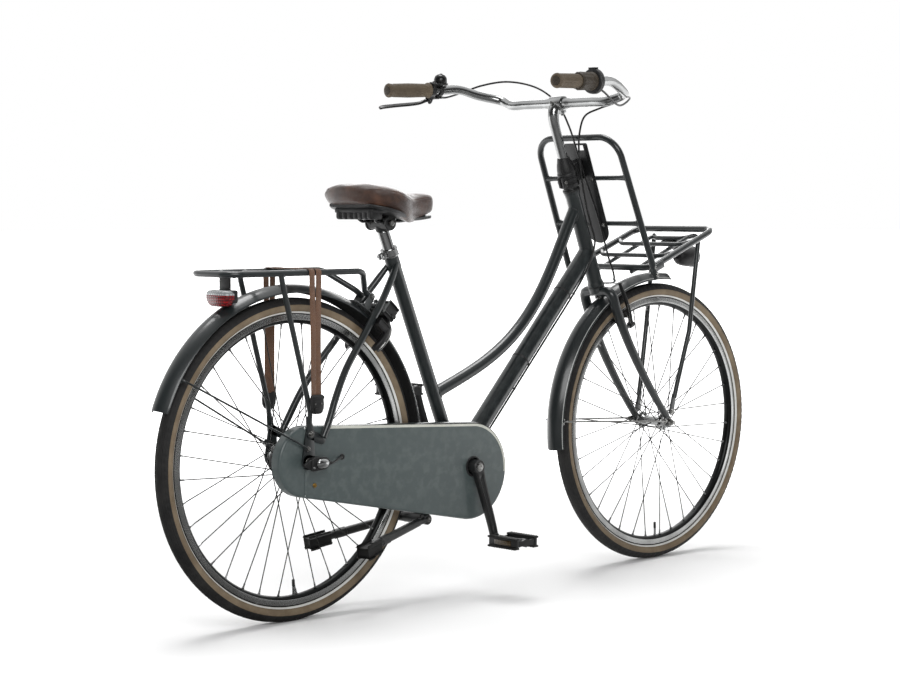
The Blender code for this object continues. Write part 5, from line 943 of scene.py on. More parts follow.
CABLE_SLEEVE = Moulded("cable_sleeve", "black_plastic", (15, 15, 15), (24, 24, 24), 0.34, 1800.0, 0.00002)
TREAD = Rubber("tyre_tread", "tyre")
SIDEWALL = Rubber("tyre_sidewall", "tyre", (98, 84, 66), (124, 110, 90), 0.62, 900.0, 0.00008)
WALL_STRIPE = Rubber("tyre_stripe", "tyre", (196, 196, 192), (216, 216, 212), 0.35, 900.0, 0.00003)
JOINT_BAND = Rubber("tyre_joint", "tyre", (34, 33, 31), (48, 46, 43), 0.6)
LEATHER = Leather("saddle_cover", "leather")
GRIP_RUBBER = Rubber("grip_rubber", "grip", (72, 62, 49), (90, 79, 64), 0.62, 1200.0, 0.00009)
PLUG_RUBBER = Rubber("plug_rubber", "grip", (46, 40, 32), (62, 54, 44), 0.6, 1400.0, 0.00005)
THREAD = Rubber("seam_thread", "leather", (74, 52, 40), (110, 84, 66), 0.6, 3000.0, 0.00003)
PEDAL_RUBBER = Rubber("pedal_rubber", "black_plastic", (18, 18, 18), (30, 30, 29), 0.6)
# Dark matte finish for the sheet inside the guards: painted shade on their undersides.
PAINTED_SHADE = Rubber("painted_shade_sheet", "frame_paint", (14, 14, 14), (24, 24, 23), 0.75)
WEBBING = Webbing("strap_webbing", "webbing")
RED_LENS = Lens("red_lens", "red_lens")
CLEAR_LENS = Lens("clear_lens", "clear_lens", (196, 199, 199), (126, 130, 132), 0.25, 0.05, 260.0, 0.0004)
AMBER = Lens("amber_reflector", "red_lens", (86, 66, 26), (48, 36, 14), 0.15, 0.12, 420.0, 0.0004)
BRIGHT_BOWL = Metal("lamp_bowl", "polished", (228, 229, 228), (206, 207, 206), 0.06, (200.0, 200.0, 200.0),
                    0.000005)



# Wheels


@dataclass
class Wheel(Assembly):
    """Laced wheel: tyre, rim, thirty-six crossed spokes, hub and valve."""

    name: str
    centre: Vector
    phase: float
    hub_profile: tuple[tuple[float, float], ...]
    flange_radius: float
    flange_sides: tuple[float, float]
    hub_finish: Finish
    tyre_radius: float = 0.3503
    section_middle: float = 0.3318
    section_half: float = 0.0199
    rim_edge: float = 0.3142
    rim_inner: float = 0.2945
    rim_half: float = 0.0124
    spokes: int = 36
    spoke_radius: float = 0.0012
    lacing: float = math.radians(60)
    lane: float = 0.0012
    valve_degrees: float = -88.0
    tread_blocks: int = 132

    def build(self) -> list[bpy.types.Object]:
        """Make the pieces and return them."""
        body = self.name + "_wheel"
        self.tyre(body)
        self.rim(body)
        self.lace(body)
        self.hub(body)
        self.valve(body)
        return self.pieces

    def section(self, degrees: float, lift: float = 0.0) -> tuple[float, float]:
        """Point of the tyre's skin by its angle from the crown, as radius and side."""
        a = math.radians(degrees)
        tall = self.tyre_radius - self.section_middle
        return self.section_middle + (tall + lift) * math.cos(a), (self.section_half + lift) * math.sin(a)

    def band(self, name: str, start: float, end: float, steps: int, lift: float = 0.0) -> bpy.types.Object:
        """Strip of the tyre's wall on both sides, between two angles from the crown."""
        shapes = []
        for side in Side:
            outer = [self.section(start + (end - start) * k / steps, lift) for k in range(steps + 1)]
            inner = [self.section(start + (end - start) * k / steps, -0.0012) for k in range(steps, -1, -1)]
            loop = [(r, y * side.value) for r, y in outer + inner]
            shapes.append(lathe(name, loop, self.centre, Y_AXIS, 192, looped=True, smooth=50))
        return joined(name, shapes)

    def tyre(self, body: str) -> None:
        """Tread with cut blocks, brown wall with fine ribs, pale stripe and dark joint."""
        rings = []
        lows = (40, 62, 74)
        for k in range(4 * self.tread_blocks):
            a = 2 * math.pi * k / (4 * self.tread_blocks)
            notch = k % 4 >= 3
            ring = []
            for degrees in range(-82, 83, 4):
                r, y = self.section(degrees)
                cut = 0.0
                if abs(degrees) in (14, 34, 54):
                    cut = 0.0009
                elif notch and lows[0] < abs(degrees) < lows[2]:
                    cut = 0.0011
                elif notch and abs(degrees) < 30 and (degrees > 0) == (k % 8 < 4):
                    cut = 0.0007
                r -= cut * math.cos(math.radians(degrees))
                y -= math.copysign(cut * abs(math.sin(math.radians(degrees))), y)
                ring.append(self.centre + Vector((r * math.cos(a), y, r * math.sin(a))))
            inner = 0.3165
            ring.append(self.centre + Vector((inner * math.cos(a), 0.012, inner * math.sin(a))))
            ring.append(self.centre + Vector((inner * math.cos(a), -0.012, inner * math.sin(a))))
            rings.append(ring)
        tread = rings_mesh("tread", rings, looped=True, smooth=28)
        self.add(tread, self.name + "_tread", TREAD, body, self.name + "_tyre")
        ribs = [self.band("rib", s, s + 1.4, 2, 0.0004) for s in (84.0, 121.0, 124.5)]
        self.add([self.band("wall", 80, 128, 12, 0.0001), *ribs], self.name + "_sidewall", SIDEWALL, body)
        self.add(self.band("stripe", 127, 143, 4, 0.0002), self.name + "_stripe", WALL_STRIPE, body)
        self.add(self.band("joint", 142.5, 163, 4, -0.0002), self.name + "_bead", JOINT_BAND, body)

    def rim(self, body: str) -> None:
        """Rim with flat brake tracks, a rounded back and a row of eyelets."""
        edge, inner, half = self.rim_edge, self.rim_inner, self.rim_half
        tracks = []
        for side in Side:
            s = side.value
            loop = [(edge, s * (half - 0.0016)), (edge, s * (half - 0.0003)), (edge - 0.0006, s * half),
                    (0.3028, s * half), (0.3022, s * (half - 0.0004)), (0.3022, s * (half - 0.0018))]
            tracks.append(lathe("track", loop, self.centre, Y_AXIS, 192, looped=True, smooth=30))
        self.add(tracks, self.name + "_brake_track", BRAKE_TRACK, body)
        back = symmetric([(0.3115, half - 0.002), (0.3024, half - 0.0006), (0.2995, half - 0.0016),
                          (0.2968, half - 0.0042), (inner + 0.0004, half - 0.0078), (inner, 0.0025)])
        shapes = [lathe("back", back, self.centre, Y_AXIS, 192, looped=True, smooth=40)]
        eyelet = [(0.0036, 0.0), (0.0036, 0.0006), (0.0029, 0.0011), (0.0022, 0.0006), (0.0022, 0.0)]
        for index in range(self.spokes):
            _, out = self.rim_direction(index)
            aside = self.lane_at(index) + self.side_at(index) * 0.0015
            place = self.centre + (inner + 0.0003) * out + Vector((0, aside, 0))
            shapes.append(lathe("eyelet", eyelet, place, -out, 14))
        self.add(shapes, self.name + "_rim_back", RIM_METAL, body, self.name + "_rim")

    def side_at(self, index: int) -> int:
        """Side of a spoke's flange."""
        return 1 if index % 2 == 0 else -1

    def slant_at(self, index: int) -> int:
        """Way that a spoke slants round the hub."""
        return 1 if (index // 2) % 2 == 0 else -1

    def lane_at(self, index: int) -> float:
        """How far a spoke is set aside to pass the one that it crosses."""
        return self.slant_at(index) * self.lane

    def rim_direction(self, index: int) -> tuple[float, Vector]:
        """Angle and direction of a spoke's place at the rim."""
        angle = self.phase + 2 * math.pi * index / self.spokes
        return angle, Vector((math.cos(angle), 0.0, math.sin(angle)))

    def lace(self, body: str) -> None:
        """Spokes with their elbows and heads, and the nipples at the rim."""
        wires, nipples = [], []
        for index in range(self.spokes):
            angle, out = self.rim_direction(index)
            side, lane = self.side_at(index), self.lane_at(index)
            hub_angle = angle + self.slant_at(index) * self.lacing
            reach = self.flange_radius - 0.004
            flange = side * self.flange_sides[0 if side > 0 else 1]
            head = self.centre + Vector((reach * math.cos(hub_angle), flange + lane, reach * math.sin(hub_angle)))
            foot = self.centre + (self.rim_inner - 0.0003) * out + Vector((0, side * 0.0015 + lane, 0))
            run = (foot - head).normalized()
            slant = self.slant_at(index)
            elbow = [head - Vector((0, slant * 0.0034, 0)), head - Vector((0, slant * 0.0006, 0)),
                     head + 0.0016 * run, foot]
            wires.append(tube("wire", elbow, self.spoke_radius, 8))
            wires.append(rod("head", head - Vector((0, slant * 0.0031, 0)), head - Vector((0, slant * 0.0042, 0)),
                             0.0021, 10))
            collar = [(0.001, 0.0), (0.0019, 0.0006), (0.002, 0.0085), (0.0026, 0.0092), (0.0027, 0.0118),
                      (0.0012, 0.0122)]
            nipples.append(lathe("nipple", collar, foot - 0.012 * run, run, 8))
        self.add(wires, self.name + "_spokes", SPOKE_METAL, body)
        self.add(nipples, self.name + "_nipples", SILVER, body)

    def hub(self, body: str) -> None:
        """Turned hub shell with rounded flanges and a pattern of fine steps."""
        shell = lathe("shell", self.hub_profile, self.centre, Y_AXIS, 64, looped=True, smooth=30)
        shapes = [shell]
        for side, flange in zip((1, -1), self.flange_sides):
            ring = []
            for k in range(9):
                a = 2 * math.pi * k / 9
                ring.append((self.flange_radius - 0.0002 + 0.0016 * math.cos(a),
                             side * flange + 0.0017 * math.sin(a)))
            shapes.append(lathe("lip", ring, self.centre, Y_AXIS, 64, looped=True, smooth=60))
        self.add(shapes, self.name + "_hub_shell", self.hub_finish, body, self.name + "_hub")

    def valve(self, body: str) -> None:
        """Valve stem with its nut and black cap."""
        a = math.radians(self.valve_degrees)
        out = Vector((math.cos(a), 0.0, math.sin(a)))
        foot = self.centre + (self.rim_inner + 0.001) * out
        stem = [(0.0038, 0.0), (0.0038, 0.003), (0.003, 0.0032)]
        stem += [(0.003 + 0.0002 * (k % 2), 0.0034 + 0.0009 * k) for k in range(16)]
        stem += [(0.0026, 0.0185), (0.0026, 0.02)]
        self.add(lathe("stem", stem, foot, -out, 20), self.name + "_valve_stem", SILVER, body)
        cap = [(0.0031, 0.0), (0.0033, 0.001), (0.0033, 0.0135), (0.0028, 0.015), (0.0012, 0.0158)]
        ribs = lathe("cap", cap, foot - 0.0188 * out, -out, 12, smooth=20)
        self.add(ribs, self.name + "_valve_cap", BLACK_PLASTIC, body)


def rear_hub_profile() -> tuple[tuple[float, float], ...]:
    """Section of the gear hub's shell, as radius and side."""
    left, right = 0.0335, 0.0295
    return ((0.0056, left + 0.013), (0.0235, left + 0.013), (0.0245, left + 0.012), (0.0268, left + 0.0065),
            (0.0285, left + 0.004), (0.0325, left + 0.0018), (0.0325, left - 0.0015), (0.0278, left - 0.006),
            (0.0268, left - 0.009), (0.0266, 0.012), (0.0272, 0.01), (0.0272, -0.006), (0.0266, -0.008),
            (0.0268, -right + 0.009), (0.0278, -right + 0.006), (0.0325, -right + 0.0015),
            (0.0325, -right - 0.0018), (0.0215, -right - 0.0038), (0.02, -right - 0.005), (0.0056, -right - 0.005))


def front_hub_profile() -> tuple[tuple[float, float], ...]:
    """Section of the front hub's shell, as radius and side."""
    return tuple(symmetric([(0.0056, 0.045), (0.0095, 0.045), (0.0102, 0.0442), (0.0112, 0.0405), (0.0132, 0.0375),
                 (0.015, 0.036), (0.0195, 0.0354), (0.0195, 0.0326), (0.015, 0.0315), (0.0122, 0.027),
                 (0.0114, 0.02), (0.011, 0.008)]))


@dataclass
class AxleSet(Assembly):
    """Axle with its nuts, washers and locknuts, held in two dropouts."""

    name: str
    centre: Vector
    body: str
    dropout: float
    radius: float = 0.005
    plate: float = 0.005

    def build(self) -> list[bpy.types.Object]:
        """Make the pieces and return them."""
        outer = self.dropout + self.plate + 0.0003
        rod_end = outer + 0.0158
        thread = []
        count = 70
        for k in range(count + 1):
            y = -rod_end + 2 * rod_end * k / count
            thread.append((self.radius - 0.0002 - 0.0003 * (k % 2), y))
        shapes = [lathe("axle", thread, self.centre, Y_AXIS, 24, smooth=60)]
        for side in Side:
            s = side.value
            face = self.centre + s * outer * Y_AXIS
            shapes.append(rod("washer", face, face + s * 0.0014 * Y_AXIS, 0.0096, 28, edge=0.0003))
            shapes.append(hex_bolt("nut", face + s * 0.0014 * Y_AXIS, s * Y_AXIS, 0.0087, 0.0078))
            inner = self.centre + s * (self.dropout - 0.0003) * Y_AXIS
            shapes.append(rod("locknut", inner, inner - s * 0.0044 * Y_AXIS, 0.0095, 6, edge=0.0004))
        self.add(shapes, self.name + "_set", STEEL, self.body, self.name)
        return self.pieces


# Frame and steering


@dataclass
class MainFrame(Assembly):
    """Welded step-through frame with stays, dropouts, bridges and cable clips."""

    head_length: float = 0.25
    head_radius: float = 0.018
    seat_length: float = 0.524
    seat_radius: float = 0.0158
    top_radius: float = 0.0143
    top_on_seat: float = 0.18
    top_on_head: float = 0.209
    top_bow: float = 0.0815
    down_radius: float = 0.0215
    down_on_head: float = 0.09
    chainstay_radius: float = 0.0085
    seat_stay_radius: float = 0.008
    shell_radius: float = 0.02
    shell_half: float = 0.034
    dropout_side: float = 0.0605
    plate: float = 0.005
    bridge_share: float = 0.205

    def build(self) -> list[bpy.types.Object]:
        """Make the pieces and return them."""
        tubes = [*self.main_tubes(), *self.stays(), *self.dropouts(), *self.welds()]
        self.add(tubes, "frame_tubes", FRAME_PAINT, "frame", "main_frame")
        self.head_set()
        self.cable_clips()
        return self.pieces

    def top_tube_path(self, count: int = 56) -> list[Vector]:
        """Middle line of the bowed upper tube."""
        start = LAYOUT.bracket + self.top_on_seat * LAYOUT.seat_up
        end = LAYOUT.steering(self.top_on_head, 0)
        chord = end - start
        below = Vector((chord.z, 0.0, -chord.x)).normalized()
        path = []
        for k in range(count + 1):
            t = k / count
            bow = self.top_bow * math.sin(math.pi * t ** 0.95) ** 1.15 if 0 < k < count else 0.0
            path.append(start + t * chord + bow * below)
        return path

    def chainstay_path(self, side: int) -> list[Vector]:
        """Middle line of a chainstay."""
        stations = [(0.0, 0.026), (0.15, 0.0325), (0.4, 0.0335), (0.62, 0.0385), (0.8, 0.047), (0.9, 0.056),
                    (0.955, self.dropout_side + 0.002)]
        return curve_through([LAYOUT.bracket.lerp(LAYOUT.rear_axle, share) + Vector((0, side * aside, 0))
                              for share, aside in stations], 6)

    def seat_stay_points(self, side: int) -> list[Vector]:
        """Stations of a seat stay."""
        top = LAYOUT.bracket + (self.seat_length - 0.017) * LAYOUT.seat_up
        foot = LAYOUT.rear_axle + Vector((0.036, 0, 0.052))
        beside = 0.0275 + self.seat_stay_radius + 0.002
        stations = [(0.0, 0.0, 0.012), (0.09, 0.0, 0.0215), (0.26, 0.004, beside - 0.002), (0.33, 0.006, beside),
                    (0.47, 0.01, beside + 0.005), (0.64, 0.016, 0.0505), (0.8, 0.012, 0.061),
                    (0.92, 0.004, 0.068), (1.0, 0.0, self.dropout_side + 0.0095)]
        line = foot - top
        out = Vector((line.z, 0.0, -line.x)).normalized()
        return [top + share * line + bow * out + Vector((0, side * aside, 0)) for share, bow, aside in stations]

    def main_tubes(self) -> list[bpy.types.Object]:
        """Head, top, down and seat tubes and the bracket's shell."""
        bb, up = LAYOUT.bracket, LAYOUT.seat_up
        half = self.shell_half
        head = [(0.0205, 0.003), (0.0205, 0.008), (0.0188, 0.0125), (self.head_radius, 0.016),
                (self.head_radius, self.head_length - 0.012), (0.0188, self.head_length - 0.008),
                (0.02, self.head_length - 0.004), (0.02, self.head_length)]
        seat = [(self.seat_radius, 0.0), (self.seat_radius, self.seat_length - 0.03),
                (self.seat_radius + 0.0009, self.seat_length - 0.027),
                (self.seat_radius + 0.0009, self.seat_length - 0.0006),
                (self.seat_radius + 0.0003, self.seat_length)]
        shell = symmetric([(0.0178, -half), (self.shell_radius - 0.0006, -half),
                           (self.shell_radius, -half + 0.0006)])
        return [lathe("head", head, LAYOUT.steer_base, LAYOUT.steer_up, 48),
                tube("top_tube", self.top_tube_path(), self.top_radius, 36),
                rod("down_tube", bb, LAYOUT.steering(self.down_on_head, 0), self.down_radius, 48),
                lathe("seat_tube", seat, bb, up, 40), lathe("shell", shell, bb, Y_AXIS, 48)]

    def stays(self) -> list[bpy.types.Object]:
        """Chainstays, seat stays with pinched ends, and their bridges."""
        shapes = []
        for side in (1, -1):
            low = self.chainstay_path(side)
            flat = [1.0 if k < len(low) - 7 else 1.0 - 0.09 * (k - len(low) + 8) for k in range(len(low))]
            shapes.append(tube("chainstay", low, self.chainstay_radius, 28, flat=flat, up=Y_AXIS))
            high = curve_through(self.seat_stay_points(side), 6)
            taper = [min(1.0, 0.72 + 0.045 * k) if k < 8 else 1.0 for k in range(len(high))]
            taper = [t if k < len(high) - 5 else 0.94 for k, t in enumerate(taper)]
            shapes.append(tube("seat_stay", high, self.seat_stay_radius, 28, taper))
            cap = high[0]
            shapes.append(self.ball(cap, self.seat_stay_radius * 0.74))
        bridge = [self.seat_stay_points(side)[2] for side in (1, -1)]
        shapes.append(rod("bridge", *bridge, 0.006, 24))
        low = [LAYOUT.bracket.lerp(LAYOUT.rear_axle, self.bridge_share) + Vector((0, side * 0.03, 0))
               for side in (1, -1)]
        shapes.append(rod("bridge", *low, 0.006, 24))
        return shapes

    def ball(self, centre: Vector, radius: float) -> bpy.types.Object:
        """Rounded end of a tube."""
        profile = [(radius * math.cos(a), radius * math.sin(a))
                   for a in (math.pi * k / 12 - math.pi / 2 for k in range(13))]
        return lathe("cap", profile, centre, Z_AXIS, 20, smooth=80)

    def dropouts(self) -> list[bpy.types.Object]:
        """Plates that hold the rear axle, with rounded rims and a lug for the carrier."""
        shapes = []
        axle = LAYOUT.rear_axle
        ear, low = axle + Vector((0.004, 0, 0.06)), axle + Vector((0.05, 0, -0.005))
        for side in (1, -1):
            middle = side * (self.dropout_side + self.plate / 2)
            for start, end, first, last in ((axle, ear, 0.017, 0.011), (axle, low, 0.0165, 0.01),
                                            (ear, axle + Vector((0.038, 0, 0.045)), 0.0112, 0.009)):
                shapes.append(upright_bar("dropout", start, end, first, last, self.plate, middle, 0.0009))
        return shapes

    def welds(self) -> list[bpy.types.Object]:
        """Weld beads at the joints of the tubes."""
        bb, up = LAYOUT.bracket, LAYOUT.seat_up
        path = self.top_tube_path()
        head = (LAYOUT.steer_base, LAYOUT.steer_up, self.head_radius)
        seat = (bb, up, self.seat_radius)
        shapes = [weld(path[-4], path[-1] - path[-2], self.top_radius, *head),
                  weld(path[3], path[0] - path[1], self.top_radius, *seat)]
        down = LAYOUT.steering(self.down_on_head, 0) - bb
        shapes.append(weld(bb + 0.86 * down, down, self.down_radius * 0.82, *head, 0.0026))
        shapes.append(weld(bb + 0.2 * down, -down, self.down_radius * 0.9, bb, Y_AXIS, self.shell_radius, 0.0024))
        shapes.append(weld(bb + 0.1 * up, -up, self.seat_radius, bb, Y_AXIS, self.shell_radius))
        for side in (1, -1):
            stay = self.seat_stay_points(side)
            high = stay[2]
            shapes.append(weld(Vector((high.x, side * 0.006, high.z)), Vector((0, side, 0)), 0.006, high,
                               stay[2] - stay[1], self.seat_stay_radius, 0.0014))
        return shapes

    def head_set(self) -> None:
        """Cups and rings of the steering bearings."""
        low = [(0.015, 0.0008), (0.0208, 0.0008), (0.0216, 0.0018), (0.0216, 0.0032), (0.0196, 0.0042),
               (0.015, 0.0042)]
        top = self.head_length
        high = [(0.015, top), (0.0204, top), (0.021, top + 0.001), (0.021, top + 0.0056), (0.0202, top + 0.0068),
                (0.018, top + 0.0078), (0.0174, top + 0.0098), (0.015, top + 0.01)]
        shapes = [lathe("cup", profile, LAYOUT.steer_base, LAYOUT.steer_up, 48, looped=True)
                  for profile in (low, high)]
        self.add(shapes, "head_cups", BLACK_METAL, "frame")

    def cable_clips(self) -> None:
        """Small bands that hold the cable below the down tube."""
        top, bb = LAYOUT.steering(self.down_on_head, 0), LAYOUT.bracket
        along = (bb - top).normalized()
        shapes = []
        for share in (0.2, 0.52, 0.84):
            middle = top.lerp(bb, share)
            band = symmetric([(self.down_radius - 0.0004, -0.0022), (self.down_radius + 0.0006, -0.0022),
                    (self.down_radius + 0.001, -0.0012)])
            shapes.append(lathe("clip", band, middle, along, 48, looped=True))
        self.add(shapes, "cable_bands", BLACK_PLASTIC, "frame")


@dataclass
class Fork(Assembly):
    """Fork with curved, tapering blades, a bolted crown and brake bosses."""

    blade_radius: float = 0.0125
    tip_radius: float = 0.0085
    crown_half: float = 0.045
    steerer_radius: float = 0.0143
    steerer_top: float = 0.312
    dropout_side: float = 0.05
    plate: float = 0.005
    boss_up: float = -0.118
    boss_ahead: float = 0.026
    boss_side: float = 0.0435

    def build(self) -> list[bpy.types.Object]:
        """Make the pieces and return them."""
        self.add([*self.blades(), *self.dropouts(), *self.bosses()], "fork_blades", FRAME_PAINT, "steering", "fork")
        steerer = rod("steerer", LAYOUT.steering(-0.012, 0), LAYOUT.steering(self.steerer_top, 0),
                      self.steerer_radius, 40)
        locknut = [(0.0146, 0.2606), (0.0188, 0.2606), (0.0192, 0.2612), (0.0192, 0.2638), (0.0186, 0.2642),
                   (0.0146, 0.2642)]
        self.add([steerer, lathe("locknut", locknut, LAYOUT.steer_base, LAYOUT.steer_up, 6, looped=True)],
                 "steerer_tube", BLACK_METAL, "steering")
        bolt = LAYOUT.steering(-0.0225, self.blade_radius - 0.0004)
        self.add([rod("washer", bolt, bolt + 0.0016 * LAYOUT.steer_ahead, 0.0075, 24, edge=0.0003),
                  hex_bolt("bolt", bolt + 0.0016 * LAYOUT.steer_ahead, LAYOUT.steer_ahead, 0.0056, 0.0048)],
                 "crown_bolt", STEEL, "steering")
        return self.pieces

    def blade_path(self, side: int, steps: int = 30) -> list[Vector]:
        """Middle line of a blade from the crown's shoulder to the dropout."""
        tip = LAYOUT.fork_length - 0.0196
        points = [LAYOUT.steering(up, 0.0, side * aside)
                  for up, aside in ((-0.0135, self.crown_half - 0.012), (-0.0165, self.crown_half - 0.0045),
                                    (-0.023, self.crown_half), (-0.032, self.crown_half + 0.0015),
                                    (-0.042, self.crown_half + 0.002))]
        for k in range(1, steps + 1):
            share = k / steps
            points.append(LAYOUT.steering(-0.042 - (tip - 0.042) * share,
                                          (LAYOUT.fork_rake - 0.0045) * share ** 1.7,
                                          side * (self.crown_half + 0.002 + 0.0065 * share)))
        return points

    def blades(self) -> list[bpy.types.Object]:
        """Both blades with the crown between them, as one bent tube."""
        left, right = self.blade_path(1), self.blade_path(-1)
        path = right[::-1] + [LAYOUT.steering(-0.0125, 0, 0)] + left
        low = self.tip_radius / self.blade_radius
        taper = [1.0] * 5 + [1.0 - (1 - low) * (k + 1) / 30 for k in range(30)]
        race = [(0.0145, -0.012), (0.02, -0.012), (0.02, -0.004), (0.0206, -0.003), (0.0206, 0.0003),
                (0.0145, 0.0003)]
        return [tube("blades", path, self.blade_radius, 32, taper[::-1] + [1.0] + taper),
                lathe("race", race, LAYOUT.steer_base, LAYOUT.steer_up, 48, looped=True),
                weld(LAYOUT.steering(-0.001, 0), -LAYOUT.steer_up, 0.0185, LAYOUT.steering(-0.0128, 0), Y_AXIS,
                     self.blade_radius + 0.0004, 0.0016)]

    def dropouts(self) -> list[bpy.types.Object]:
        """Plates that hold the front axle."""
        tip = self.blade_path(1)[-1]
        return [upright_bar("dropout", LAYOUT.front_axle, Vector((tip.x, 0, tip.z)), 0.012, 0.0085, self.plate,
                            side * (self.dropout_side + self.plate / 2), 0.0009) for side in (1, -1)]

    def bosses(self) -> list[bpy.types.Object]:
        """Studs that the brake arms turn on."""
        shapes = []
        for side in (1, -1):
            boss = LAYOUT.steering(self.boss_up, self.boss_ahead, side * self.boss_side)
            shapes.append(rod("boss", boss - 0.022 * LAYOUT.steer_ahead, boss - 0.001 * LAYOUT.steer_ahead, 0.0062,
                              24))
            shapes.append(rod("stud", boss - 0.002 * LAYOUT.steer_ahead, boss + 0.0118 * LAYOUT.steer_ahead, 0.0039,
                              20))
        return shapes


@dataclass
class Stem(Assembly):
    """Polished quill with a forged head, a clamp round the bar and its bolts."""

    radius: float = 0.0118
    height: float = 0.464
    reach: float = 0.03
    foot: float = 0.197
    clamp_radius: float = 0.0175
    clamp_half: float = 0.021

    def build(self) -> list[bpy.types.Object]:
        """Make the pieces and return them."""
        up = self.height
        route = [LAYOUT.steering(self.foot, 0), LAYOUT.steering(0.312, 0), LAYOUT.steering(up - 0.058, 0),
                 LAYOUT.steering(up - 0.04, 0.0006), LAYOUT.steering(up - 0.024, 0.004),
                 LAYOUT.steering(up - 0.01, 0.0115), LAYOUT.steering(up - 0.003, 0.0215)]
        path = route[:2] + curve_through(route[2:], 6)
        shares = [1.0, 1.0] + [1.0 + 0.16 * min(1.0, k / 18) for k in range(len(path) - 2)]
        clamp = LAYOUT.steering(up, self.reach)
        half, r = self.clamp_half, self.clamp_radius
        barrel = symmetric([(0.0128, -half), (r - 0.0018, -half), (r - 0.0004, -half + 0.0008),
                            (r, -half + 0.0026)])
        lug = block("lug", LAYOUT.steering(up - 0.0195, self.reach + 0.006), (0.0135, 0.02, 0.017),
                    LAYOUT.steer_axes, 0.0035, 4)
        self.add([tube("quill", path, self.radius, 40, shares),
                  lathe("barrel", barrel, clamp, Y_AXIS, 56, looped=True, smooth=40), lug], "stem_body", POLISHED,
                 "steering", "stem")
        bolts = [socket_bolt("clamp_bolt", LAYOUT.steering(up - 0.0275, self.reach + 0.006), -LAYOUT.steer_up,
                             0.0048, 0.0042),
                 socket_bolt("top_bolt", LAYOUT.steering(up + 0.0085, 0.0085), LAYOUT.steer_up, 0.0062, 0.004)]
        slot = block("slot", clamp - 0.0176 * LAYOUT.steer_ahead - 0.0001 * LAYOUT.steer_up, (0.0012, 0.04, 0.0018),
                     LAYOUT.steer_axes, 0.0003)
        bolts.append(slot)
        self.add(bolts, "stem_bolts", STEEL, "steering")
        return self.pieces


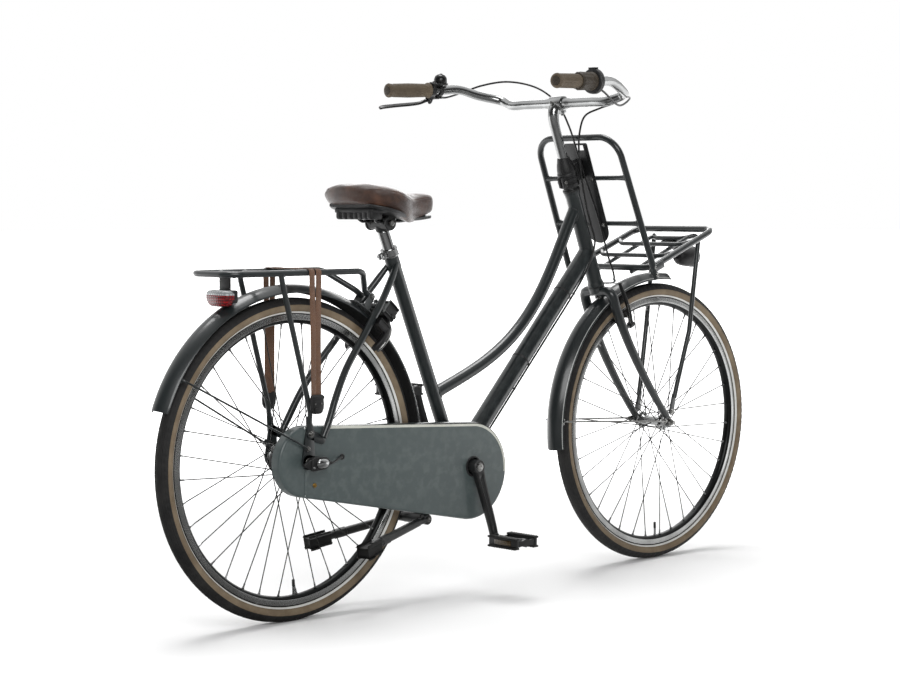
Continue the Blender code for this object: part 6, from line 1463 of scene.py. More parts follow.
@dataclass
class Mudguard(Assembly):
    """Arched mudguard with rolled edges, a pale line along the front guard's edges, a dark sheet of painted shade
    inside, its wire stay, bolts and screws.
    """

    name: str
    centre: Vector
    start: float
    end: float
    body: str
    stay_at: float
    stay_foot: tuple[float, float]
    dropout: float
    screw_at: tuple[float, ...] = ()
    nubs: tuple[float, ...] = ()
    radius: float = 0.379
    half: float = 0.0275
    crown: float = 0.016
    wall: float = 0.0012
    wire: float = 0.0022

    def build(self) -> list[bpy.types.Object]:
        """Make the pieces and return them."""
        self.add(self.shell(), self.name + "_guard_shell", FRAME_PAINT, self.body, self.name + "_mudguard")
        if self.name == "front":
            self.add([self.edge_line(side) for side in (1, -1)], self.name + "_guard_line", EDGE_LINE, self.body)
        # Dark matte sheet inside the arch: painted shade on the guard's underside.
        self.add(self.shade_sheet(), self.name + "_guard_shade_sheet", PAINTED_SHADE, self.body)
        self.stay()
        self.fittings()
        return self.pieces

    def skin(self, t: float, lift: float = 0.0) -> tuple[float, float]:
        """Point of the arched section, as radius and side, by its share of the half width."""
        fall = (1 - math.cos(t * math.pi / 2)) ** 1.1
        return self.radius - self.crown * fall + lift, t * self.half

    def place(self, radius: float, side: float, degrees: float) -> Vector:
        """Point round the wheel."""
        return LAYOUT.around(self.centre, radius, degrees, side)

    def shell(self) -> bpy.types.Object:
        """Arched strip with its thickness and rolled edges."""
        count = 28
        outer = [self.skin(-1 + 2 * k / count) for k in range(count + 1)]
        inner = [(r - self.wall, y * 0.985) for r, y in reversed(outer)]
        edge_r, edge_y = outer[0][0], self.half
        left = [(edge_r - 0.0024, edge_y - 0.0008), (edge_r - 0.0026, edge_y - 0.0002),
                (edge_r - 0.0014, edge_y + 0.0006)]
        right = [(edge_r - 0.0014, -edge_y - 0.0006), (edge_r - 0.0026, -edge_y + 0.0002),
                 (edge_r - 0.0024, -edge_y + 0.0008)]
        section = outer + left[::-1] + inner + right[::-1]
        rings = []
        steps = 120
        for k in range(steps + 1):
            degrees = self.start + (self.end - self.start) * k / steps
            fade = min(1.0, k / 2.0, (steps - k) / 2.0)
            squeeze = 1.0 - 0.05 * (1 - math.sqrt(max(0.0, 1 - (1 - fade) ** 2)))
            rings.append([self.place(r, y * squeeze, degrees) for r, y in section])
        return rings_mesh("shell", rings, smooth=45)

    def shade_sheet(self) -> bpy.types.Object:
        """Dark matte sheet on the inner side of the arch: painted shade for the arch's underside."""
        count, steps, rings = 20, 100, []
        under = [self.skin((-1 + 2 * k / count) * 0.97, -self.wall) for k in range(count + 1)]
        section = under + [(r - 0.0005, y * 0.99) for r, y in reversed(under)]
        for k in range(steps + 1):
            degrees = self.start + 0.15 + (self.end - self.start - 0.3) * k / steps
            rings.append([self.place(r + 0.0001, y * 0.985, degrees) for r, y in section])
        return rings_mesh("shade_sheet", rings, smooth=45)

    def edge_line(self, side: int) -> bpy.types.Object:
        """Thin pale line along an edge."""
        rings = []
        steps = 120
        for k in range(steps + 1):
            degrees = self.start + 0.3 + (self.end - self.start - 0.6) * k / steps
            ring = []
            for t, lift in ((0.915, 0.00012), (0.955, 0.00012), (0.955, -0.0004), (0.915, -0.0004)):
                r, y = self.skin(t, lift)
                ring.append(self.place(r, side * y, degrees))
            rings.append(ring)
        return rings_mesh("line", rings, smooth=30)

    def stay(self) -> None:
        """Bent wire from dropout to dropout inside the edges, with flattened eyes and bolts."""
        edge = (self.radius - self.crown) * math.cos(math.radians(4)) - self.wire - 0.0009
        plate = self.dropout + 0.005
        side, beside = plate + 0.0042, self.half + 0.008
        halves = []
        foot = self.centre + Vector((self.stay_foot[0], 0, self.stay_foot[1]))
        for s in (1, -1):
            start = foot + Vector((0, s * side, 0))
            high = self.place(edge, s * beside, self.stay_at)
            turn = start.lerp(high, 0.1)
            turn.y = s * side
            halves.append([start, turn, high])
        away = (self.place(1.0, 0.0, self.stay_at) - self.centre).normalized()
        shapes = [tube("wire", bent(halves[0] + halves[1][::-1], 0.005, 6), self.wire, 18)]
        bolts = []
        for s in (1, -1):
            middle = s * (plate + 0.0003 + 0.001)
            shapes.append(upright_bar("eye", foot - 0.001 * away, foot + 0.01 * away, 0.0065, 0.0045, 0.002, middle,
                                      0.0004))
            bolts.append(rod("washer", foot + Vector((0, middle + s * 0.001, 0)),
                             foot + Vector((0, middle + s * 0.0018, 0)), 0.0058, 24, edge=0.0002))
            bolts.append(hex_bolt("bolt", foot + Vector((0, middle + s * 0.0018, 0)), Vector((0, s, 0)), 0.0044,
                                  0.0036))
            clip = self.place(edge + 0.0008, s * (self.half - 0.0035), self.stay_at)
            shapes.append(block("clip", clip, (0.01, 0.0065, 0.0042), (away.cross(Y_AXIS), Y_AXIS, away), 0.001))
        self.add(shapes, self.name + "_stay_wire", FRAME_PAINT if self.name == "rear" else STEEL, self.body,
                 self.name + "_mudguard_stay")
        self.add(bolts, self.name + "_stay_bolts", STEEL, self.body)

    def fittings(self) -> None:
        """Screws on the crown and small bumpers at the edge."""
        screws = []
        for degrees in self.screw_at:
            out = (self.place(1.0, 0.0, degrees) - self.centre).normalized()
            screws.append(rod("washer", self.place(self.radius - 0.0006, 0, degrees),
                              self.place(self.radius + 0.0006, 0, degrees), 0.0062, 24, edge=0.0003))
            screws.append(socket_bolt("screw", self.place(self.radius + 0.0006, 0, degrees), out, 0.0042, 0.0024))
        for degrees in self.nubs:
            for s in (1, -1):
                r, y = self.skin(0.93)
                screws.append(socket_bolt("screw", self.place(r - 0.003, s * (y - 0.0002), degrees),
                                          Vector((0, s, 0)), 0.003, 0.0028))
        if screws:
            self.add(screws, self.name + "_guard_screws", STEEL, self.body)


# Drive


def belt_outline(start: Vector, start_radius: float, end: Vector, end_radius: float,
                 steps: tuple[int, int] = (60, 90)) -> list[tuple[float, float]]:
    """Closed outline round two circles, the first behind the second, as pairs ahead and up."""
    dx, dz = end.x - start.x, end.z - start.z
    heading = math.atan2(dz, dx)
    lean = math.acos((start_radius - end_radius) / math.hypot(dx, dz))
    points = []
    for k in range(steps[0] + 1):
        a = heading + lean + (2 * math.pi - 2 * lean) * k / steps[0]
        points.append((start.x + start_radius * math.cos(a), start.z + start_radius * math.sin(a)))
    for k in range(steps[1] + 1):
        a = heading - lean + 2 * lean * k / steps[1]
        points.append((end.x + end_radius * math.cos(a), end.z + end_radius * math.sin(a)))
    return points


def ring_outline(centre: tuple[float, float], radius: float, count: int = 32, squeeze: float = 1.0,
                 corner: float = 2.0) -> list[tuple[float, float]]:
    """Round or rounded-box outline."""
    points = []
    for k in range(count):
        a = 2 * math.pi * k / count
        c, s = math.cos(a), math.sin(a)
        points.append((centre[0] + radius * math.copysign(abs(c) ** (2 / corner), c),
                       centre[1] + radius * squeeze * math.copysign(abs(s) ** (2 / corner), s)))
    return points


@dataclass
class ChainCase(Assembly):
    """Closed chain case: dished cover with a slot, a pale upper trim, a rear cover and screws."""

    outer_side: float = 0.0602
    depth: float = 0.026
    wall: float = 0.0015
    rear_radius: float = 0.077
    front_radius: float = 0.112
    rounding: float = 0.0062
    seam_ahead: float = -0.006

    def build(self) -> list[bpy.types.Object]:
        """Make the pieces and return them."""
        front = LAYOUT.bracket + Vector((-0.004, 0, -0.01))
        seam = LAYOUT.rear_axle.x + self.seam_ahead
        ahead, behind = self.shell(front, seam + 0.0003, True), self.shell(front, seam - 0.0003, False)
        self.add(ahead, "case_cover", CASE_PAINT, "frame", "chain_case")
        self.add(behind, "case_rear_cover", CASE_PAINT, "frame", "chain_case_rear_cover")
        self.trim(front)
        self.fittings()
        return self.pieces

    def shell(self, front: Vector, seam: float, ahead: bool) -> list[bpy.types.Object]:
        """Dished cover on one side of the seam: face, rounded rim and side wall."""
        axle = LAYOUT.rear_axle
        levels = [(self.rounding * (1 - math.sin(a)), self.rounding * (1 - math.cos(a)))
                  for a in (math.pi / 2 * k / 6 for k in range(7))]
        levels.append((0.0, self.depth))
        levels += [(self.wall, self.depth), (self.wall, self.rounding)]
        rings = []
        for shrink, deep in levels:
            loop = belt_outline(axle, self.rear_radius - shrink, front, self.front_radius - shrink)
            rings.append([Vector((x, -(self.outer_side - deep), z)) for x, z in loop])
        shapes = [self.clipped(rings_mesh("wall", rings, capped=False, smooth=50), seam, ahead)]
        face = belt_outline(axle, self.rear_radius - self.rounding, front, self.front_radius - self.rounding)
        face = self.cut_outline(face, seam, ahead)
        holes = []
        if ahead:
            slot_z = LAYOUT.bracket.lerp(axle, 0.93).z
            x0, x1 = seam + 0.0002, axle.x + 0.05
            half, turn = 0.0122, 0.006
            slot = [(x0, slot_z + half)]
            slot += [(x1 - turn + turn * math.sin(a), slot_z + half - turn + turn * math.cos(a))
                     for a in (math.pi / 2 * k / 6 for k in range(7))]
            slot += [(x1 - turn + turn * math.cos(a), slot_z - half + turn - turn * math.sin(a))
                     for a in (math.pi / 2 * k / 6 for k in range(7))]
            slot.append((x0, slot_z - half))
            face = self.with_notch(face, slot, seam)
            holes.append(ring_outline((LAYOUT.bracket.x, LAYOUT.bracket.z), 0.0212, 48))
            holes.append(ring_outline((LAYOUT.rear(0.098, 0, 0).x, 0.3535), 0.006, 24))
        plate = sheet_plate("face", face, self.wall, Vector((0, -(self.outer_side - self.wall / 2), 0)), X_AXIS,
                            Z_AXIS, holes)
        shapes.append(plate)
        return shapes

    def cut_outline(self, outline: Sequence[tuple[float, float]], seam: float,
                    ahead: bool) -> list[tuple[float, float]]:
        """Part of an outline on one side of the seam."""
        result = []
        for (x0, z0), (x1, z1) in zip(outline, [*outline[1:], outline[0]]):
            inside, after = (x0 >= seam) == ahead, (x1 >= seam) == ahead
            if inside:
                result.append((x0, z0))
            if inside != after:
                result.append((seam, z0 + (z1 - z0) * (seam - x0) / (x1 - x0)))
        return result

    def with_notch(self, outline: list[tuple[float, float]], slot: list[tuple[float, float]],
                   seam: float) -> list[tuple[float, float]]:
        """Outline with a slot let in from its straight rear edge."""
        for index in range(len(outline)):
            first, second = outline[index], outline[(index + 1) % len(outline)]
            if abs(first[0] - seam) < 1e-7 and abs(second[0] - seam) < 1e-7:
                notch = slot if first[1] > second[1] else slot[::-1]
                notch = [(seam, notch[0][1]), *notch[1:-1], (seam, notch[-1][1])]
                return [*outline[:index + 1], *notch, *outline[index + 1:]]
        return outline

    def clipped(self, obj: bpy.types.Object, seam: float, ahead: bool) -> bpy.types.Object:
        """The part of a shape on one side of the seam."""
        bm = bmesh.new()
        bm.from_mesh(obj.data)
        bmesh.ops.bisect_plane(bm, geom=[*bm.verts, *bm.edges, *bm.faces], plane_co=(seam, 0, 0),
                               plane_no=(1, 0, 0), clear_inner=ahead, clear_outer=not ahead)
        bm.to_mesh(obj.data)
        bm.free()
        return obj

    def dish(self, shrink: float) -> float:
        """Depth of the rounded rim below the face, at a distance in from the outline."""
        rest = max(0.0, self.rounding - shrink)
        return self.rounding - math.sqrt(self.rounding ** 2 - rest ** 2)

    def trim(self, front: Vector) -> None:
        """Pale strip along the upper edge and round the front, below a dark glossy one."""
        pale = self.strip(front, (0.0092, 0.0076, 0.006, 0.0046, 0.0034), 0.0006, 0.0)
        dark = self.strip(front, (0.0034, 0.0024, 0.0014, 0.0005, 0.0), 0.001, 0.003)
        self.add(pale, "case_trim", TRIM, "frame")
        self.add(dark, "case_trim_edge", GLOSS_PLASTIC, "frame")

    def strip(self, front: Vector, shrinks: Sequence[float], lift: float, further: float) -> bpy.types.Object:
        """Strip on the rim, from over the rear axle to the front's middle.

        Args:
            front: Middle of the case's front end.
            shrinks: Distances in from the outline, from the strip's inner edge to its outer one.
            lift: Height above the rim.
            further: Extra length at the rear end.

        Returns:
            The strip.
        """
        axle, rings = LAYOUT.rear_axle, []
        loops = [belt_outline(axle, self.rear_radius - s, front, self.front_radius - s, (200, 200))
                 for s in shrinks]
        picked = [i for i, (x, z) in enumerate(loops[-1])
                  if (z > axle.z + 0.05 and x > axle.x + 0.052 - further)
                  or (x > front.x and math.degrees(math.atan2(z - front.z, x - front.x)) > -6.0)]
        start = max(range(len(picked)), key=lambda i: math.dist(loops[-1][picked[i]], loops[-1][picked[i - 1]]))
        order = picked[start:] + picked[:start]
        if loops[-1][order[0]][1] < loops[-1][order[-1]][1]:
            order.reverse()
        rows = [[loop[i] for loop in loops] for i in order]
        tops = rows[0]
        slope = (tops[-1][1] - (axle.z + self.rear_radius)) / (tops[-1][0] - axle.x)
        rear_x = axle.x + 0.052 - further
        lead = [[(rear_x + (x - rear_x) * k / 16, z + slope * (rear_x + (x - rear_x) * k / 16 - x))
                 for x, z in tops] for k in range(16)]
        for row in lead + rows:
            places = [(place, self.outer_side - self.dish(s)) for place, s in zip(row, shrinks)]
            upper = [Vector((x, -(y + lift), z)) for (x, z), y in places]
            rings.append([Vector((p.x, p.y + lift + 0.0004, p.z)) for p in upper[:1]] + upper
                         + [Vector((p.x, p.y + lift + 0.0008, p.z)) for p in upper[:0:-1]])
        return rings_mesh("strip", rings, smooth=50)

    def fittings(self) -> None:
        """Screws, the seam's strip and the collar round the crank's hole."""
        axle, bracket = LAYOUT.rear_axle, LAYOUT.bracket
        y = -self.outer_side
        screw = axle + Vector((0.02, y, -0.052))
        rear = [rod("seat", screw, screw - 0.0012 * Y_AXIS, 0.0052, 24, edge=0.0003),
                socket_bolt("screw", screw - 0.0012 * Y_AXIS, -Y_AXIS, 0.0038, 0.0022)]
        self.add(rear, "case_screw", BRASS, "frame")
        seam = LAYOUT.rear_axle.x + self.seam_ahead
        strip = [block("strip", Vector((seam, y - 0.0004, axle.z - 0.0445)), (0.0046, 0.0008, 0.052), None, 0.0003),
                 block("strip", Vector((seam, y - 0.0004, axle.z + 0.0445)), (0.0046, 0.0008, 0.052), None, 0.0003)]
        self.add(strip, "case_seam", CASE_PAINT, "frame")
        collar = [(0.0204, -0.0002), (0.0204, 0.0018), (0.0214, 0.0024), (0.0232, 0.0018), (0.024, 0.0002),
                  (0.024, -0.0002)]
        middle = Vector((bracket.x, y, bracket.z))
        self.add(lathe("collar", collar, middle, -Y_AXIS, 56, looped=True, smooth=40), "case_collar", BLACK_PLASTIC,
                 "frame")
        hole = LAYOUT.rear(0.098, y, 0.3535)
        bush = [(0.0034, -0.0006), (0.0034, 0.0012), (0.006, 0.0014), (0.0068, 0.0002), (0.0068, -0.0002)]
        self.add(lathe("bush", bush, hole, -Y_AXIS, 28, looped=True), "case_cable_bush", BLACK_PLASTIC, "frame")


@dataclass
class Drive(Assembly):
    """Cranks, chainring, chain, sprocket, spindle and bearing cups."""

    chain_line: float = 0.0475
    pitch: float = 0.0127
    ring_teeth: int = 38
    sprocket_teeth: int = 19
    crank_length: float = 0.17
    crank_degrees: float = -78.0
    root: tuple[float, float] = (0.0625, 0.082)
    tip: tuple[float, float] = (0.088, 0.101)

    def build(self) -> list[bpy.types.Object]:
        """Make the pieces and return them."""
        bb, axle = LAYOUT.bracket, LAYOUT.rear_axle
        for side, name in ((Side.RIGHT, "crank_right"), (Side.LEFT, "crank_left")):
            self.crank(side, name)
        ring = self.toothed(bb, self.ring_teeth, 5, 0.0155, 0.046)
        spider = rod("sleeve", bb - 0.045 * Y_AXIS, bb - 0.064 * Y_AXIS, 0.0138, 32)
        self.add([ring, spider], "chainring", BLACK_METAL, "crankset")
        tip = self.root[1] - 0.0043
        self.add(rod("spindle", bb - tip * Y_AXIS, bb + tip * Y_AXIS, 0.0084, 28, edge=0.0008), "crank_axle", STEEL,
                 "crankset", "crank_spindle")
        cups = symmetric([(0.0088, -0.0355), (0.0172, -0.0355)])
        notched = [lathe("cup", cups, bb, Y_AXIS, 48, looped=True)]
        for side in (1, -1):
            face = bb + side * 0.0342 * Y_AXIS
            notched.append(rod("lip", face, face + side * 0.0022 * Y_AXIS, 0.0196, 12, edge=0.0005))
        self.add(notched, "bracket_cups", BLACK_METAL, "frame", "bottom_bracket")
        small = self.toothed(axle, self.sprocket_teeth, 0, 0.0, 0.0)
        driver = [(0.0058, 0.03), (0.016, 0.03), (0.016, 0.052), (0.0148, 0.0545), (0.0058, 0.0548)]
        self.add([small, lathe("driver", driver, axle, -Y_AXIS, 40, looped=True)], "sprocket_set", STEEL,
                 "sprocket", "rear_sprocket")
        self.chain()
        return self.pieces

    def toothed(self, centre: Vector, teeth: int, windows: int, window_radius: float,
                window_at: float) -> bpy.types.Object:
        """Plate with rounded teeth and round windows."""
        middle = self.pitch / (2 * math.sin(math.pi / teeth))
        outline = []
        for k in range(teeth):
            for share, lift in ((-0.5, -0.003), (-0.3, -0.0026), (-0.16, 0.0006), (-0.06, 0.0034), (0.06, 0.0034),
                                (0.16, 0.0006), (0.3, -0.0026)):
                a = 2 * math.pi * (k + share) / teeth
                outline.append(((middle + lift) * math.cos(a), (middle + lift) * math.sin(a)))
        holes = []
        for k in range(windows):
            a = 2 * math.pi * k / windows
            holes.append(ring_outline((window_at * math.cos(a), window_at * math.sin(a)), window_radius, 24))
        return sheet_plate("toothed", outline, 0.0022, centre - self.chain_line * Y_AXIS, X_AXIS, Z_AXIS, holes)

    def crank_end(self, side: Side) -> Vector:
        """Middle of the pedal's axis, in the bike's middle plane."""
        a = math.radians(self.crank_degrees) + (0.0 if side is Side.RIGHT else math.pi)
        return LAYOUT.bracket + self.crank_length * Vector((math.cos(a), 0.0, math.sin(a)))

    def crank(self, side: Side, name: str) -> None:
        """Arm with a chamfered section and a groove along its face, boss, eye, dust cap and pedal pin."""
        s = side.value
        out = Vector((0, s, 0))
        bb, end = LAYOUT.bracket, self.crank_end(side)
        along = (end - bb).normalized()
        across = along.cross(Y_AXIS)
        rings = []
        stations = 28
        for k in range(stations + 1):
            t = k / stations
            half = 0.0146 - 0.003 * min(1.0, t / 0.28) - 0.0021 * max(0.0, (t - 0.28) / 0.72)
            ease = t * t * (3 - 2 * t)
            inner = self.root[0] + 0.004 + (self.tip[0] + 0.0005 - self.root[0] - 0.004) * (0.35 * t + 0.65 * ease)
            outer = self.root[1] - 0.001 + (self.tip[1] - 0.0005 - self.root[1] + 0.001) * (0.35 * t + 0.65 * ease)
            middle = bb + t * self.crank_length * along
            groove = 0.0012 if 0.13 < t < 0.87 else 0.0
            section = []
            c = 0.0026
            for a, y in ((-half, inner + c), (-half + c * 0.3, inner + c * 0.3), (-half + c, inner),
                         (half - c, inner), (half - c * 0.3, inner + c * 0.3), (half, inner + c), (half, outer - c),
                         (half - c * 0.3, outer - c * 0.3), (half - c, outer), (half * 0.42, outer),
                         (half * 0.3, outer - groove), (-half * 0.3, outer - groove), (-half * 0.42, outer),
                         (-half + c, outer), (-half + c * 0.3, outer - c * 0.3), (-half, outer - c)):
                section.append(middle + a * across + y * out)
            rings.append(section)
        arm = rings_mesh("arm", rings, smooth=28)
        boss = rod("boss", bb + self.root[0] * out, bb + self.root[1] * out, 0.0165, 48, edge=0.0014)
        eye = rod("eye", end + self.tip[0] * out, end + self.tip[1] * out, 0.0125, 40, edge=0.0012)
        self.add([arm, boss, eye], name + "_arm", BLACK_METAL, "crankset", name)
        cap = [(0.0104, 0.0), (0.0104, 0.0008), (0.0094, 0.0014), (0.006, 0.0014), (0.0052, 0.0006), (0.0, 0.0006)]
        self.add(lathe("cap", cap, bb + (self.root[1] - 0.0002) * out, out, 40), name + "_cap", STEEL, "crankset")
        pin_end = end + 0.1925 * out
        pin = [(0.0046, 0.0), (0.0078, 0.0012), (0.0078, 0.0042), (0.0046, 0.0052), (0.0044, 0.012)]
        self.add([lathe("collar", pin, end + (self.tip[1] + 0.0002) * out, out, 6),
                  rod("pin", end + 0.098 * out, pin_end, 0.0044, 20)], name + "_pin", STEEL, "crankset")

    def chain(self) -> None:
        """Roller chain: outer and inner plates with their pins along the loop."""
        small = self.pitch / (2 * math.sin(math.pi / self.sprocket_teeth))
        large = self.pitch / (2 * math.sin(math.pi / self.ring_teeth))
        loop = belt_outline(LAYOUT.rear_axle, small + 0.0052, LAYOUT.bracket, large + 0.0052, (60, 120))
        points = [Vector((x, 0.0, z)) for x, z in loop]
        points.append(points[0])
        lengths = [0.0]
        for a, b in zip(points, points[1:]):
            lengths.append(lengths[-1] + (b - a).length)
        count = 2 * round(lengths[-1] / self.pitch / 2)
        joints = []
        for k in range(count):
            target = lengths[-1] * k / count
            index = max(i for i, v in enumerate(lengths) if v <= target)
            index = min(index, len(points) - 2)
            span = lengths[index + 1] - lengths[index]
            joints.append(points[index].lerp(points[index + 1], (target - lengths[index]) / span))
        plates, rollers = [], []
        for k, joint in enumerate(joints):
            after = joints[(k + 1) % count]
            offset = 0.0034 if k % 2 else 0.0024
            for side in (1, -1):
                outline = bar_outline((joint.x, joint.z), (after.x, after.z), 0.0036, 0.00359, 5)
                plates.append(sheet_plate("plate", outline, 0.0009,
                                          Vector((0, -self.chain_line + side * offset, 0)), X_AXIS, Z_AXIS))
            centre = joint - self.chain_line * Y_AXIS
            rollers.append(rod("roller", centre - 0.0042 * Y_AXIS, centre + 0.0042 * Y_AXIS, 0.002, 8))
        self.add([*plates, *rollers], "chain_links", STEEL, "frame", "chain")


@dataclass
class Pedal(Assembly):
    """Platform pedal: barrel, end plates, ribbed rubber treads and amber reflectors."""

    side: Side
    half: float = 0.045
    start: float = 0.1085

    def build(self) -> list[bpy.types.Object]:
        """Make the pieces and return them."""
        s = self.side.value
        name = "pedal_left" if self.side is Side.LEFT else "pedal_right"
        centre = Drive().crank_end(self.side)
        out = Vector((0, s, 0))
        start, end = self.start, self.start + 2 * self.half
        middle = (start + end) / 2
        barrel = [(0.0052, 0.0), (0.0086, 0.0), (0.0094, 0.001), (0.0094, 0.014), (0.0082, 0.02), (0.0078, 0.045),
                  (0.0082, 0.07), (0.0094, 0.076), (0.0094, 0.086), (0.0086, 0.0876), (0.0, 0.088)]
        shapes = [lathe("barrel", barrel, centre + start * out, out, 36)]
        for y in (start + 0.0045, end - 0.0045):
            plate = [(-0.03, -0.0062), (-0.0272, -0.0084), (-0.012, -0.0062), (0.0, -0.0098), (0.012, -0.0062),
                     (0.0272, -0.0084), (0.03, -0.0062)]
            outline = [*plate, *[(-a, -b) for a, b in plate]]
            shapes.append(sheet_plate("cheek", outline, 0.0056, centre + y * out, X_AXIS, Z_AXIS, edge=0.0012))
        treads = []
        for front in (-1, 1):
            core = centre + middle * out + front * 0.0295 * X_AXIS
            shapes.append(block("tread", core, (0.0076, 2 * self.half - 0.0008, 0.02), None, 0.0012))
            for level in (-1, 1):
                lip = core + level * 0.0105 * Z_AXIS + front * 0.0015 * X_AXIS
                treads.append(block("lip", lip, (0.0148, 2 * self.half - 0.0016, 0.0046), None, 0.0012))
                for k in range(11):
                    rib = lip + level * 0.0024 * Z_AXIS + (k - 5) * 0.0078 * Y_AXIS
                    treads.append(block("rib", rib, (0.0124, 0.0036, 0.0013), None, 0.0005, 2))
        self.add(shapes, name + "_body", BLACK_PLASTIC, name, name)
        self.add(treads, name + "_treads", PEDAL_RUBBER, name)
        ambers = []
        for front in (-1, 1):
            face = centre + middle * out + front * 0.0334 * X_AXIS
            ambers.append(block("reflector", face, (0.0016, 0.052, 0.0118), None, 0.0006))
        self.add(ambers, name + "_reflectors", AMBER, name)
        return self.pieces


@dataclass
class ShiftBox(Assembly):
    """Gear box on the rear axle's right end, with its tab, chrome cap, cable end and rod."""

    side: float = -0.0827

    def build(self) -> list[bpy.types.Object]:
        """Make the pieces and return them."""
        axle = LAYOUT.rear_axle
        outer = axle + Vector((0, self.side + 0.0003, 0))
        outline = [(-0.014, -0.013), (-0.01, -0.0165), (0.022, -0.015), (0.031, -0.0105), (0.034, -0.004),
                   (0.033, 0.007), (0.026, 0.012), (0.004, 0.0125), (-0.006, 0.0135), (-0.013, 0.01)]
        middle = outer + Vector((0, -0.006, 0))
        body = sheet_plate("body", outline, 0.0118, middle, X_AXIS, Z_AXIS, edge=0.0022)
        rib = block("rib", outer + Vector((0.012, -0.0125, 0.002)), (0.03, 0.0022, 0.003), None, 0.0009)
        tab = upright_bar("tab", outer + Vector((-0.01, 0, -0.002)), outer + Vector((-0.03, 0, -0.003)), 0.0118,
                          0.003, 0.0078, self.side - 0.0047, 0.0015)
        inner = rod("sleeve", outer + Vector((0, 0.006, 0)), outer + Vector((0, -0.004, 0)), 0.0095, 32)
        holder = rod("holder", axle + Vector((0.028, -0.0795, -0.004)), axle + Vector((0.0336, -0.0795, -0.004)),
                     0.0045, 20, edge=0.0006)
        self.add([body, rib, tab, inner, holder], "shift_box_body", BLACK_PLASTIC, "frame", "shift_box")
        rings = []
        for grow, deep in ((1.0, -0.001), (1.0, 0.002), (0.95, 0.0046), (0.8, 0.0066), (0.52, 0.008),
                           (0.16, 0.0086)):
            ring = []
            for k in range(40):
                a = 2 * math.pi * k / 40
                c, t = math.cos(a), math.sin(a)
                ring.append(outer + Vector((0.0135 + grow * 0.0165 * math.copysign(abs(c) ** 0.75, c),
                                            -0.0116 - deep,
                                            -0.001 + grow * 0.011 * math.copysign(abs(t) ** 0.85, t))))
            rings.append(ring)
        self.add([rings_mesh("dome", rings, smooth=60),
                  socket_bolt("screw", outer + Vector((-0.0085, -0.0117, -0.009)), -Y_AXIS, 0.0026, 0.0012)],
                 "shift_box_cap", POLISHED, "frame")
        return self.pieces


# Steering controls


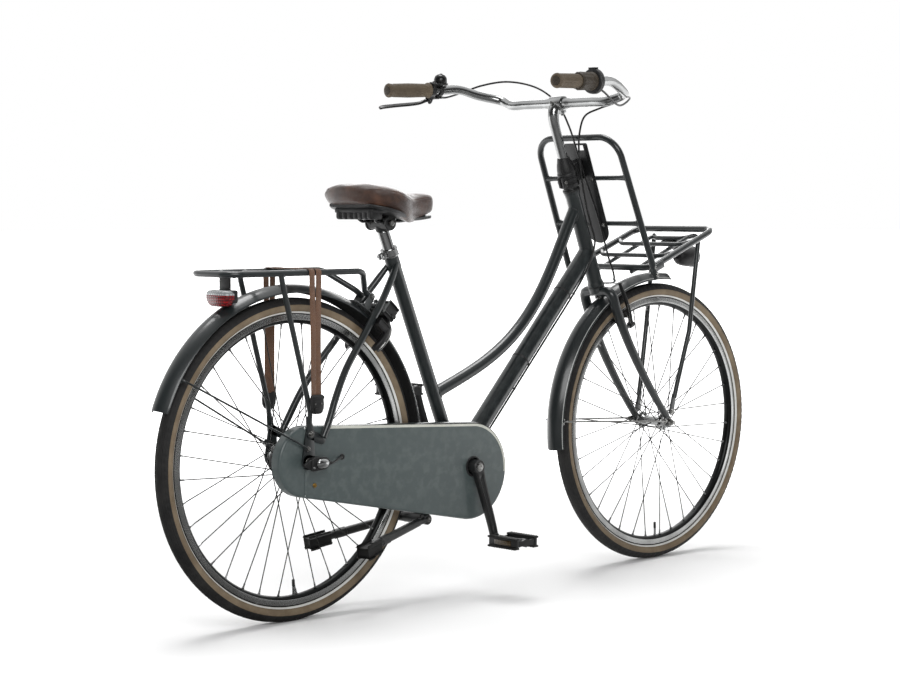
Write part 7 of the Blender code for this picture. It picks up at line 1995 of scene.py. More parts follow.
@dataclass
class Handlebar(Assembly):
    """Swept-back polished bar with its grips, twist grip and gear housing."""

    bends: tuple[tuple[float, float, float], ...] = (
        (0.0, 0.0, 0.155), (0.01, 0.013, 0.2), (-0.04, 0.026, 0.235), (-0.09, 0.039, 0.25),
        (-0.15, 0.036, 0.262), (-0.302, 0.031, 0.278))
    clamp: tuple[float, float] = (0.464, 0.03)
    radius: float = 0.0111
    thick: float = 0.0127

    def place(self, ahead: float, rise: float, side: float) -> Vector:
        """Point measured from the middle of the stem's clamp."""
        return LAYOUT.steering(*self.clamp) + Vector((ahead, side, rise))

    def grip_axis(self, side: Side) -> tuple[Vector, Vector]:
        """Tip of the bar and its direction inwards."""
        tip, inner = (self.place(a, r, side.value * s) for a, r, s in (self.bends[-1], self.bends[-2]))
        return tip, (inner - tip).normalized()

    def along_grip(self, side: Side, distance: float) -> Vector:
        """Point on the bar's straight end, a distance in from its tip."""
        tip, inwards = self.grip_axis(side)
        return tip + distance * inwards

    def build(self) -> list[bpy.types.Object]:
        """Make the pieces and return them."""
        points, shares = [], []
        for side in (Side.RIGHT, Side.LEFT):
            bends = [self.place(a, r, side.value * s) for a, r, s in self.bends]
            bends.insert(0, self.place(0.0, 0.0, side.value * 0.11))
            path = curve_through(bends, 10)[:-10] + [bends[-1]]
            middle = [self.place(0, 0, side.value * y) for y in (0.02, 0.031, 0.036, 0.041, 0.046)]
            run = [(p, 1.0) for p in reversed(path)]
            run += [(p, t) for p, t in zip(reversed(middle), (1.0, 1.03, 1.09, self.thick / self.radius,
                                                              self.thick / self.radius))]
            run = run if side is Side.RIGHT else run[::-1]
            points += [p for p, _ in run]
            shares += [t for _, t in run]
        self.add(tube("bar", points, self.radius, 32, shares), "handlebar_tube", POLISHED, "steering", "handlebar")
        full = ((0, 0.0135), (0.004, 0.0163), (0.03, 0.018), (0.1, 0.0165), (0.5, 0.0177), (0.92, 0.0165),
                (0.97, 0.02), (0.995, 0.0199), (1, 0.018))
        short = ((0, 0.0135), (0.006, 0.0163), (0.05, 0.018), (0.15, 0.0165), (0.9, 0.0171), (1, 0.0166))
        self.grip("grip_left", Side.LEFT, 0.0, 0.125, full, 26, "steering")
        self.grip("grip_right", Side.RIGHT, 0.0, 0.0797, short, 15, "steering")
        self.twist()
        return self.pieces

    def grip(self, name: str, side: Side, start: float, end: float, profile: Sequence[tuple[float, float]],
             ribs: int, body: str) -> None:
        """Rubber sleeve with fine ribs along it, and a plug in its end."""
        tip, inwards = self.grip_axis(side)
        length = end - start
        first = tip + start * inwards
        across = inwards.cross(Z_AXIS).normalized()
        up = across.cross(inwards)
        stations = [i / 70 for i in range(71)]
        knots, radii = [s for s, _ in profile], [r for _, r in profile]
        rings = []
        for share in stations:
            radius = float(np.interp(share, knots, radii))
            ribbed = 1.0 if 0.13 < share < 0.9 else 0.0
            ring = []
            for k in range(60):
                a = 2 * math.pi * k / 60
                wave = 0.00045 * ribbed * math.cos(ribs * a) + 0.00025 * ribbed * math.cos(share * ribs * 11.0)
                r = radius - 0.0003 + wave
                ring.append(first + share * length * inwards + r * (math.cos(a) * across + 0.97 * math.sin(a) * up))
            rings.append(ring)
        shape = rings_mesh("grip", rings, smooth=45)
        self.add(shape, name + "_sleeve", GRIP_RUBBER, body, name)
        plug = [(0.0, -0.0012), (0.007, -0.0012), (0.0098, -0.0006), (0.0104, 0.0006), (0.0104, 0.002)]
        dot = [(0.0, -0.0018), (0.0022, -0.0016), (0.0024, -0.0008)]
        self.add([lathe("plug", plug, first, inwards, 32), lathe("dot", dot, first, inwards, 16)], name + "_plug",
                 PLUG_RUBBER, body)

    def twist(self) -> None:
        """Turning grip with raised flutes, and the gear housing inside it."""
        tip, inwards = self.grip_axis(Side.RIGHT)
        across = inwards.cross(Z_AXIS).normalized()
        up = across.cross(inwards)
        rings = []
        for i in range(41):
            share = i / 40
            radius = float(np.interp(share, (0, 0.03, 0.08, 0.8, 0.86, 0.92, 1.0),
                                     (0.0182, 0.0195, 0.0205, 0.0196, 0.0196, 0.0214, 0.0214)))
            flute = 0.0008 if 0.07 < share < 0.8 else 0.0
            ring = []
            for k in range(84):
                a = 2 * math.pi * k / 84
                r = radius + flute * max(-0.4, math.cos(14 * a))
                ring.append(tip + (0.08 + 0.052 * share) * inwards + r * (math.cos(a) * across + math.sin(a) * up))
            rings.append(ring)
        self.add(rings_mesh("twist", rings, smooth=50), "twist_sleeve", PLUG_RUBBER, "twist_grip", "twist_grip")
        profile = [(0.0112, 0.0), (0.024, 0.0), (0.0266, 0.0008), (0.0284, 0.0024), (0.0288, 0.007), (0.029, 0.012),
                   (0.0276, 0.0138), (0.0248, 0.0158), (0.0196, 0.017), (0.016, 0.0174), (0.0112, 0.0174)]
        foot = tip + 0.1326 * inwards
        housing = lathe("housing", profile, foot, inwards, 56, looped=True, smooth=38)
        window = block("window", foot + 0.0075 * inwards + 0.0262 * up, (0.01, 0.016, 0.0064),
                       (inwards, across, up), 0.0018)
        exit_ = foot + 0.011 * inwards + Vector((0, 0, -0.0146))
        boss = rod("boss", exit_, exit_ + 0.012 * inwards - 0.0005 * Z_AXIS, 0.0046, 20, 0.0036, 0.0004)
        self.add([housing, boss], "gear_housing", BLACK_PLASTIC, "steering", "shifter_housing")
        self.add(window, "gear_window", GLOSS_PLASTIC, "steering")
        marks = [block("mark", foot + 0.0075 * inwards + 0.0262 * up + 0.0033 * up + k * 0.0032 * across,
                       (0.0044, 0.0007, 0.0003), (inwards, across, up), 0.0) for k in (-1.5, -0.5, 0.5, 1.5)]
        self.add(marks, "gear_marks", EDGE_LINE, "steering")


BAR = Handlebar()


@dataclass
class BrakeLever(Assembly):
    """Lever and its clamp, bolt, pivot and cable adjuster, on the left of the bar."""

    def __post_init__(self) -> None:
        """Work out the directions along the grip, towards the lever and of its pivot."""
        self.along = BAR.grip_axis(Side.LEFT)[1]
        across = Vector((0.0, 0.51, -0.86))
        self.across = (across - across.dot(self.along) * self.along).normalized()
        self.axle = self.along.cross(self.across)

    def beside(self, distance: float, offset: float) -> Vector:
        """Point beside the bar's end, on the lever's side."""
        return BAR.along_grip(Side.LEFT, distance) + offset * self.across

    def build(self) -> list[bpy.types.Object]:
        """Make the pieces and return them."""
        axes = (self.along, self.across, self.axle)
        ring = symmetric([(0.0112, -0.006), (0.0144, -0.006), (0.015, -0.0052)])
        shapes = [lathe("ring", ring, self.beside(0.1345, 0), self.along, 40, looped=True),
                  block("body", self.beside(0.1385, 0.0168), (0.019, 0.0125, 0.0122), axes, 0.0028, 4)]
        for s in (1, -1):
            outline = bar_outline((0.0, -0.006), (0.0, 0.0095), 0.0078, 0.0058, 12)
            shapes.append(sheet_plate("cheek", outline, 0.0025,
                                      self.beside(0.1345, 0.0185) + s * 0.0062 * self.axle,
                                      self.along, self.across, edge=0.0006))
        shapes.append(rod("barrel", self.beside(0.1435, 0.0197), self.beside(0.156, 0.0197), 0.0042, 24,
                          edge=0.0004))
        self.add(shapes, "lever_bracket", BLACK_METAL, "steering", "lever_clamp")
        knurl = []
        for k in range(3):
            knurl.append(rod("nut", self.beside(0.1565 + 0.0027 * k, 0.0197),
                             self.beside(0.1588 + 0.0027 * k, 0.0197), 0.0045 - 0.0005 * (k == 2), 12, edge=0.0004))
        pin = self.beside(0.1345, 0.026)
        knurl += [rod("pin", pin - 0.0081 * self.axle, pin + 0.0081 * self.axle, 0.0022, 20, edge=0.0003),
                  socket_bolt("bolt", self.beside(0.1345, 0.012) - 0.007 * self.axle, -self.axle, 0.0034, 0.0022)]
        self.add(knurl, "lever_pin", STEEL, "steering")
        stations = ((0.1405, 0.027, 0.0042, 0.0034), (0.1345, 0.0265, 0.005, 0.004),
                    (0.1285, 0.0272, 0.0044, 0.004), (0.11, 0.0345, 0.0046, 0.0034), (0.085, 0.038, 0.0066, 0.0028),
                    (0.035, 0.042, 0.007, 0.0027), (0.0, 0.046, 0.0066, 0.0028), (-0.0045, 0.0478, 0.0052, 0.003),
                    (-0.007, 0.049, 0.0034, 0.0024))
        table = np.array(stations)
        path = curve_through([Vector(row[:3]) for row in stations], 7)
        rings = []
        for i, entry in enumerate(path):
            depth = float(np.interp(-entry.x, -table[:, 0], table[:, 3]))
            middle = self.beside(entry.x, entry.y)
            ahead = (self.beside(*path[min(i + 1, len(path) - 1)].xy)
                     - self.beside(*path[max(i - 1, 0)].xy)).normalized()
            out = self.axle.cross(ahead).normalized()
            ring = []
            for k in range(20):
                a = 2 * math.pi * k / 20
                c, s = math.cos(a), math.sin(a)
                across = math.copysign(abs(c) ** 0.7, c) * entry.z
                rise = math.copysign(abs(s) ** 0.8, s) * depth
                ring.append(middle + across * self.axle + (rise + 0.0007 * c * c) * out)
            rings.append(ring)
        self.add(rings_mesh("blade", rings, smooth=50), "lever_blade", GLOSS_METAL, "brake_lever", "brake_lever")
        self.bell()
        return self.pieces

    def bell(self) -> None:
        """Small bell: strap, base and domed cup, with the thumb lever at its side."""
        centre = self.beside(0.1572, 0)
        up = Vector((0, -0.25, 0.97))
        up = (up - up.dot(self.along) * self.along).normalized()
        side = self.along.cross(up)
        strap = symmetric([(0.0112, -0.005), (0.0143, -0.005), (0.0148, -0.0044)])
        foot = centre + 0.0158 * up
        shapes = [lathe("strap", strap, centre, self.along, 40, looped=True),
                  rod("neck", centre + 0.013 * up, foot + 0.0004 * up, 0.0065, 28),
                  block("lug", centre - 0.0158 * up, (0.0084, 0.011, 0.0056), (self.along, side, up), 0.0012),
                  lathe("base", [(0.0, 0.0), (0.0186, 0.0), (0.0196, 0.001), (0.0196, 0.0034), (0.0176, 0.0046),
                                 (0.016, 0.0048), (0.0, 0.0048)], foot, up, 44)]
        self.add(shapes, "bell_base", BLACK_PLASTIC, "steering", "bell")
        cup = [(0.0158, 0.005), (0.0164, 0.0054), (0.0162, 0.01), (0.0154, 0.015), (0.0139, 0.0186),
               (0.0112, 0.0216), (0.0078, 0.0237), (0.004, 0.0248), (0.0, 0.0251)]
        self.add(lathe("cup", cup, foot, up, 48, smooth=60), "bell_cup", GLOSS_METAL, "steering")
        self.add(socket_bolt("bolt", foot + 0.0249 * up, up, 0.003, 0.0014), "bell_bolt", STEEL, "steering")
        pivot = foot + 0.0022 * up - 0.0262 * self.along
        eye = symmetric([(0.0024, -0.002), (0.0053, -0.002), (0.0055, -0.0016)])
        thumb = [lathe("eye", eye, pivot, up, 28, looped=True),
                 block("blade", pivot - 0.001 * self.along + 0.0125 * side, (0.0062, 0.0245, 0.003),
                       (self.along, side, up), 0.0012, 4),
                 block("pad", pivot - 0.0016 * self.along + 0.0225 * side + 0.001 * up, (0.008, 0.006, 0.0044),
                       (self.along, side, up), 0.0016, 4)]
        self.add(thumb, "bell_thumb", BLACK_PLASTIC, "bell_lever", "bell_lever")


# Saddle


@dataclass
class Saddle(Assembly):
    """Padded leather saddle with its seams, base, rails and rubber blocks, on its post."""

    rear_end: float = 0.157
    length: float = 0.264
    half: float = 0.119
    nose: float = 0.033
    thickness: float = 0.059
    level: float = 0.9365
    post_top: float = 0.588
    clamp_above: float = 0.0172
    rails_from: float = 0.17
    rails_span: float = 0.254
    voxel: float = 0.0042
    pressure: float = 4.0
    frames: int = 20
    swell: float = 0.005
    stations: int = 64
    sides: int = 72

    def half_width(self, share: float) -> float:
        """Half the width at a share of the length from the rear."""
        flare = 0.5 + 0.5 * math.cos(math.pi * min(1.0, max(0.0, (share - 0.24) / 0.58)))
        return self.nose + (self.half - self.nose) * flare

    def lift(self, share: float) -> float:
        """Rise or dip of the middle line."""
        return 0.012 * (1 - share) ** 2 - 0.02 * math.sin(math.pi * share) ** 2 * share - 0.009 * share

    def fullness(self, share: float) -> float:
        """Share of the section that is filled near the two ends."""
        power = 5 if share < 0.5 else 4
        return max(math.sqrt(max(0.0, 1 - abs(2 * share - 1) ** power)), 0.05)

    def under(self, share: float) -> float:
        """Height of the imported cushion's underside."""
        power = 6 if share < 0.5 else 4
        filled = max(math.sqrt(max(0.0, 1 - abs(2 * share - 1) ** power)), 0.3)
        return (0.9325 + 0.01 * (1 - share) ** 2 - 0.018 * math.sin(math.pi * share) ** 2 * share - 0.02 * share
                - (0.4 + 0.46 * (0.6 + 0.4 * filled)) * 0.05)

    def skin(self, share: float, angle: float, slack: float = 0.0) -> Vector:
        """Point of the cover: round shoulders, a slight channel along the top and deep side skirts."""
        full = self.fullness(share)
        half = self.half_width(share) * full - slack
        c, s = math.cos(angle), math.sin(angle)
        side = half * math.copysign(abs(c) ** 0.8, c)
        if s > 0:
            rise = 0.44 * s ** 0.85
            rise -= 0.055 * math.exp(-(side / 0.018) ** 2) * (1 - abs(2 * share - 1) ** 3)
        else:
            rise = max(0.74 * s, -0.5)
            side *= 1 - 0.13 * abs(s)
        wing = math.exp(-((share - 0.6) / 0.2) ** 2) * (abs(side) / self.half_width(share)) ** 1.4
        drop = 0.02 * wing * max(0.0, 0.35 - s)
        height = self.level + self.lift(share) - drop + self.thickness * (rise * (0.5 + 0.5 * full) - 0.4)
        return LAYOUT.rear(self.rear_end + self.length * share, side, height - slack * s)

    def build(self) -> list[bpy.types.Object]:
        """Make the pieces and return them."""
        shape = self.cushion()
        cover = self.add(shape, "saddle_cover", LEATHER, "seat", "saddle_cushion")
        self.seams(cover)
        self.base()
        self.post()
        return self.pieces

    def shares(self) -> list[float]:
        """Stations along the length, closer near both ends."""
        return [0.5 - 0.5 * math.cos(math.pi * (0.02 + 0.96 * i / self.stations)) for i in range(self.stations + 1)]

    def cushion(self) -> bpy.types.Object:
        """Closed padded form, blown up a little against its cover and drawn flat on its base."""
        slack = 0.0016
        rings = []
        for share in self.shares():
            rings.append([self.skin(share, 2 * math.pi * j / self.sides, slack) for j in range(self.sides)])
        shape = rings_mesh("cushion", rings, smooth=80)
        return self.puffed(shape)

    def puffed(self, shape: bpy.types.Object) -> bpy.types.Object:
        """Cover under light pressure: remeshed, blown by cloth with its rim held, and smoothed.

        Args:
            shape: The cushion, a little smaller than the finished one.

        Returns:
            The same object with its new mesh.
        """
        scene = bpy.context.scene
        remesh = shape.modifiers.new("even", "REMESH")
        remesh.mode = "VOXEL"
        remesh.voxel_size = self.voxel
        self.bake(shape)
        start = [v.co.copy() for v in shape.data.vertices]
        held = shape.vertex_groups.new(name="held")
        for vert in shape.data.vertices:
            share = (vert.co.x - LAYOUT.rear_axle.x - self.rear_end) / self.length
            low = self.level + self.lift(min(1.0, max(0.0, share))) - 0.62 * self.thickness
            held.add([vert.index], min(1.0, max(0.0, (low + 0.004 - vert.co.z) / 0.008)), "REPLACE")
        cloth = shape.modifiers.new("cover", "CLOTH")
        cloth.settings.quality = 6
        cloth.settings.mass = 0.4
        cloth.settings.tension_stiffness = 30
        cloth.settings.compression_stiffness = 30
        cloth.settings.bending_stiffness = 2.0
        cloth.settings.use_pressure = True
        cloth.settings.uniform_pressure_force = self.pressure
        cloth.settings.effector_weights.gravity = 0.0
        cloth.settings.vertex_group_mass = "held"
        for frame in range(1, self.frames + 1):
            scene.frame_set(frame)
        blown = shape.evaluated_get(bpy.context.evaluated_depsgraph_get()).data
        moved = [v.co.copy() for v in blown.vertices]
        shape.modifiers.remove(cloth)
        scene.frame_set(1)
        for vert, before, after in zip(shape.data.vertices, start, moved):
            step = after - before
            vert.co = before + step * min(1.0, self.swell / max(step.length, 1e-9))
        finer = shape.modifiers.new("finer", "SUBSURF")
        finer.levels = finer.render_levels = 1
        self.bake(shape)
        shape.vertex_groups.clear()
        soften(shape, 80)
        return shape

    def bake(self, shape: bpy.types.Object) -> None:
        """Apply a shape's modifiers to its mesh."""
        graph = bpy.context.evaluated_depsgraph_get()
        graph.update()
        mesh = bpy.data.meshes.new_from_object(shape.evaluated_get(graph), depsgraph=graph)
        shape.modifiers.clear()
        shape.data = mesh

    def on_cover(self, cover: bpy.types.Object, place: Vector) -> tuple[Vector, Vector]:
        """Nearest point of the cover and its normal."""
        _, near, normal, _ = cover.closest_point_on_mesh(place)
        return near, normal

    def seams(self, cover: bpy.types.Object) -> None:
        """Welt between top and side panels and its stitches."""
        welt, stitches = [], []
        for index in range(2):
            mirror = 1 if index == 0 else -1
            points = []
            for i in range(121):
                share = 0.045 + 0.915 * i / 120
                angle = 0.5 - 0.2 * math.sin(math.pi * share)
                place = self.skin(share, angle)
                near, normal = self.on_cover(cover, Vector((place.x, mirror * abs(place.y), place.z)))
                points.append((near, normal))
            path = [p - 0.0004 * n for p, n in points]
            welt.append(tube("welt", path, 0.0011, 10))
            for i in range(2, len(points) - 2, 2):
                (p, n), (q, _) = points[i], points[i + 1]
                ahead = (q - p).normalized()
                beside = n.cross(ahead)
                lift = beside if beside.z > 0 else -beside
                middle = p + 0.0034 * lift
                near, normal = self.on_cover(cover, middle)
                stitches.append(tube("stitch",
                                     [near - 0.0012 * ahead, near + 0.0004 * normal, near + 0.0012 * ahead],
                                     0.00042, 6))
        self.add(welt, "saddle_welt", LEATHER, "seat")
        self.add(stitches, "saddle_stitches", THREAD, "seat")

    def base(self) -> None:
        """Plastic base, its rim, the rails and the rubber blocks that carry them."""
        rings = []
        for i in range(3, 46):
            share = i / 48
            half = self.half_width(share) * self.fullness(share) * 0.8
            x, z = self.rear_end + self.length * share, self.under(share)
            ring = []
            for a, b in ((-1, 0.001), (1, 0.001), (1.0, -0.002), (0.94, -0.005), (0.5, -0.006), (-0.5, -0.006),
                         (-0.94, -0.005), (-1.0, -0.002)):
                ring.append(LAYOUT.rear(x, a * half, z + b))
            rings.append(ring)
        shapes = [rings_mesh("tray", rings, smooth=35)]
        rear = LAYOUT.rear(self.rails_from + self.rails_span * 0.13, 0, self.under(0.13) - 0.008)
        nose = LAYOUT.rear(self.rails_from + self.rails_span * 0.84, 0, self.under(0.86) + 0.004)
        for k in range(7):
            y = (k - 3) * 0.0172
            shapes.append(block("scallop", rear + Vector((0.002 - 0.0035 * abs(k - 3) / 3, y, -0.0085)),
                                (0.034, 0.0178, 0.0245), None, 0.0058, 5))
        shapes.append(block("shelf", rear + Vector((0.006, 0, -0.001)), (0.048, 0.128, 0.01), None, 0.003, 4))
        shapes.append(block("nose_block", nose + Vector((0, 0, -0.003)), (0.02, 0.024, 0.012), None, 0.003, 4))
        self.add(shapes, "saddle_tray", BLACK_PLASTIC, "seat", "saddle_base")
        head = self.head()
        rail_z = head.z + 0.004
        rails = []
        for s in (1, -1):
            points = [rear + Vector((0.0, s * 0.048, -0.002)), rear + Vector((0.016, s * 0.038, -0.01)),
                      Vector((head.x - 0.034, s * 0.0235, rail_z)), Vector((head.x - 0.026, s * 0.022, rail_z)),
                      Vector((head.x + 0.03, s * 0.022, rail_z)), Vector((head.x + 0.038, s * 0.0215, rail_z)),
                      nose + Vector((-0.02, s * 0.014, -0.006)), nose + Vector((0, s * 0.01, -0.002))]
            rails.append(tube("rail", curve_through(points, 8), 0.0035, 16))
        self.add(rails, "saddle_rails", GLOSS_METAL, "seat")

    def head(self) -> Vector:
        """Middle of the saddle clamp."""
        return LAYOUT.bracket + (self.post_top + self.clamp_above) * LAYOUT.seat_up

    def post(self) -> None:
        """Polished post, saddle clamp with its plates and bolt, and the band round the seat tube."""
        up, ahead, bb = LAYOUT.seat_up, LAYOUT.seat_ahead, LAYOUT.bracket
        profile = [(0.0136, 0.379), (0.0136, 0.584), (0.013, 0.5862), (0.0116, 0.5885), (0.011, 0.5905),
                   (0.011, 0.608)]
        self.add(lathe("post", profile, bb, up, 48, smooth=50), "post_tube", POLISHED, "seat", "seat_post")
        head = self.head()
        shapes = [rod("drum", head - 0.03 * Y_AXIS, head + 0.03 * Y_AXIS, 0.015, 36, edge=0.0022),
                  lathe("cup", [(0.0114, -0.017), (0.0148, -0.017), (0.0156, -0.014), (0.0156, -0.004),
                                (0.0114, -0.002)],
                        head, up, 36)]
        for s in (1, -1):
            shapes.append(block("jaw", head + Vector((0.002, s * 0.0215, 0.0035)), (0.036, 0.015, 0.0165), None,
                                0.0035, 4))
            shapes.append(rod("plate", head + s * 0.029 * Y_AXIS, head + s * 0.0345 * Y_AXIS, 0.0172, 28,
                              edge=0.0018))
        self.add(shapes, "clamp_drum", BLACK_METAL, "seat", "saddle_clamp")
        bolts = [hex_bolt("nut", head + s * 0.0345 * Y_AXIS, s * Y_AXIS, 0.0078, 0.0052) for s in (1, -1)]
        bolts.append(rod("end", head + 0.039 * Y_AXIS, head + 0.043 * Y_AXIS, 0.004, 20, edge=0.0006))
        self.add(bolts, "clamp_nuts", STEEL, "seat")
        start, end = 0.5243, 0.544
        band = [(0.0139, start), (0.0192, start), (0.0198, start + 0.0012), (0.0198, start + 0.003),
                (0.0189, start + 0.0042), (0.0189, end - 0.0042), (0.0198, end - 0.003), (0.0198, end - 0.0012),
                (0.0192, end), (0.0139, end)]
        middle = bb + (start + end) / 2 * up
        axes = (ahead, Y_AXIS, up)
        pieces = [lathe("band", band, bb, up, 56, looped=True, smooth=30)]
        for s in (1, -1):
            pieces.append(block("lug", middle - 0.0222 * ahead + s * 0.0055 * Y_AXIS, (0.015, 0.007, 0.014), axes,
                                0.0018))
            end_ = middle - 0.025 * ahead + s * 0.0092 * Y_AXIS
            pieces.append(hex_bolt("nut", end_, s * Y_AXIS, 0.005, 0.004))
        pieces.append(rod("bolt", middle - 0.025 * ahead - 0.009 * Y_AXIS, middle - 0.025 * ahead + 0.009 * Y_AXIS,
                          0.0024, 16))
        self.add(pieces, "seat_band", POLISHED, "frame", "seat_clamp")


# Carriers and lamps


@dataclass
class RearCarrier(Assembly):
    """Tubular luggage carrier with its legs, welds and the bracket over the guard."""

    height: float = 0.755
    half: float = 0.07
    tube_radius: float = 0.0067
    foot_angle: float = 57.5
    foot_radius: float = 0.41
    base_radius: float = 0.3801

    def build(self) -> list[bpy.types.Object]:
        """Make the pieces and return them."""
        z = self.height
        axle = LAYOUT.rear_axle
        foot = LAYOUT.around(axle, self.foot_radius, self.foot_angle, 0.0135)
        bend, tail = LAYOUT.rear(0.152, 0.068, z), LAYOUT.rear(-0.21, self.half, z)
        toe = foot + 0.022 * (bend - foot).normalized()
        toe.y = foot.y
        shapes = [tube("loop", bent(both_sides([foot, toe, bend, tail]), 0.034, 10), self.tube_radius, 24)]
        for ahead in (-0.155, -0.09):
            path = both_sides([LAYOUT.rear(ahead + 0.03, self.half, z), LAYOUT.rear(ahead, self.half - 0.03, z)])
            shapes.append(tube("rod", bent(path, 0.02, 8), 0.005, 18))
            for s in (1, -1):
                shapes.append(weld(LAYOUT.rear(ahead + 0.022, s * 0.0615, z), Vector((0.7, s * 0.7, 0)), 0.0045,
                                   LAYOUT.rear(ahead, s * self.half, z), X_AXIS, self.tube_radius, 0.0012))
        end = axle + Vector((0.004, 0, 0.06))
        for s in (1, -1):
            path = [LAYOUT.rear(-0.078, s * self.half, z), LAYOUT.rear(-0.074, s * self.half, z - 0.02),
                    end + Vector((-0.004, s * 0.0703, 0.05)), end + Vector((-0.004, s * 0.069, 0.022))]
            shapes.append(tube("leg", path, 0.006, 20, None, [1.0, 1.0, 1.0, 0.45], Y_AXIS))
            shapes.append(weld(path[1], Z_AXIS, 0.0055, path[0], X_AXIS, self.tube_radius, 0.0013))
            shapes.append(upright_bar("tab", end + Vector((-0.005, 0, 0.034)), end, 0.0064, 0.01, 0.003,
                                      s * 0.0673))
        self.add(shapes, "carrier_tubes", FRAME_PAINT, "frame", "rear_carrier")
        bolts = []
        for s in (1, -1):
            face = end + Vector((0, s * 0.0688, 0))
            bolts += [rod("washer", face, face + 0.0009 * s * Y_AXIS, 0.0068, 28, edge=0.0002),
                      socket_bolt("bolt", face + 0.0009 * s * Y_AXIS, s * Y_AXIS, 0.0046, 0.0036)]
        self.add(bolts, "carrier_leg_bolts", STEEL, "frame")
        self.bracket()
        return self.pieces

    def bracket(self) -> None:
        """Folded plate that follows the guard, its two ears and their bolts."""
        axle = LAYOUT.rear_axle
        angle = math.radians(self.foot_angle)
        out, along = Vector((math.cos(angle), 0, math.sin(angle))), Vector((-math.sin(angle), 0, math.cos(angle)))
        base = axle + self.base_radius * out
        rings = []
        for k in range(9):
            t = -0.027 + 0.062 * k / 8
            lift = 0.0002 - 0.35 * t * t
            middle = base + t * along + lift * out
            half = 0.0213 * (1.0 if 0 < k < 8 else 0.8)
            rings.append([middle + y * half * Y_AXIS + h * out for y, h in
                          ((-1, -0.0011), (1, -0.0011), (1, 0.0006), (0.93, 0.0013), (-0.93, 0.0013),
                           (-1, 0.0006))])
        foot = axle + self.foot_radius * out
        shapes = [rings_mesh("base", rings, smooth=35)]
        bolts = []
        for s in (1, -1):
            shapes.append(upright_bar("ear", base + 0.0085 * out, foot, 0.01, 0.008, 0.0025, s * 0.02105, 0.0005))
            face = foot + Vector((0, s * 0.0223, 0))
            bolts += [rod("washer", face, face + s * 0.0008 * Y_AXIS, 0.0068, 28),
                      hex_bolt("bolt", face + s * 0.0008 * Y_AXIS, s * Y_AXIS, 0.0053, 0.004)]
            pin = base + (0.018 if s > 0 else -0.014) * along + 0.0012 * out
            bolts += [rod("washer", pin, pin + 0.0008 * out, 0.006, 28),
                      hex_bolt("screw", pin + 0.0008 * out, out, 0.0046, 0.0032)]
        self.add(shapes, "carrier_foot_plate", GREY_METAL, "frame", "carrier_bracket")
        self.add(bolts, "carrier_foot_bolts", STEEL, "frame")


@dataclass
class TailLamp(Assembly):
    """Tail lamp hung from the carrier: black housing with fins, red lens with a clear upper strip."""

    height: float = 0.704

    def build(self) -> list[bpy.types.Object]:
        """Make the pieces and return them."""
        z = self.height
        rings = []
        for x, grow in ((0.0, -0.0062), (0.0012, -0.003), (0.004, -0.0006), (0.008, 0.0), (0.019, 0.0)):
            ring = []
            half_y, half_z = 0.038 + grow, 0.0175 + grow * 0.7
            for k in range(56):
                a = 2 * math.pi * k / 56
                c, s = math.cos(a), math.sin(a)
                y = half_y * math.copysign(abs(c) ** 0.42, c)
                h = half_z * math.copysign(abs(s) ** 0.55, s)
                taper = 1.0 - 0.22 * max(0.0, -h / half_z)
                bow = 0.0045 * (y / 0.038) ** 2
                ring.append(LAYOUT.rear(-0.199 + x + bow, y * taper, z + h))
            rings.append(ring)
        lens = rings_mesh("lens", rings, smooth=50)
        upper = joined("upper", [turned_copy(lens, Vector(), Z_AXIS, 0.0)])
        cut_z = z + 0.007
        for obj, keep_low in ((lens, True), (upper, False)):
            bm = bmesh.new()
            bm.from_mesh(obj.data)
            cut = bmesh.ops.bisect_plane(bm, geom=[*bm.verts, *bm.edges, *bm.faces], plane_co=(0, 0, cut_z),
                                         plane_no=(0, 0, 1), clear_outer=keep_low, clear_inner=not keep_low)
            edges = [e for e in cut["geom_cut"] if isinstance(e, bmesh.types.BMEdge)]
            bmesh.ops.contextual_create(bm, geom=edges)
            bm.to_mesh(obj.data)
            bm.free()
        self.add(lens, "tail_lamp_red", RED_LENS, "frame", "tail_lamp_lens")
        self.add(upper, "tail_lamp_clear", CLEAR_LENS, "frame")
        rim = block("rim", LAYOUT.rear(-0.1795, 0, cut_z + 0.0002), (0.015, 0.0742, 0.0012), None, 0.0004)
        body = [block("body", LAYOUT.rear(-0.1717, 0, z + 0.0035), (0.0165, 0.073, 0.0275), None, 0.0046, 5),
                block("neck", LAYOUT.rear(-0.1707, 0, 0.7325), (0.0048, 0.034, 0.036), None, 0.001),
                block("flange", LAYOUT.rear(-0.1587, 0, 0.7484), (0.0265, 0.034, 0.0022), None, 0.0006),
                block("back", LAYOUT.rear(-0.1617, 0, z + 0.0035), (0.006, 0.052, 0.019), None, 0.0024, 4), rim]
        for k in range(4):
            body.append(block("fin", LAYOUT.rear(-0.1582, (k - 1.5) * 0.0115, z + 0.0035), (0.003, 0.0016, 0.016),
                              None, 0.0005))
        self.add(body, "tail_lamp_body", BLACK_PLASTIC, "frame", "tail_lamp_housing")
        screws = [socket_bolt("screw", LAYOUT.rear(-0.1545, y, 0.7472), -Z_AXIS, 0.0036, 0.0022)
                  for y in (-0.01, 0.01)]
        self.add(screws, "tail_lamp_screws", STEEL, "frame")
        return self.pieces


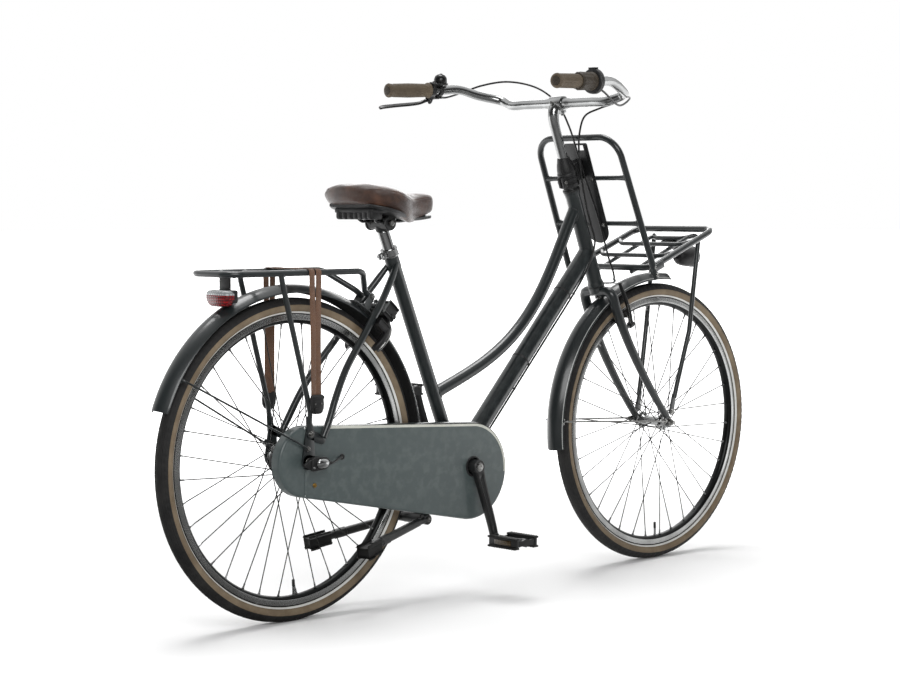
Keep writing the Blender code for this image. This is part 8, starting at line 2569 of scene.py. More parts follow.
@dataclass
class Straps(Assembly):
    """Pair of woven bands laid over the carrier, with a moulded hook at each end."""

    ahead: float = 0.01
    band_width: float = 0.0142
    gap: float = 0.004
    thickness: float = 0.0022
    low: float = 0.489

    def build(self) -> list[bpy.types.Object]:
        """Make the pieces and return them."""
        bands = [self.band(s) for s in (-1, 1)]
        self.add(bands, "strap_bands", WEBBING, "frame", "luggage_straps")
        clips, pins = [], []
        for s in (1, -1):
            centre = LAYOUT.rear(self.ahead, s * 0.0812, 0.4745)
            rings = []
            for h, half_x, half_y in ((0.0205, 0.015, 0.0026), (0.0195, 0.0165, 0.0036), (0.012, 0.0178, 0.0044),
                                      (0.0, 0.0188, 0.005), (-0.01, 0.0176, 0.0052), (-0.017, 0.0138, 0.0048),
                                      (-0.02, 0.0092, 0.0034), (-0.0205, 0.006, 0.002)):
                ring = []
                for k in range(32):
                    a = 2 * math.pi * k / 32
                    c, t = math.cos(a), math.sin(a)
                    ring.append(centre + Vector((half_x * math.copysign(abs(c) ** 0.6, c),
                                                 half_y * math.copysign(abs(t) ** 0.7, t), h)))
                rings.append(ring)
            clips.append(rings_mesh("clip", rings, smooth=50))
            clips.append(block("bar", centre + Vector((0, s * 0.002, 0.015)), (0.035, 0.0075, 0.007), None, 0.0022,
                               4))
            clips.append(block("lip", centre + Vector((0, s * 0.005, -0.012)), (0.02, 0.005, 0.012), None, 0.002,
                               4))
            for x in (-0.0085, 0.0085):
                pins.append(rod("pin", centre + Vector((x, s * 0.005, 0.0015)),
                                centre + Vector((x, s * 0.0059, 0.0015)), 0.0021, 16, edge=0.0003))
        self.add(clips, "strap_clips", BLACK_PLASTIC, "frame")
        self.add(pins, "strap_pins", STEEL, "frame")
        return self.pieces

    def band(self, place: int) -> bpy.types.Object:
        """One band with its map in metres: across, then along."""
        rail, height = 0.07, 0.755
        hug = 0.0071
        half: list[tuple[float, float]] = [(0.0, height + hug + 0.0002)]
        half += [(y, height + hug + 0.0002 - 0.0012 * math.sin(math.pi * y / 0.062))
                 for y in (0.015, 0.03, 0.045, 0.058)]
        half += [(rail + hug * math.sin(a) * 1.02, height + hug * math.cos(a) * 1.02)
                 for a in (math.radians(d) for d in (-12, 8, 26, 44, 62, 80))]
        half += [(rail + 0.0068 + 0.0006 * k / 12, height - 0.006 - (height - 0.006 - self.low) * k / 12)
                 for k in range(0, 13)]
        path = [(-y, z) for y, z in half[:0:-1]] + half
        shift = place * (self.band_width + self.gap) / 2
        verts, faces, marks = [], [], []
        run = 0.0
        columns = 5
        for i, (y, z) in enumerate(path):
            before, after = path[max(i - 1, 0)], path[min(i + 1, len(path) - 1)]
            if i:
                run += math.dist(path[i - 1], (y, z))
            along = Vector((0, after[0] - before[0], after[1] - before[1])).normalized()
            out = X_AXIS.cross(along)
            out = out if (out.z > 0 or out.y * y > 0) else -out
            low = max(0.0, (height - 0.02 - z) / (height - self.low))
            drift = place * (-0.0016) * math.sin(math.pi * min(1.0, low)) + 0.0022 * low * place * -1.0
            twist = 0.0014 * math.sin(9.0 * run + place)
            for layer in (0, 1):
                for c in range(columns):
                    u = (c / (columns - 1) - 0.5) * self.band_width
                    puff = 0.00035 * math.cos(math.pi * (c / (columns - 1) - 0.5))
                    level = ((self.thickness * 0.5 + puff) * (1 if layer else -0.2)
                             + twist * u / self.band_width * low)
                    verts.append(LAYOUT.rear(self.ahead + shift + drift + u, y, z) + (level + 0.0003) * out)
                    marks.append((u + 0.02 * layer, run))
        row = 2 * columns
        loop = [*range(columns), *range(row - 1, columns - 1, -1)]
        for i in range(len(path) - 1):
            for a, b in zip(loop, [*loop[1:], loop[0]]):
                faces.append((i * row + a, i * row + b, (i + 1) * row + b, (i + 1) * row + a))
        faces += [tuple(loop), tuple((len(path) - 1) * row + k for k in loop)]
        obj = mesh_of("band", verts, faces, 50)
        layer = obj.data.uv_layers.new(name="band")
        for corner in obj.data.loops:
            layer.data[corner.index].uv = marks[corner.vertex_index]
        return obj


@dataclass
class FrontCarrier(Assembly):
    """Front carrier: back loop, platform, struts, name plate without a name, clamp and headlamp."""

    rise: float = 0.022
    rear_edge: float = 0.073
    front_edge: float = 0.329
    half: float = 0.127
    tube_radius: float = 0.008

    def loop_point(self, up: float, side: float) -> Vector:
        """Point in the plane of the back loop."""
        lean = (0.065 - 0.058) / 0.328
        return LAYOUT.steering(up, 0.065 - lean * (up - 0.038), side)

    def build(self) -> list[bpy.types.Object]:
        """Make the pieces and return them."""
        self.frame()
        self.plate()
        self.clamp()
        self.headlamp()
        return self.pieces

    def frame(self) -> None:
        """Welded tubes, feet plates and bolts."""
        at = LAYOUT.steering
        half = [self.loop_point(-0.004, 0.1415), self.loop_point(0.026, 0.141), self.loop_point(0.366, 0.131)]
        path = bent(both_sides(half), 0.055, 12)
        flat = [0.55 if (p - LAYOUT.steer_base).dot(LAYOUT.steer_up) < 0.02 else 1.0 for p in path]
        shapes = [tube("loop", path, self.tube_radius, 28, None, flat, Y_AXIS)]
        for up in (0.261, 0.142):
            ends = [self.loop_point(up, y) for y in (0.136, 0.122, 0.108, 0.0, -0.108, -0.122, -0.136)]
            shapes.append(tube("bar", ends, 0.006, 24, [1.3, 1.16, 1.0, 1.0, 1.0, 1.16, 1.3]))
            for s in (1, -1):
                shapes.append(weld(self.loop_point(up, s * 0.115), s * Y_AXIS, 0.0072,
                                   self.loop_point(up, s * 0.1345), LAYOUT.steer_up, self.tube_radius, 0.0015))
        side = [at(self.rise, self.rear_edge, 0.0), at(self.rise, self.rear_edge, self.half),
                at(self.rise, self.front_edge, self.half)]
        ring = bent(both_sides(side), 0.028, 10)
        shapes.append(tube("platform", ring, self.tube_radius, 28))
        for ahead in (0.15, 0.225):
            lateral = [at(self.rise, ahead + 0.03, self.half), at(self.rise, ahead, self.half - 0.03)]
            shapes.append(tube("lateral", bent(both_sides(lateral), 0.022, 8), 0.0055, 22))
            for s in (1, -1):
                shapes.append(weld(at(self.rise, ahead + 0.018, s * 0.115),
                                   (LAYOUT.steer_ahead + s * Y_AXIS).normalized(), 0.0055,
                                   at(self.rise, ahead, s * self.half), LAYOUT.steer_ahead, self.tube_radius,
                                   0.0013))
        for s in (1, -1):
            shapes.append(block("foot", at(0.018, 0.085, s * 0.1345), (0.052, 0.004, 0.018), LAYOUT.steer_axes,
                                0.0014))
            shapes.append(rod("runner", at(self.rise - 0.0115, self.rear_edge - 0.004, s * 0.06),
                              at(self.rise - 0.0115, 0.302, s * 0.06), 0.005, 22, edge=0.0012))
            shapes.append(upright_bar("tab", at(-0.345, 0.1145), LAYOUT.front_axle + Vector((0.005, 0, 0.027)),
                                      0.007, 0.009, 0.003, s * 0.0568))
        strut = [at(-0.35, 0.111, 0.0593), at(-0.32, 0.132, 0.0612), at(-0.208, 0.21, 0.072),
                 at(self.rise - 0.013, 0.33, 0.074), at(self.rise - 0.0135, 0.298, 0.05)]
        path = bent(both_sides(strut), 0.045, 10)
        flat = [0.5 if min((p - LAYOUT.front_axle - y * Y_AXIS).length for y in (0.0593, -0.0593)) < 0.062 else 1.0
                for p in path]
        shapes.append(tube("strut", path, 0.006, 24, None, flat, Y_AXIS))
        self.add(shapes, "front_carrier_tubes", FRAME_PAINT, "steering", "front_carrier")
        bolts = []
        for s in (1, -1):
            for up, ahead in ((0.026, 0.0655), (0.006, 0.0662)):
                face = at(up, ahead, s * 0.1455)
                bolts.append(socket_bolt("bolt", face, s * Y_AXIS, 0.0046, 0.0036))
            face = LAYOUT.front_axle + Vector((0.005, s * 0.0583, 0.027))
            bolts += [rod("washer", face, face + s * 0.0008 * Y_AXIS, 0.0066, 26),
                      socket_bolt("bolt", face + s * 0.0008 * Y_AXIS, s * Y_AXIS, 0.0044, 0.0034)]
        self.add(bolts, "front_carrier_bolts", STEEL, "steering")

    def plate(self) -> None:
        """Sheet plate with a rounded foot and a plain slot, and its bolts."""
        half, top, bottom = 0.0375, 0.354, 0.094
        outline = [(half - 0.003, top), (half, top - 0.003)]
        outline += [(half * math.cos(a), bottom + half - half * math.sin(a))
                    for a in (math.pi * k / 28 for k in range(29))]
        outline += [(-half, top - 0.003), (-half + 0.003, top)]
        slot = [(-0.024, top - 0.018), (-0.002, top - 0.018), (-0.002, top - 0.005), (-0.024, top - 0.005)]
        back = self.loop_point(0.261, 0) - 0.0073 * LAYOUT.steer_ahead
        origin = back - 0.261 * LAYOUT.steer_up
        shape = sheet_plate("plate", outline, 0.002, origin, Y_AXIS, LAYOUT.steer_up, [slot], 0.0004)
        self.add(shape, "carrier_plate", BLACK_METAL, "steering", "front_carrier_plate")
        bolts = []
        for up in (0.261, 0.142):
            face = origin + up * LAYOUT.steer_up - 0.0011 * LAYOUT.steer_ahead + 0.027 * Y_AXIS
            for y in (0.0, -0.054):
                place = face + y * Y_AXIS
                bolts += [rod("washer", place, place - 0.0008 * LAYOUT.steer_ahead, 0.0052, 24),
                          socket_bolt("bolt", place - 0.0008 * LAYOUT.steer_ahead, -LAYOUT.steer_ahead, 0.0038,
                                      0.0026)]
        self.add(bolts, "carrier_plate_bolts", STEEL, "steering")

    def clamp(self) -> None:
        """Ribbed clamp collar, its dome, arm and lug with their bolts."""
        at, up = LAYOUT.steering, LAYOUT.steer_up
        dome = [(0.015, 0.298), (0.0222, 0.2985), (0.0226, 0.302), (0.022, 0.308), (0.0204, 0.316), (0.0182, 0.324),
                (0.016, 0.33), (0.0149, 0.335), (0.014, 0.3368), (0.013, 0.3372)]
        collar = [(0.017, 0.2645), (0.0236, 0.2645), (0.0242, 0.2655), (0.0242, 0.2725), (0.023, 0.2735),
                  (0.023, 0.2785), (0.0242, 0.2795), (0.0242, 0.2865), (0.023, 0.2875), (0.023, 0.2915),
                  (0.0242, 0.2925), (0.0242, 0.299), (0.0236, 0.3), (0.017, 0.3)]
        base = LAYOUT.steer_base
        shapes = [lathe("dome", dome, base, up, 56, looped=True, smooth=50),
                  lathe("collar", collar, base, up, 56, looped=True),
                  block("arm", at(0.29, 0.0349), (0.0338, 0.02, 0.044), LAYOUT.steer_axes, 0.0022),
                  block("fold", at(0.3, 0.044, 0.006), (0.015, 0.026, 0.025), LAYOUT.steer_axes, 0.0016),
                  block("lug", at(0.282, -0.0235, -0.01), (0.019, 0.0075, 0.026), LAYOUT.steer_axes, 0.0018),
                  block("lug", at(0.282, -0.0235, 0.002), (0.019, 0.0075, 0.026), LAYOUT.steer_axes, 0.0018)]
        self.add(shapes, "clamp_collar", BLACK_PLASTIC, "steering", "carrier_clamp")
        bolt = at(0.282, -0.0265, -0.0138)
        bolts = [socket_bolt("bolt", bolt, -Y_AXIS, 0.0044, 0.0032),
                 hex_bolt("nut", at(0.282, -0.0265, 0.0058), Y_AXIS, 0.0046, 0.0034),
                 hex_bolt("bolt", at(0.272, 0.0375, -0.0102), -Y_AXIS, 0.005, 0.0034)]
        self.add(bolts, "clamp_bolts", STEEL, "steering")

    def headlamp(self) -> None:
        """Headlamp under the platform: body with a rim, bright bowl, clear lens and its bracket."""
        centre = LAYOUT.rear(1.285, 0, 0.7655)
        profile = [(0.0, 0.0), (0.008, 0.0004), (0.012, 0.0014), (0.0162, 0.0046), (0.02, 0.0102), (0.023, 0.022),
                   (0.0252, 0.037), (0.026, 0.05), (0.0262, 0.056), (0.027, 0.0566), (0.027, 0.0596),
                   (0.0262, 0.0602), (0.025, 0.0602)]
        body = [lathe("body", [*profile, (0.0248, 0.0575), (0.015, 0.048), (0.0, 0.045)], centre, X_AXIS, 56,
                      smooth=40)]
        up, ahead = LAYOUT.steer_up, LAYOUT.steer_ahead
        level = LAYOUT.steering(0.0085, 0.298) - 0.0078 * up
        body.append(upright_bar("stand", centre + Vector((0.024, 0, 0.016)), level - 0.0072 * up, 0.009, 0.007,
                                0.018, 0, 0.001))
        body.append(block("plate", level - 0.006 * ahead, (0.05, 0.05, 0.003), LAYOUT.steer_axes, 0.001))
        body.append(rod("plug", centre - 0.01 * X_AXIS - 0.004 * Z_AXIS, centre + 0.004 * X_AXIS - 0.004 * Z_AXIS,
                        0.004, 20, edge=0.0006))
        self.add(body, "headlamp_body", BLACK_PLASTIC, "steering", "headlamp_housing")
        bowl = [(0.0236, 0.0585), (0.0215, 0.052), (0.016, 0.044), (0.008, 0.0405), (0.0, 0.04)]
        self.add(lathe("bowl", bowl, centre, X_AXIS, 48, smooth=60), "headlamp_bowl", BRIGHT_BOWL, "steering")
        lens = [(0.0, 0.057), (0.0246, 0.0572), (0.0254, 0.061), (0.0248, 0.065), (0.0222, 0.0676), (0.015, 0.0705),
                (0.008, 0.072), (0.0, 0.0725)]
        self.add(lathe("lens", lens, centre, X_AXIS, 48, smooth=60), "headlamp_glass", CLEAR_LENS, "steering",
                 "headlamp_lens")
        bolts = [hex_bolt("nut", level - 0.006 * ahead - 0.0015 * up + y * Y_AXIS, -up, 0.0052, 0.004)
                 for y in (-0.017, 0.017)]
        pivot = centre + Vector((0.024, 0, 0.017))
        bolts += [hex_bolt("pivot", pivot + s * 0.009 * Y_AXIS, s * Y_AXIS, 0.0046, 0.0034) for s in (1, -1)]
        self.add(bolts, "headlamp_bolts", STEEL, "steering")


# Stand, lock, brake and cables


@dataclass
class Kickstand(Assembly):
    """Two-legged stand folded back, its bracket, spring and rubber feet."""

    pivot_place: tuple[float, float, float] = (0.367, 0.0, 0.187)
    pivot_half: float = 0.046
    leg_radius: float = 0.0098
    foot: tuple[float, float, float] = (0.15, 0.088, 0.151)

    def build(self) -> list[bpy.types.Object]:
        """Make the pieces and return them."""
        pivot = LAYOUT.rear(*self.pivot_place)
        pin = rod("pin", pivot - self.pivot_half * Y_AXIS, pivot + self.pivot_half * Y_AXIS, 0.005, 24)
        shapes, feet, nuts = [pin], [], []
        for s in (1, -1):
            foot = LAYOUT.rear(self.foot[0], s * self.foot[1], self.foot[2])
            cheek = pivot + s * (self.pivot_half - 0.007) * Y_AXIS
            bend = cheek + Vector((-0.03, s * 0.006, -0.003))
            path = bent([cheek, bend, foot + 0.012 * (bend - foot).normalized()], 0.02, 8)
            shapes.append(tube("leg", path, self.leg_radius, 26,
                               [min(1.0, 0.8 + 0.02 * i) for i in range(len(path))]))
            disc = pivot + s * (self.pivot_half - 0.0155) * Y_AXIS
            shapes.append(rod("cheek", disc, pivot + s * self.pivot_half * Y_AXIS, 0.012, 36, edge=0.0012))
            run = (foot - bend).normalized()
            sleeve = bend.lerp(foot, 0.62)
            shapes.append(rod("sleeve", sleeve, sleeve + 0.03 * run, self.leg_radius + 0.0012, 28, edge=0.001))
            side = run.cross(Z_AXIS).normalized()
            axes = (run, side, side.cross(run))
            middle = foot + Vector((0.004, 0, -0.002))
            feet.append(block("foot", middle, (0.044, 0.027, 0.02), axes, 0.0052, 5))
            feet.append(block("toe", middle + 0.0165 * run - 0.0016 * axes[2], (0.014, 0.03, 0.023), axes, 0.0046,
                              5))
            for k in range(4):
                feet.append(block("rib", middle + (k * 0.009 - 0.016) * run - 0.01 * axes[2],
                                  (0.0026, 0.02, 0.0016), axes, 0.0006))
            nuts.append(hex_bolt("nut", pivot + s * self.pivot_half * Y_AXIS, s * Y_AXIS, 0.0064, 0.003))
        low = self.spring_ends()[1] + 0.0034 * self.spring_ends()[2]
        shapes.append(rod("peg", Vector((low.x, low.y - 0.004, low.z)), Vector((low.x, 0.04, low.z)), 0.003, 20,
                          edge=0.0004))
        self.add(shapes, "stand_legs", BLACK_METAL, "kickstand", "kickstand")
        self.add(feet, "stand_feet", PEDAL_RUBBER, "kickstand")
        self.add(nuts, "stand_nuts", STEEL, "kickstand")
        self.bracket(pivot)
        self.spring()
        return self.pieces

    def bracket(self, pivot: Vector) -> None:
        """Clamp plates on the chainstays, spine, pivot barrel and bolt."""
        stay = LAYOUT.bracket.lerp(LAYOUT.rear_axle, 0.205)
        run = (LAYOUT.bracket - LAYOUT.rear_axle).normalized()
        below = run.cross(Y_AXIS)
        below = below if below.z < 0 else -below
        axes = (run, Y_AXIS, below)
        top = stay.z - 0.0118
        shapes = [block("plate", stay + 0.0118 * below, (0.052, 0.084, 0.006), axes, 0.0016),
                  block("spine", Vector((pivot.x + 0.01, 0, (top + pivot.z) / 2 + 0.004)),
                        (0.024, 0.022, top - pivot.z - 0.01), None, 0.0035),
                  block("gusset", Vector((stay.x - 0.006, 0, top - 0.022)), (0.03, 0.03, 0.042), None, 0.005, 4),
                  lathe("barrel", symmetric([(0.0056, -0.03), (0.0117, -0.03), (0.0125, -0.0292)]),
                        pivot, Y_AXIS, 40, looped=True)]
        for y in (-0.03, 0.03):
            shapes.append(block("rib", stay + 0.008 * below + y * Y_AXIS, (0.05, 0.004, 0.006), axes, 0.0012))
        start = self.spring_ends()[0] - 0.0034 * self.spring_ends()[2]
        shapes.append(rod("peg", Vector((start.x, 0.009, start.z)), Vector((start.x, start.y + 0.004, start.z)),
                          0.003, 20, edge=0.0004))
        self.add(shapes, "stand_bracket", BLACK_METAL, "frame", "kickstand_bracket")
        bolt = stay + 0.0148 * below + 0.016 * run
        self.add([hex_bolt("bolt", bolt, below, 0.0072, 0.005),
                  rod("washer", bolt - 0.001 * below, bolt + 0.0003 * below, 0.009, 28)],
                 "stand_bolt", STEEL, "frame")

    def spring_ends(self) -> tuple[Vector, Vector, Vector]:
        """Both ends of the spring and the direction between them."""
        pivot = LAYOUT.rear(*self.pivot_place)
        top, end = pivot + Vector((0.012, 0.026, 0.072)), pivot + Vector((-0.024, 0.026, 0.0))
        return top, end, (end - top).normalized()

    def spring(self) -> None:
        """Close-wound spring with a hook at each end."""
        top, end, along = self.spring_ends()
        first = along.cross(Y_AXIS).normalized()
        second = along.cross(first)
        turns, lead, radius, wire = 22, 0.007, 0.0048, 0.00085
        length = (end - top).length - 2 * lead
        path = [top + 0.0004 * along, top + 0.4 * lead * along]
        for k in range(turns * 14 + 1):
            a, share = 2 * math.pi * k / 14, k / (turns * 14)
            ease = min(1.0, 14 * share + 0.2, 14 * (1 - share) + 0.2)
            path.append(top + (lead + length * share) * along + radius * ease
                        * (math.cos(a) * first + math.sin(a) * second))
        path += [end - 0.4 * lead * along, end - 0.0004 * along]
        shapes = [tube("coil", path, wire, 8)]
        for place, way in ((top, -1), (end, 1)):
            hook = [place - way * 0.0004 * along + 0.0032
                    * (way * along + (-way * along * math.cos(a) + first * math.sin(a)))
                    for a in (math.radians(d) for d in range(0, 271, 18))]
            shapes.append(tube("hook", hook, wire, 8))
        self.add(shapes, "stand_spring", STEEL, "frame", "kickstand_spring")


@dataclass
class RingLock(Assembly):
    """Ring lock: covered horseshoe, key housing with its barrel, lugs on the seat stays and the bow."""

    angle: float = 48.5
    reach: float = 0.3405
    inner: float = 0.0455
    outer: float = 0.0605
    thickness: float = 0.012
    span: float = 256.0

    def build(self) -> list[bpy.types.Object]:
        """Make the pieces and return them."""
        a = math.radians(self.angle)
        out, along = Vector((math.cos(a), 0, math.sin(a))), Vector((-math.sin(a), 0, math.cos(a)))
        centre = LAYOUT.rear_axle + self.reach * out
        axes = (along, Y_AXIS, out)
        shapes = [self.ring(centre, out, along)]
        middle = centre + 0.067 * out + 0.01 * along - 0.012 * Y_AXIS
        shapes.append(block("housing", middle, (0.0225, 0.054, 0.027), axes, 0.0048, 5))
        self.add(block("cap", middle + 0.004 * along + 0.003 * out, (0.018, 0.048, 0.025), axes, 0.005, 5),
                 "lock_cap", GREY_PLASTIC, "frame")
        shapes.append(rod("guide", centre + 0.06 * out - 0.045 * Y_AXIS, centre + 0.062 * out + 0.04 * Y_AXIS,
                          0.0062, 24, edge=0.0012))
        bolts = []
        for s in (1, -1):
            place = centre + s * 0.046 * Y_AXIS + 0.018 * along + 0.02 * out
            shapes.append(block("lug", place, (0.03, 0.02, 0.014), axes, 0.0024))
            bolts.append(socket_bolt("bolt", place - 0.0152 * along, -along, 0.0042, 0.003))
        self.add(shapes, "lock_ring", BLACK_PLASTIC, "frame", "ring_lock")
        lock_face = middle + 0.012 * along + 0.002 * Y_AXIS
        bolts += [lathe("barrel", [(0.0078, 0.0), (0.0078, 0.0014), (0.0066, 0.0022), (0.003, 0.0022),
                                   (0.0, 0.0018)], lock_face, along, 32),
                  block("keyway", lock_face + 0.0021 * along, (0.0008, 0.0012, 0.0068), axes, 0.0002)]
        self.add(bolts, "lock_barrel", STEEL, "frame")
        self.bow(centre, out, along)
        return self.pieces

    def ring(self, centre: Vector, out: Vector, along: Vector) -> bpy.types.Object:
        """Horseshoe of rounded section with a stepped rim."""
        rings = []
        middle_r, half_r, half_t = (self.inner + self.outer) / 2, (self.outer - self.inner) / 2, self.thickness / 2
        for k in range(73):
            share = k / 72
            b = math.radians(90 - self.span / 2 + self.span * share)
            radial = math.cos(b) * Y_AXIS + math.sin(b) * out
            swell = 1.0 + 0.1 * math.sin(math.pi * share) ** 6
            taper = min(1.0, 0.72 + 8 * min(share, 1 - share))
            ring = []
            for j in range(24):
                c, s = math.cos(2 * math.pi * j / 24), math.sin(2 * math.pi * j / 24)
                r = math.copysign(abs(c) ** 0.55, c) * half_r * taper
                t = math.copysign(abs(s) ** 0.55, s) * half_t * taper * swell
                ring.append(centre + (middle_r + r) * radial + t * along)
            rings.append(ring)
        return rings_mesh("ring", rings, smooth=45)

    def bow(self, centre: Vector, out: Vector, along: Vector) -> None:
        """Steel bow drawn back into the ring, with its knob."""
        middle = centre - 0.0107 * along
        tip, sweep = 90 + self.span / 2 - 5, 120.0
        path = []
        for k in range(41):
            b = math.radians(tip - sweep * k / 40)
            path.append(middle + 0.053 * (math.cos(b) * Y_AXIS + math.sin(b) * out))
        shares = [0.55, 0.85] + [1.0] * 39
        self.add(tube("bow", path, 0.0042, 22, shares), "lock_bow_bar", STEEL, "lock_bow", "lock_shackle")
        b = math.radians(tip - sweep + 4)
        radial = math.cos(b) * Y_AXIS + math.sin(b) * out
        knob = [block("knob", middle + 0.061 * radial - 0.003 * along, (0.01, 0.012, 0.02),
                      (along, along.cross(radial), radial), 0.003, 5),
                block("grip", middle + 0.068 * radial - 0.003 * along, (0.0085, 0.016, 0.007),
                      (along, along.cross(radial), radial), 0.0026, 4)]
        self.add(knob, "lock_knob", GREY_PLASTIC, "lock_bow")


@dataclass
class BrakeArms(Assembly):
    """Pair of upright brake arms with pads, posts and spring tubes."""

    def build(self) -> list[bpy.types.Object]:
        """Make the pieces and return them."""
        at, ahead = LAYOUT.steering, LAYOUT.steer_ahead
        for side, name in ((Side.LEFT, "brake_arm_left"), (Side.RIGHT, "brake_arm_right")):
            s = side.value
            foot = at(-0.118, 0.0345, s * 0.0435)
            shapes = [lathe("drum", [(0.0043, 0.0), (0.008, 0.0), (0.0086, 0.0008), (0.0086, 0.0112),
                                     (0.008, 0.012), (0.0043, 0.012)],
                            foot, ahead, 36, looped=True)]
            path = [at(-0.118, 0.0405, s * 0.0435), at(-0.1, 0.0405, s * 0.047), at(-0.078, 0.0405, s * 0.049),
                    at(-0.045, 0.0405, s * 0.0468), at(-0.012, 0.0405, s * 0.0415), at(-0.006, 0.0405, s * 0.0405)]
            smooth = curve_through(path, 6)
            shares = [1.25 - 0.45 * i / (len(smooth) - 1) for i in range(len(smooth))]
            shapes.append(tube("arm", smooth, 0.0056, 22, shares, [0.72] * len(smooth), ahead))
            place = at(-0.097, 0.0405)
            to_axle = LAYOUT.front_axle - place
            to_axle.y = 0
            radial = to_axle.normalized()
            pad = LAYOUT.front_axle - 0.3075 * radial
            pad = Vector((pad.x, s * 0.0205, pad.z))
            axes = (radial.cross(Y_AXIS), Y_AXIS, radial)
            post = Vector((pad.x, s * 0.046, pad.z))
            shapes.append(rod("post", pad, post, 0.0033, 20))
            self.add(shapes, name + "_body", BLACK_METAL, name, name)
            pads = [block("pad", pad, (0.05, 0.0084, 0.0085), axes, 0.002, 4)]
            pads += [block("fin", pad + (k - 2) * 0.009 * axes[0] + s * 0.004 * Y_AXIS, (0.002, 0.002, 0.008), axes,
                           0.0005) for k in range(5)]
            self.add(pads, name + "_pad", PEDAL_RUBBER, name)
            bolts = [socket_bolt("pivot", foot + 0.0121 * ahead, ahead, 0.0052, 0.0038),
                     hex_bolt("nut", post, s * Y_AXIS, 0.0052, 0.0044),
                     rod("washer", post - s * 0.0022 * Y_AXIS, post, 0.0064, 24, edge=0.0003),
                     tube("spring", [at(-0.112, 0.0335, s * 0.05), at(-0.085, 0.0335, s * 0.0545),
                                     at(-0.06, 0.0345, s * 0.0545)], 0.0009, 8)]
            self.add(bolts, name + "_bolts", STEEL, name)
        return self.pieces


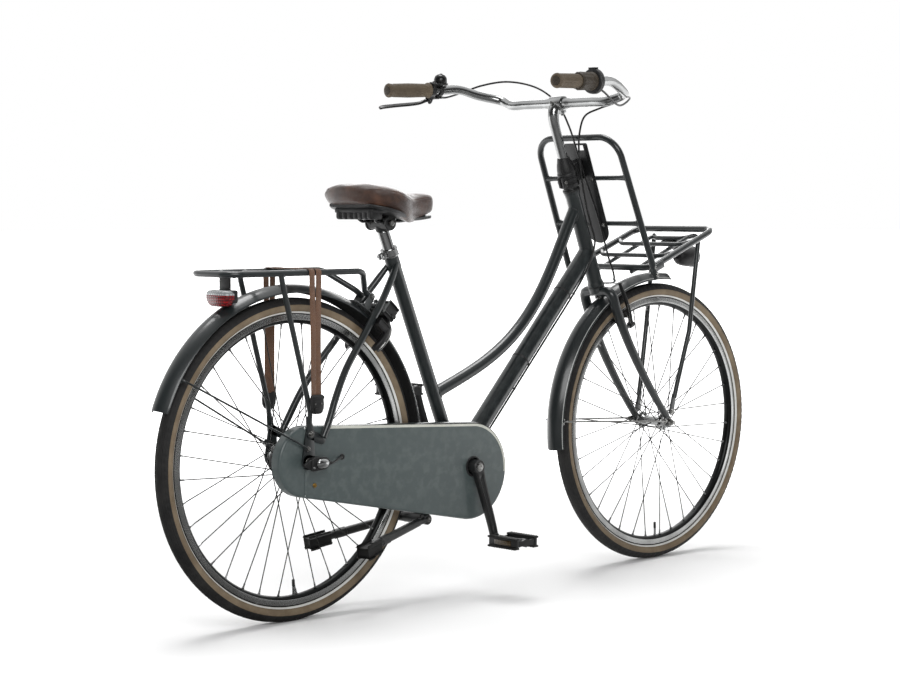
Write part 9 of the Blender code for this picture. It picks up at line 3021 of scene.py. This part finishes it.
@dataclass
class Cables(Assembly):
    """Outer cables on their held routes, ferrules, ties and the bright bend of the brake."""

    radius: float = 0.0024

    def build(self) -> list[bpy.types.Object]:
        """Make the pieces and return them."""
        at, rear = LAYOUT.steering, LAYOUT.rear
        lever = BrakeLever()
        start = lever.beside(0.1648, 0.0197)
        brake = [start, start + 0.02 * lever.along, rear(0.785, 0.268, 1.178), rear(0.814, 0.236, 1.193),
                 rear(0.842, 0.17, 1.201), rear(0.866, 0.09, 1.182), at(0.452, 0.064, 0.035), at(0.4, 0.052, 0.005),
                 at(0.345, 0.04, -0.012), at(0.27, 0.04, -0.0165), at(0.17, 0.048, -0.018),
                 at(0.105, 0.048, -0.019), at(0.055, 0.045, -0.022), at(0.02, 0.043, -0.027),
                 at(-0.002, 0.0415, -0.026)]
        path = curve_through(brake, 12)
        ends = [rod("ferrule", path[0], path[0] + 0.012 * lever.along, 0.0031, 16, edge=0.0003)]
        self.add(tube("outer", path, self.radius, 14), "brake_outer", CABLE_SLEEVE, "steering", "brake_cable")
        noodle = [at(-0.002, 0.0415, -0.026), at(-0.0065, 0.044, -0.02), at(-0.011, 0.0487, -0.004),
                  at(-0.012, 0.0487, 0.012), at(-0.012, 0.0487, 0.03)]
        bend = curve_through(noodle, 8)
        self.add([tube("bend", bend, 0.0025, 18),
                  rod("ferrule", at(0.006, 0.0405, -0.0262), at(-0.004, 0.0418, -0.0262), 0.0032, 18, edge=0.0004),
                  rod("head", at(-0.012, 0.0487, 0.026), at(-0.012, 0.0487, 0.034), 0.0036, 18, edge=0.0005),
                  rod("wire", at(-0.012, 0.0487, 0.03), at(-0.012, 0.0487, 0.047), 0.0009, 10), *ends],
                 "brake_noodle", SILVER, "steering")
        sleeve = [(0.0012, 0.0), (0.0024, 0.0008), (0.003, 0.003), (0.0024, 0.005), (0.0031, 0.007), (0.0025, 0.009),
                  (0.003, 0.011), (0.0016, 0.0125)]
        boot = lathe("boot", sleeve, at(-0.012, 0.0487, -0.0395), Y_AXIS, 20)
        wire = rod("wire", at(-0.012, 0.0487, -0.043), at(-0.012, 0.0487, -0.004), 0.0009, 10)
        self.add([boot], "brake_boot", PEDAL_RUBBER, "steering")
        self.add([wire], "brake_wire", STEEL, "steering")
        exit_ = BAR.along_grip(Side.RIGHT, 0.1516) + Vector((0, 0, -0.0146))
        front = [exit_, exit_ + Vector((0.02, 0, -0.006)), rear(0.8, -0.232, 1.128), rear(0.866, -0.205, 1.146),
                 rear(0.888, -0.18, 1.153), rear(0.884, -0.145, 1.14), rear(0.878, -0.1, 1.128),
                 at(0.425, 0.046, -0.062), at(0.39, 0.036, -0.042), at(0.335, 0.026, -0.03),
                 at(0.27, 0.015, -0.028), at(0.2, 0.008, -0.028)]
        self.add(tube("outer", curve_through(front, 12), self.radius, 14), "shift_outer_front", CABLE_SLEEVE,
                 "steering", "shift_cable_front")
        self.rear_run()
        return self.pieces

    def under(self, share: float, degrees: float) -> Vector:
        """Point of the cable below the down tube."""
        top = LAYOUT.steering(0.09, 0)
        along = (LAYOUT.bracket - top).normalized()
        below = along.cross(Y_AXIS)
        below = below if below.z < 0 else -below
        a = math.radians(degrees)
        return top.lerp(LAYOUT.bracket, share) + 0.0251 * (math.cos(a) * below - math.sin(a) * Y_AXIS)

    def rear_run(self) -> None:
        """Gear cable from the head tube along the down tube and chainstay to the gear box."""
        at, rear, bb, axle = LAYOUT.steering, LAYOUT.rear, LAYOUT.bracket, LAYOUT.rear_axle
        stay, behind = MainFrame().chainstay_path(-1), []
        for ahead, drop, aside in ((0.3, 0.0118, 0.0), (0.2, 0.01, 0.0065), (0.14, 0.0, 0.0123)):
            x = rear(ahead, 0, 0).x
            for first, second in zip(stay, stay[1:]):
                if min(first.x, second.x) <= x <= max(first.x, second.x):
                    behind.append(first.lerp(second, (x - first.x) / (second.x - first.x))
                                  + Vector((0, -aside, -drop)))
                    break
        hole = rear(0.098, -0.05945, 0.3535)
        end = axle + Vector((0.034, -0.0795, -0.004))
        lower = [self.under(*spot) for spot in ((0.045, 84), (0.11, 62), (0.2, 42), (0.34, 32), (0.52, 28),
                                                (0.7, 28), (0.86, 28))]
        route = [at(0.1988, 0.008, -0.028), at(0.155, 0.01, -0.026), at(0.115, 0.008, -0.0262), *lower,
                 bb + Vector((0.004, -0.016, -0.0275)),
                 bb + Vector((-0.056, -0.03, -0.02)), bb + Vector((-0.102, -0.035, -0.0105)), *behind,
                 hole + Vector((0.012, 0.0062, 0.001)),
                 hole + Vector((-0.012, -0.0062, -0.001)), end + Vector((0.02, 0, 0)), end]
        path = curve_through(route, 10)
        self.add(tube("outer", path, self.radius, 14), "shift_outer_rear", CABLE_SLEEVE, "frame",
                 "shift_cable_rear")
        ties = []
        for k in (48, 76, 104):
            ahead = (path[k + 1] - path[k]).normalized()
            ties.append(lathe("tie", symmetric([(0.0024, -0.0018), (0.0033, -0.0018)]), path[k], ahead, 20,
                              looped=True))
        self.add(ties, "cable_ties", BLACK_PLASTIC, "frame")


ASSEMBLIES: tuple[Assembly, ...] = (
    Wheel("rear", LAYOUT.rear_axle, phase=math.radians(53.5), hub_profile=rear_hub_profile(), flange_radius=0.033,
          flange_sides=(0.0335, 0.0295), hub_finish=SILVER),
    Wheel("front", LAYOUT.front_axle, phase=math.radians(5.0), hub_profile=front_hub_profile(), flange_radius=0.02,
          flange_sides=(0.034, 0.034), hub_finish=POLISHED),
    AxleSet("rear_axle", LAYOUT.rear_axle, "frame", dropout=0.0605),
    AxleSet("front_axle", LAYOUT.front_axle, "steering", dropout=0.05),
    MainFrame(),
    Fork(),
    Stem(),
    Mudguard("rear", LAYOUT.rear_axle, start=1.0, end=160.0, body="frame", stay_at=148.0, stay_foot=(-0.004, 0.029),
             dropout=0.0605, screw_at=(52.0,), nubs=(3.0, 30.0)),
    Mudguard("front", LAYOUT.front_axle, start=84.0, end=187.0, body="steering", stay_at=176.0,
             stay_foot=(-0.019, 0.004), dropout=0.05, screw_at=(122.6,), nubs=(177.0,)),
    ChainCase(),
    Drive(),
    Pedal(Side.LEFT),
    Pedal(Side.RIGHT),
    ShiftBox(),
    BAR,
    BrakeLever(),
    Saddle(),
    RearCarrier(),
    TailLamp(),
    Straps(),
    FrontCarrier(),
    Kickstand(),
    RingLock(),
    BrakeArms(),
    Cables(),
)


# Studio


@dataclass(frozen=True)
class Studio:
    """White room: pale floor, broad lamps, a world that is white behind the bike, and the camera."""

    floor_reach: float = 60.0
    clear_from: float = 1.35
    clear_to: float = 2.6
    dim_from: float = -0.3
    dim_to: float = 0.6
    dim_floor: float = 0.14
    world_level: float = 0.34
    dim_side: float = 0.05
    above: float = 1.9
    above_spread: float = 34.0
    side_power: float = 60.0
    rim_power: float = 26.0
    camera_place: tuple[float, float, float] = (-3.46975, -3.496, 0.896)
    camera_turn: float = -43.793
    camera_rise: float = 3.577
    camera_roll: float = -0.018
    lens: float = 84.202

    def build(self) -> None:
        """Make floor, world, lamps and camera."""
        scene = bpy.context.scene
        scene.view_settings.view_transform = "Standard"
        self.floor()
        self.world(scene)
        self.lamps()
        self.camera(scene)

    def floor(self) -> None:
        """Pale floor that keeps the shadow near the bike and is plain white further away."""
        reach = self.floor_reach
        corners = [(-reach, -reach, -0.0004), (reach, -reach, -0.0004), (reach, reach, -0.0004),
                   (-reach, reach, -0.0004)]
        obj = mesh_of("floor", corners, [(0, 1, 2, 3)])
        recipe = Recipe("studio_floor")
        away = recipe.node("ShaderNodeVectorMath", {0: recipe.stretched(1.0, 1.0, 0.0)}, operation="LENGTH")
        share = recipe.remap(away.outputs["Value"], self.clear_from, self.clear_to)
        cloud = recipe.noise(3.0, 2.0)
        turn = math.radians(self.camera_turn)
        nearer = recipe.node("ShaderNodeVectorMath", {0: recipe.place, 1: (math.sin(turn), -math.cos(turn), 0.0)},
                             operation="DOT_PRODUCT").outputs["Value"]
        glossy = recipe.node("ShaderNodeLightPath").outputs["Is Glossy Ray"]
        dim = recipe.calc("SUBTRACT", 1.0,
                          recipe.calc("MULTIPLY", glossy, recipe.remap(nearer, self.dim_from, self.dim_to,
                                                                       0.0, 1.0 - self.dim_floor)))
        pale = recipe.mix(cloud, (0.97, 0.97, 0.97, 1.0), (0.98, 0.98, 0.98, 1.0))
        recipe.put(Base_Color=recipe.mix(dim, (0.0, 0.0, 0.0, 1.0), pale), Roughness=0.9, Specular_IOR_Level=0.1,
                   Emission_Color=(1.0, 1.0, 1.0, 1.0), Emission_Strength=recipe.calc("MULTIPLY", share, dim))
        obj.data.materials.append(recipe.material)

    def world(self, scene: bpy.types.Scene) -> None:
        """World that is white to the camera, and dimmer in reflections towards the photographer."""
        world = bpy.data.worlds.new("studio")
        world.use_nodes = True
        scene.world = world
        tree = world.node_tree
        background = tree.nodes["Background"]
        background.inputs["Color"].default_value = (1.0, 1.0, 1.0, 1.0)
        rays = tree.nodes.new("ShaderNodeLightPath")
        place = tree.nodes.new("ShaderNodeTexCoord")
        turn = math.radians(self.camera_turn)
        facing = tree.nodes.new("ShaderNodeVectorMath")
        facing.operation = "DOT_PRODUCT"
        facing.inputs[1].default_value = (math.sin(turn), -math.cos(turn), -0.55)
        tree.links.new(place.outputs["Generated"], facing.inputs[0])
        ramp = tree.nodes.new("ShaderNodeMapRange")
        for key, value in (("From Min", 0.15), ("From Max", -0.6), ("To Min", self.dim_side), ("To Max", 1.0)):
            ramp.inputs[key].default_value = value
        tree.links.new(facing.outputs["Value"], ramp.inputs["Value"])

        def join(operation: str, first: Socket, second: Socket) -> Socket:
            """Two values joined by an operation."""
            node = tree.nodes.new("ShaderNodeMath")
            node.operation = operation
            tree.links.new(first, node.inputs[0])
            tree.links.new(second, node.inputs[1])
            return node.outputs[0]

        glossy = join("MULTIPLY", rays.outputs["Is Glossy Ray"], ramp.outputs["Result"])
        seen = join("MAXIMUM", rays.outputs["Is Camera Ray"], rays.outputs["Is Transmission Ray"])
        level = tree.nodes.new("ShaderNodeMath")
        level.operation = "MAXIMUM"
        level.inputs[1].default_value = self.world_level
        tree.links.new(join("MAXIMUM", glossy, seen), level.inputs[0])
        dull = tree.nodes.new("ShaderNodeMix")
        dull.data_type = "FLOAT"
        tree.links.new(rays.outputs["Is Glossy Ray"], dull.inputs[0])
        tree.links.new(level.outputs[0], dull.inputs[2])
        tree.links.new(ramp.outputs["Result"], dull.inputs[3])
        tree.links.new(dull.outputs[0], background.inputs["Strength"])

    def lamps(self) -> None:
        """Broad light from above, a large soft box by the camera and one behind."""
        sun = bpy.data.lights.new("above", "SUN")
        sun.energy = self.above
        sun.angle = math.radians(self.above_spread)
        new_object("above", sun).rotation_euler = (math.radians(-8.0), math.radians(6.0), 0.0)
        for name, place, size, power in (("side_box", Vector((-2.2, -2.9, 2.1)), (2.4, 1.6), self.side_power),
                                         ("rim_box", Vector((2.6, 2.2, 2.0)), (2.2, 1.4), self.rim_power)):
            data = bpy.data.lights.new(name, "AREA")
            data.shape = "RECTANGLE"
            data.size, data.size_y = size
            data.energy = power
            lamp = new_object(name, data)
            lamp.location = place
            lamp.rotation_euler = (Vector((0.0, 0.0, 0.55)) - place).to_track_quat("-Z", "Y").to_euler()

    def camera(self, scene: bpy.types.Scene) -> None:
        """Camera at the photograph's angle."""
        turn, rise, roll = (math.radians(v) for v in (self.camera_turn, self.camera_rise, self.camera_roll))
        back = Vector((math.sin(turn) * math.cos(rise), -math.cos(turn) * math.cos(rise), math.sin(rise)))
        right = Vector((math.cos(turn), math.sin(turn), 0.0))
        data = bpy.data.cameras.new("camera")
        data.lens = self.lens
        data.sensor_width = 36.0
        camera = new_object("camera", data)
        basis = Matrix((right, back.cross(right), back)).transposed() @ Matrix.Rotation(roll, 3, "Z")
        camera.matrix_world = Matrix.Translation(self.camera_place) @ basis.to_4x4()
        scene.camera = camera


def main() -> None:
    """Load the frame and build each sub-assembly."""
    logging.basicConfig(level=logging.INFO, format="%(name)s: %(message)s")
    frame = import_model()
    log.info("%d nodes loaded", len(frame["nodes"]))
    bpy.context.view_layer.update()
    Studio().build()
    for assembly in ASSEMBLIES:
        pieces = assembly.build()
        log.info("%s: %d pieces", type(assembly).__name__, len(pieces))


if __name__ == "__main__":
    main()
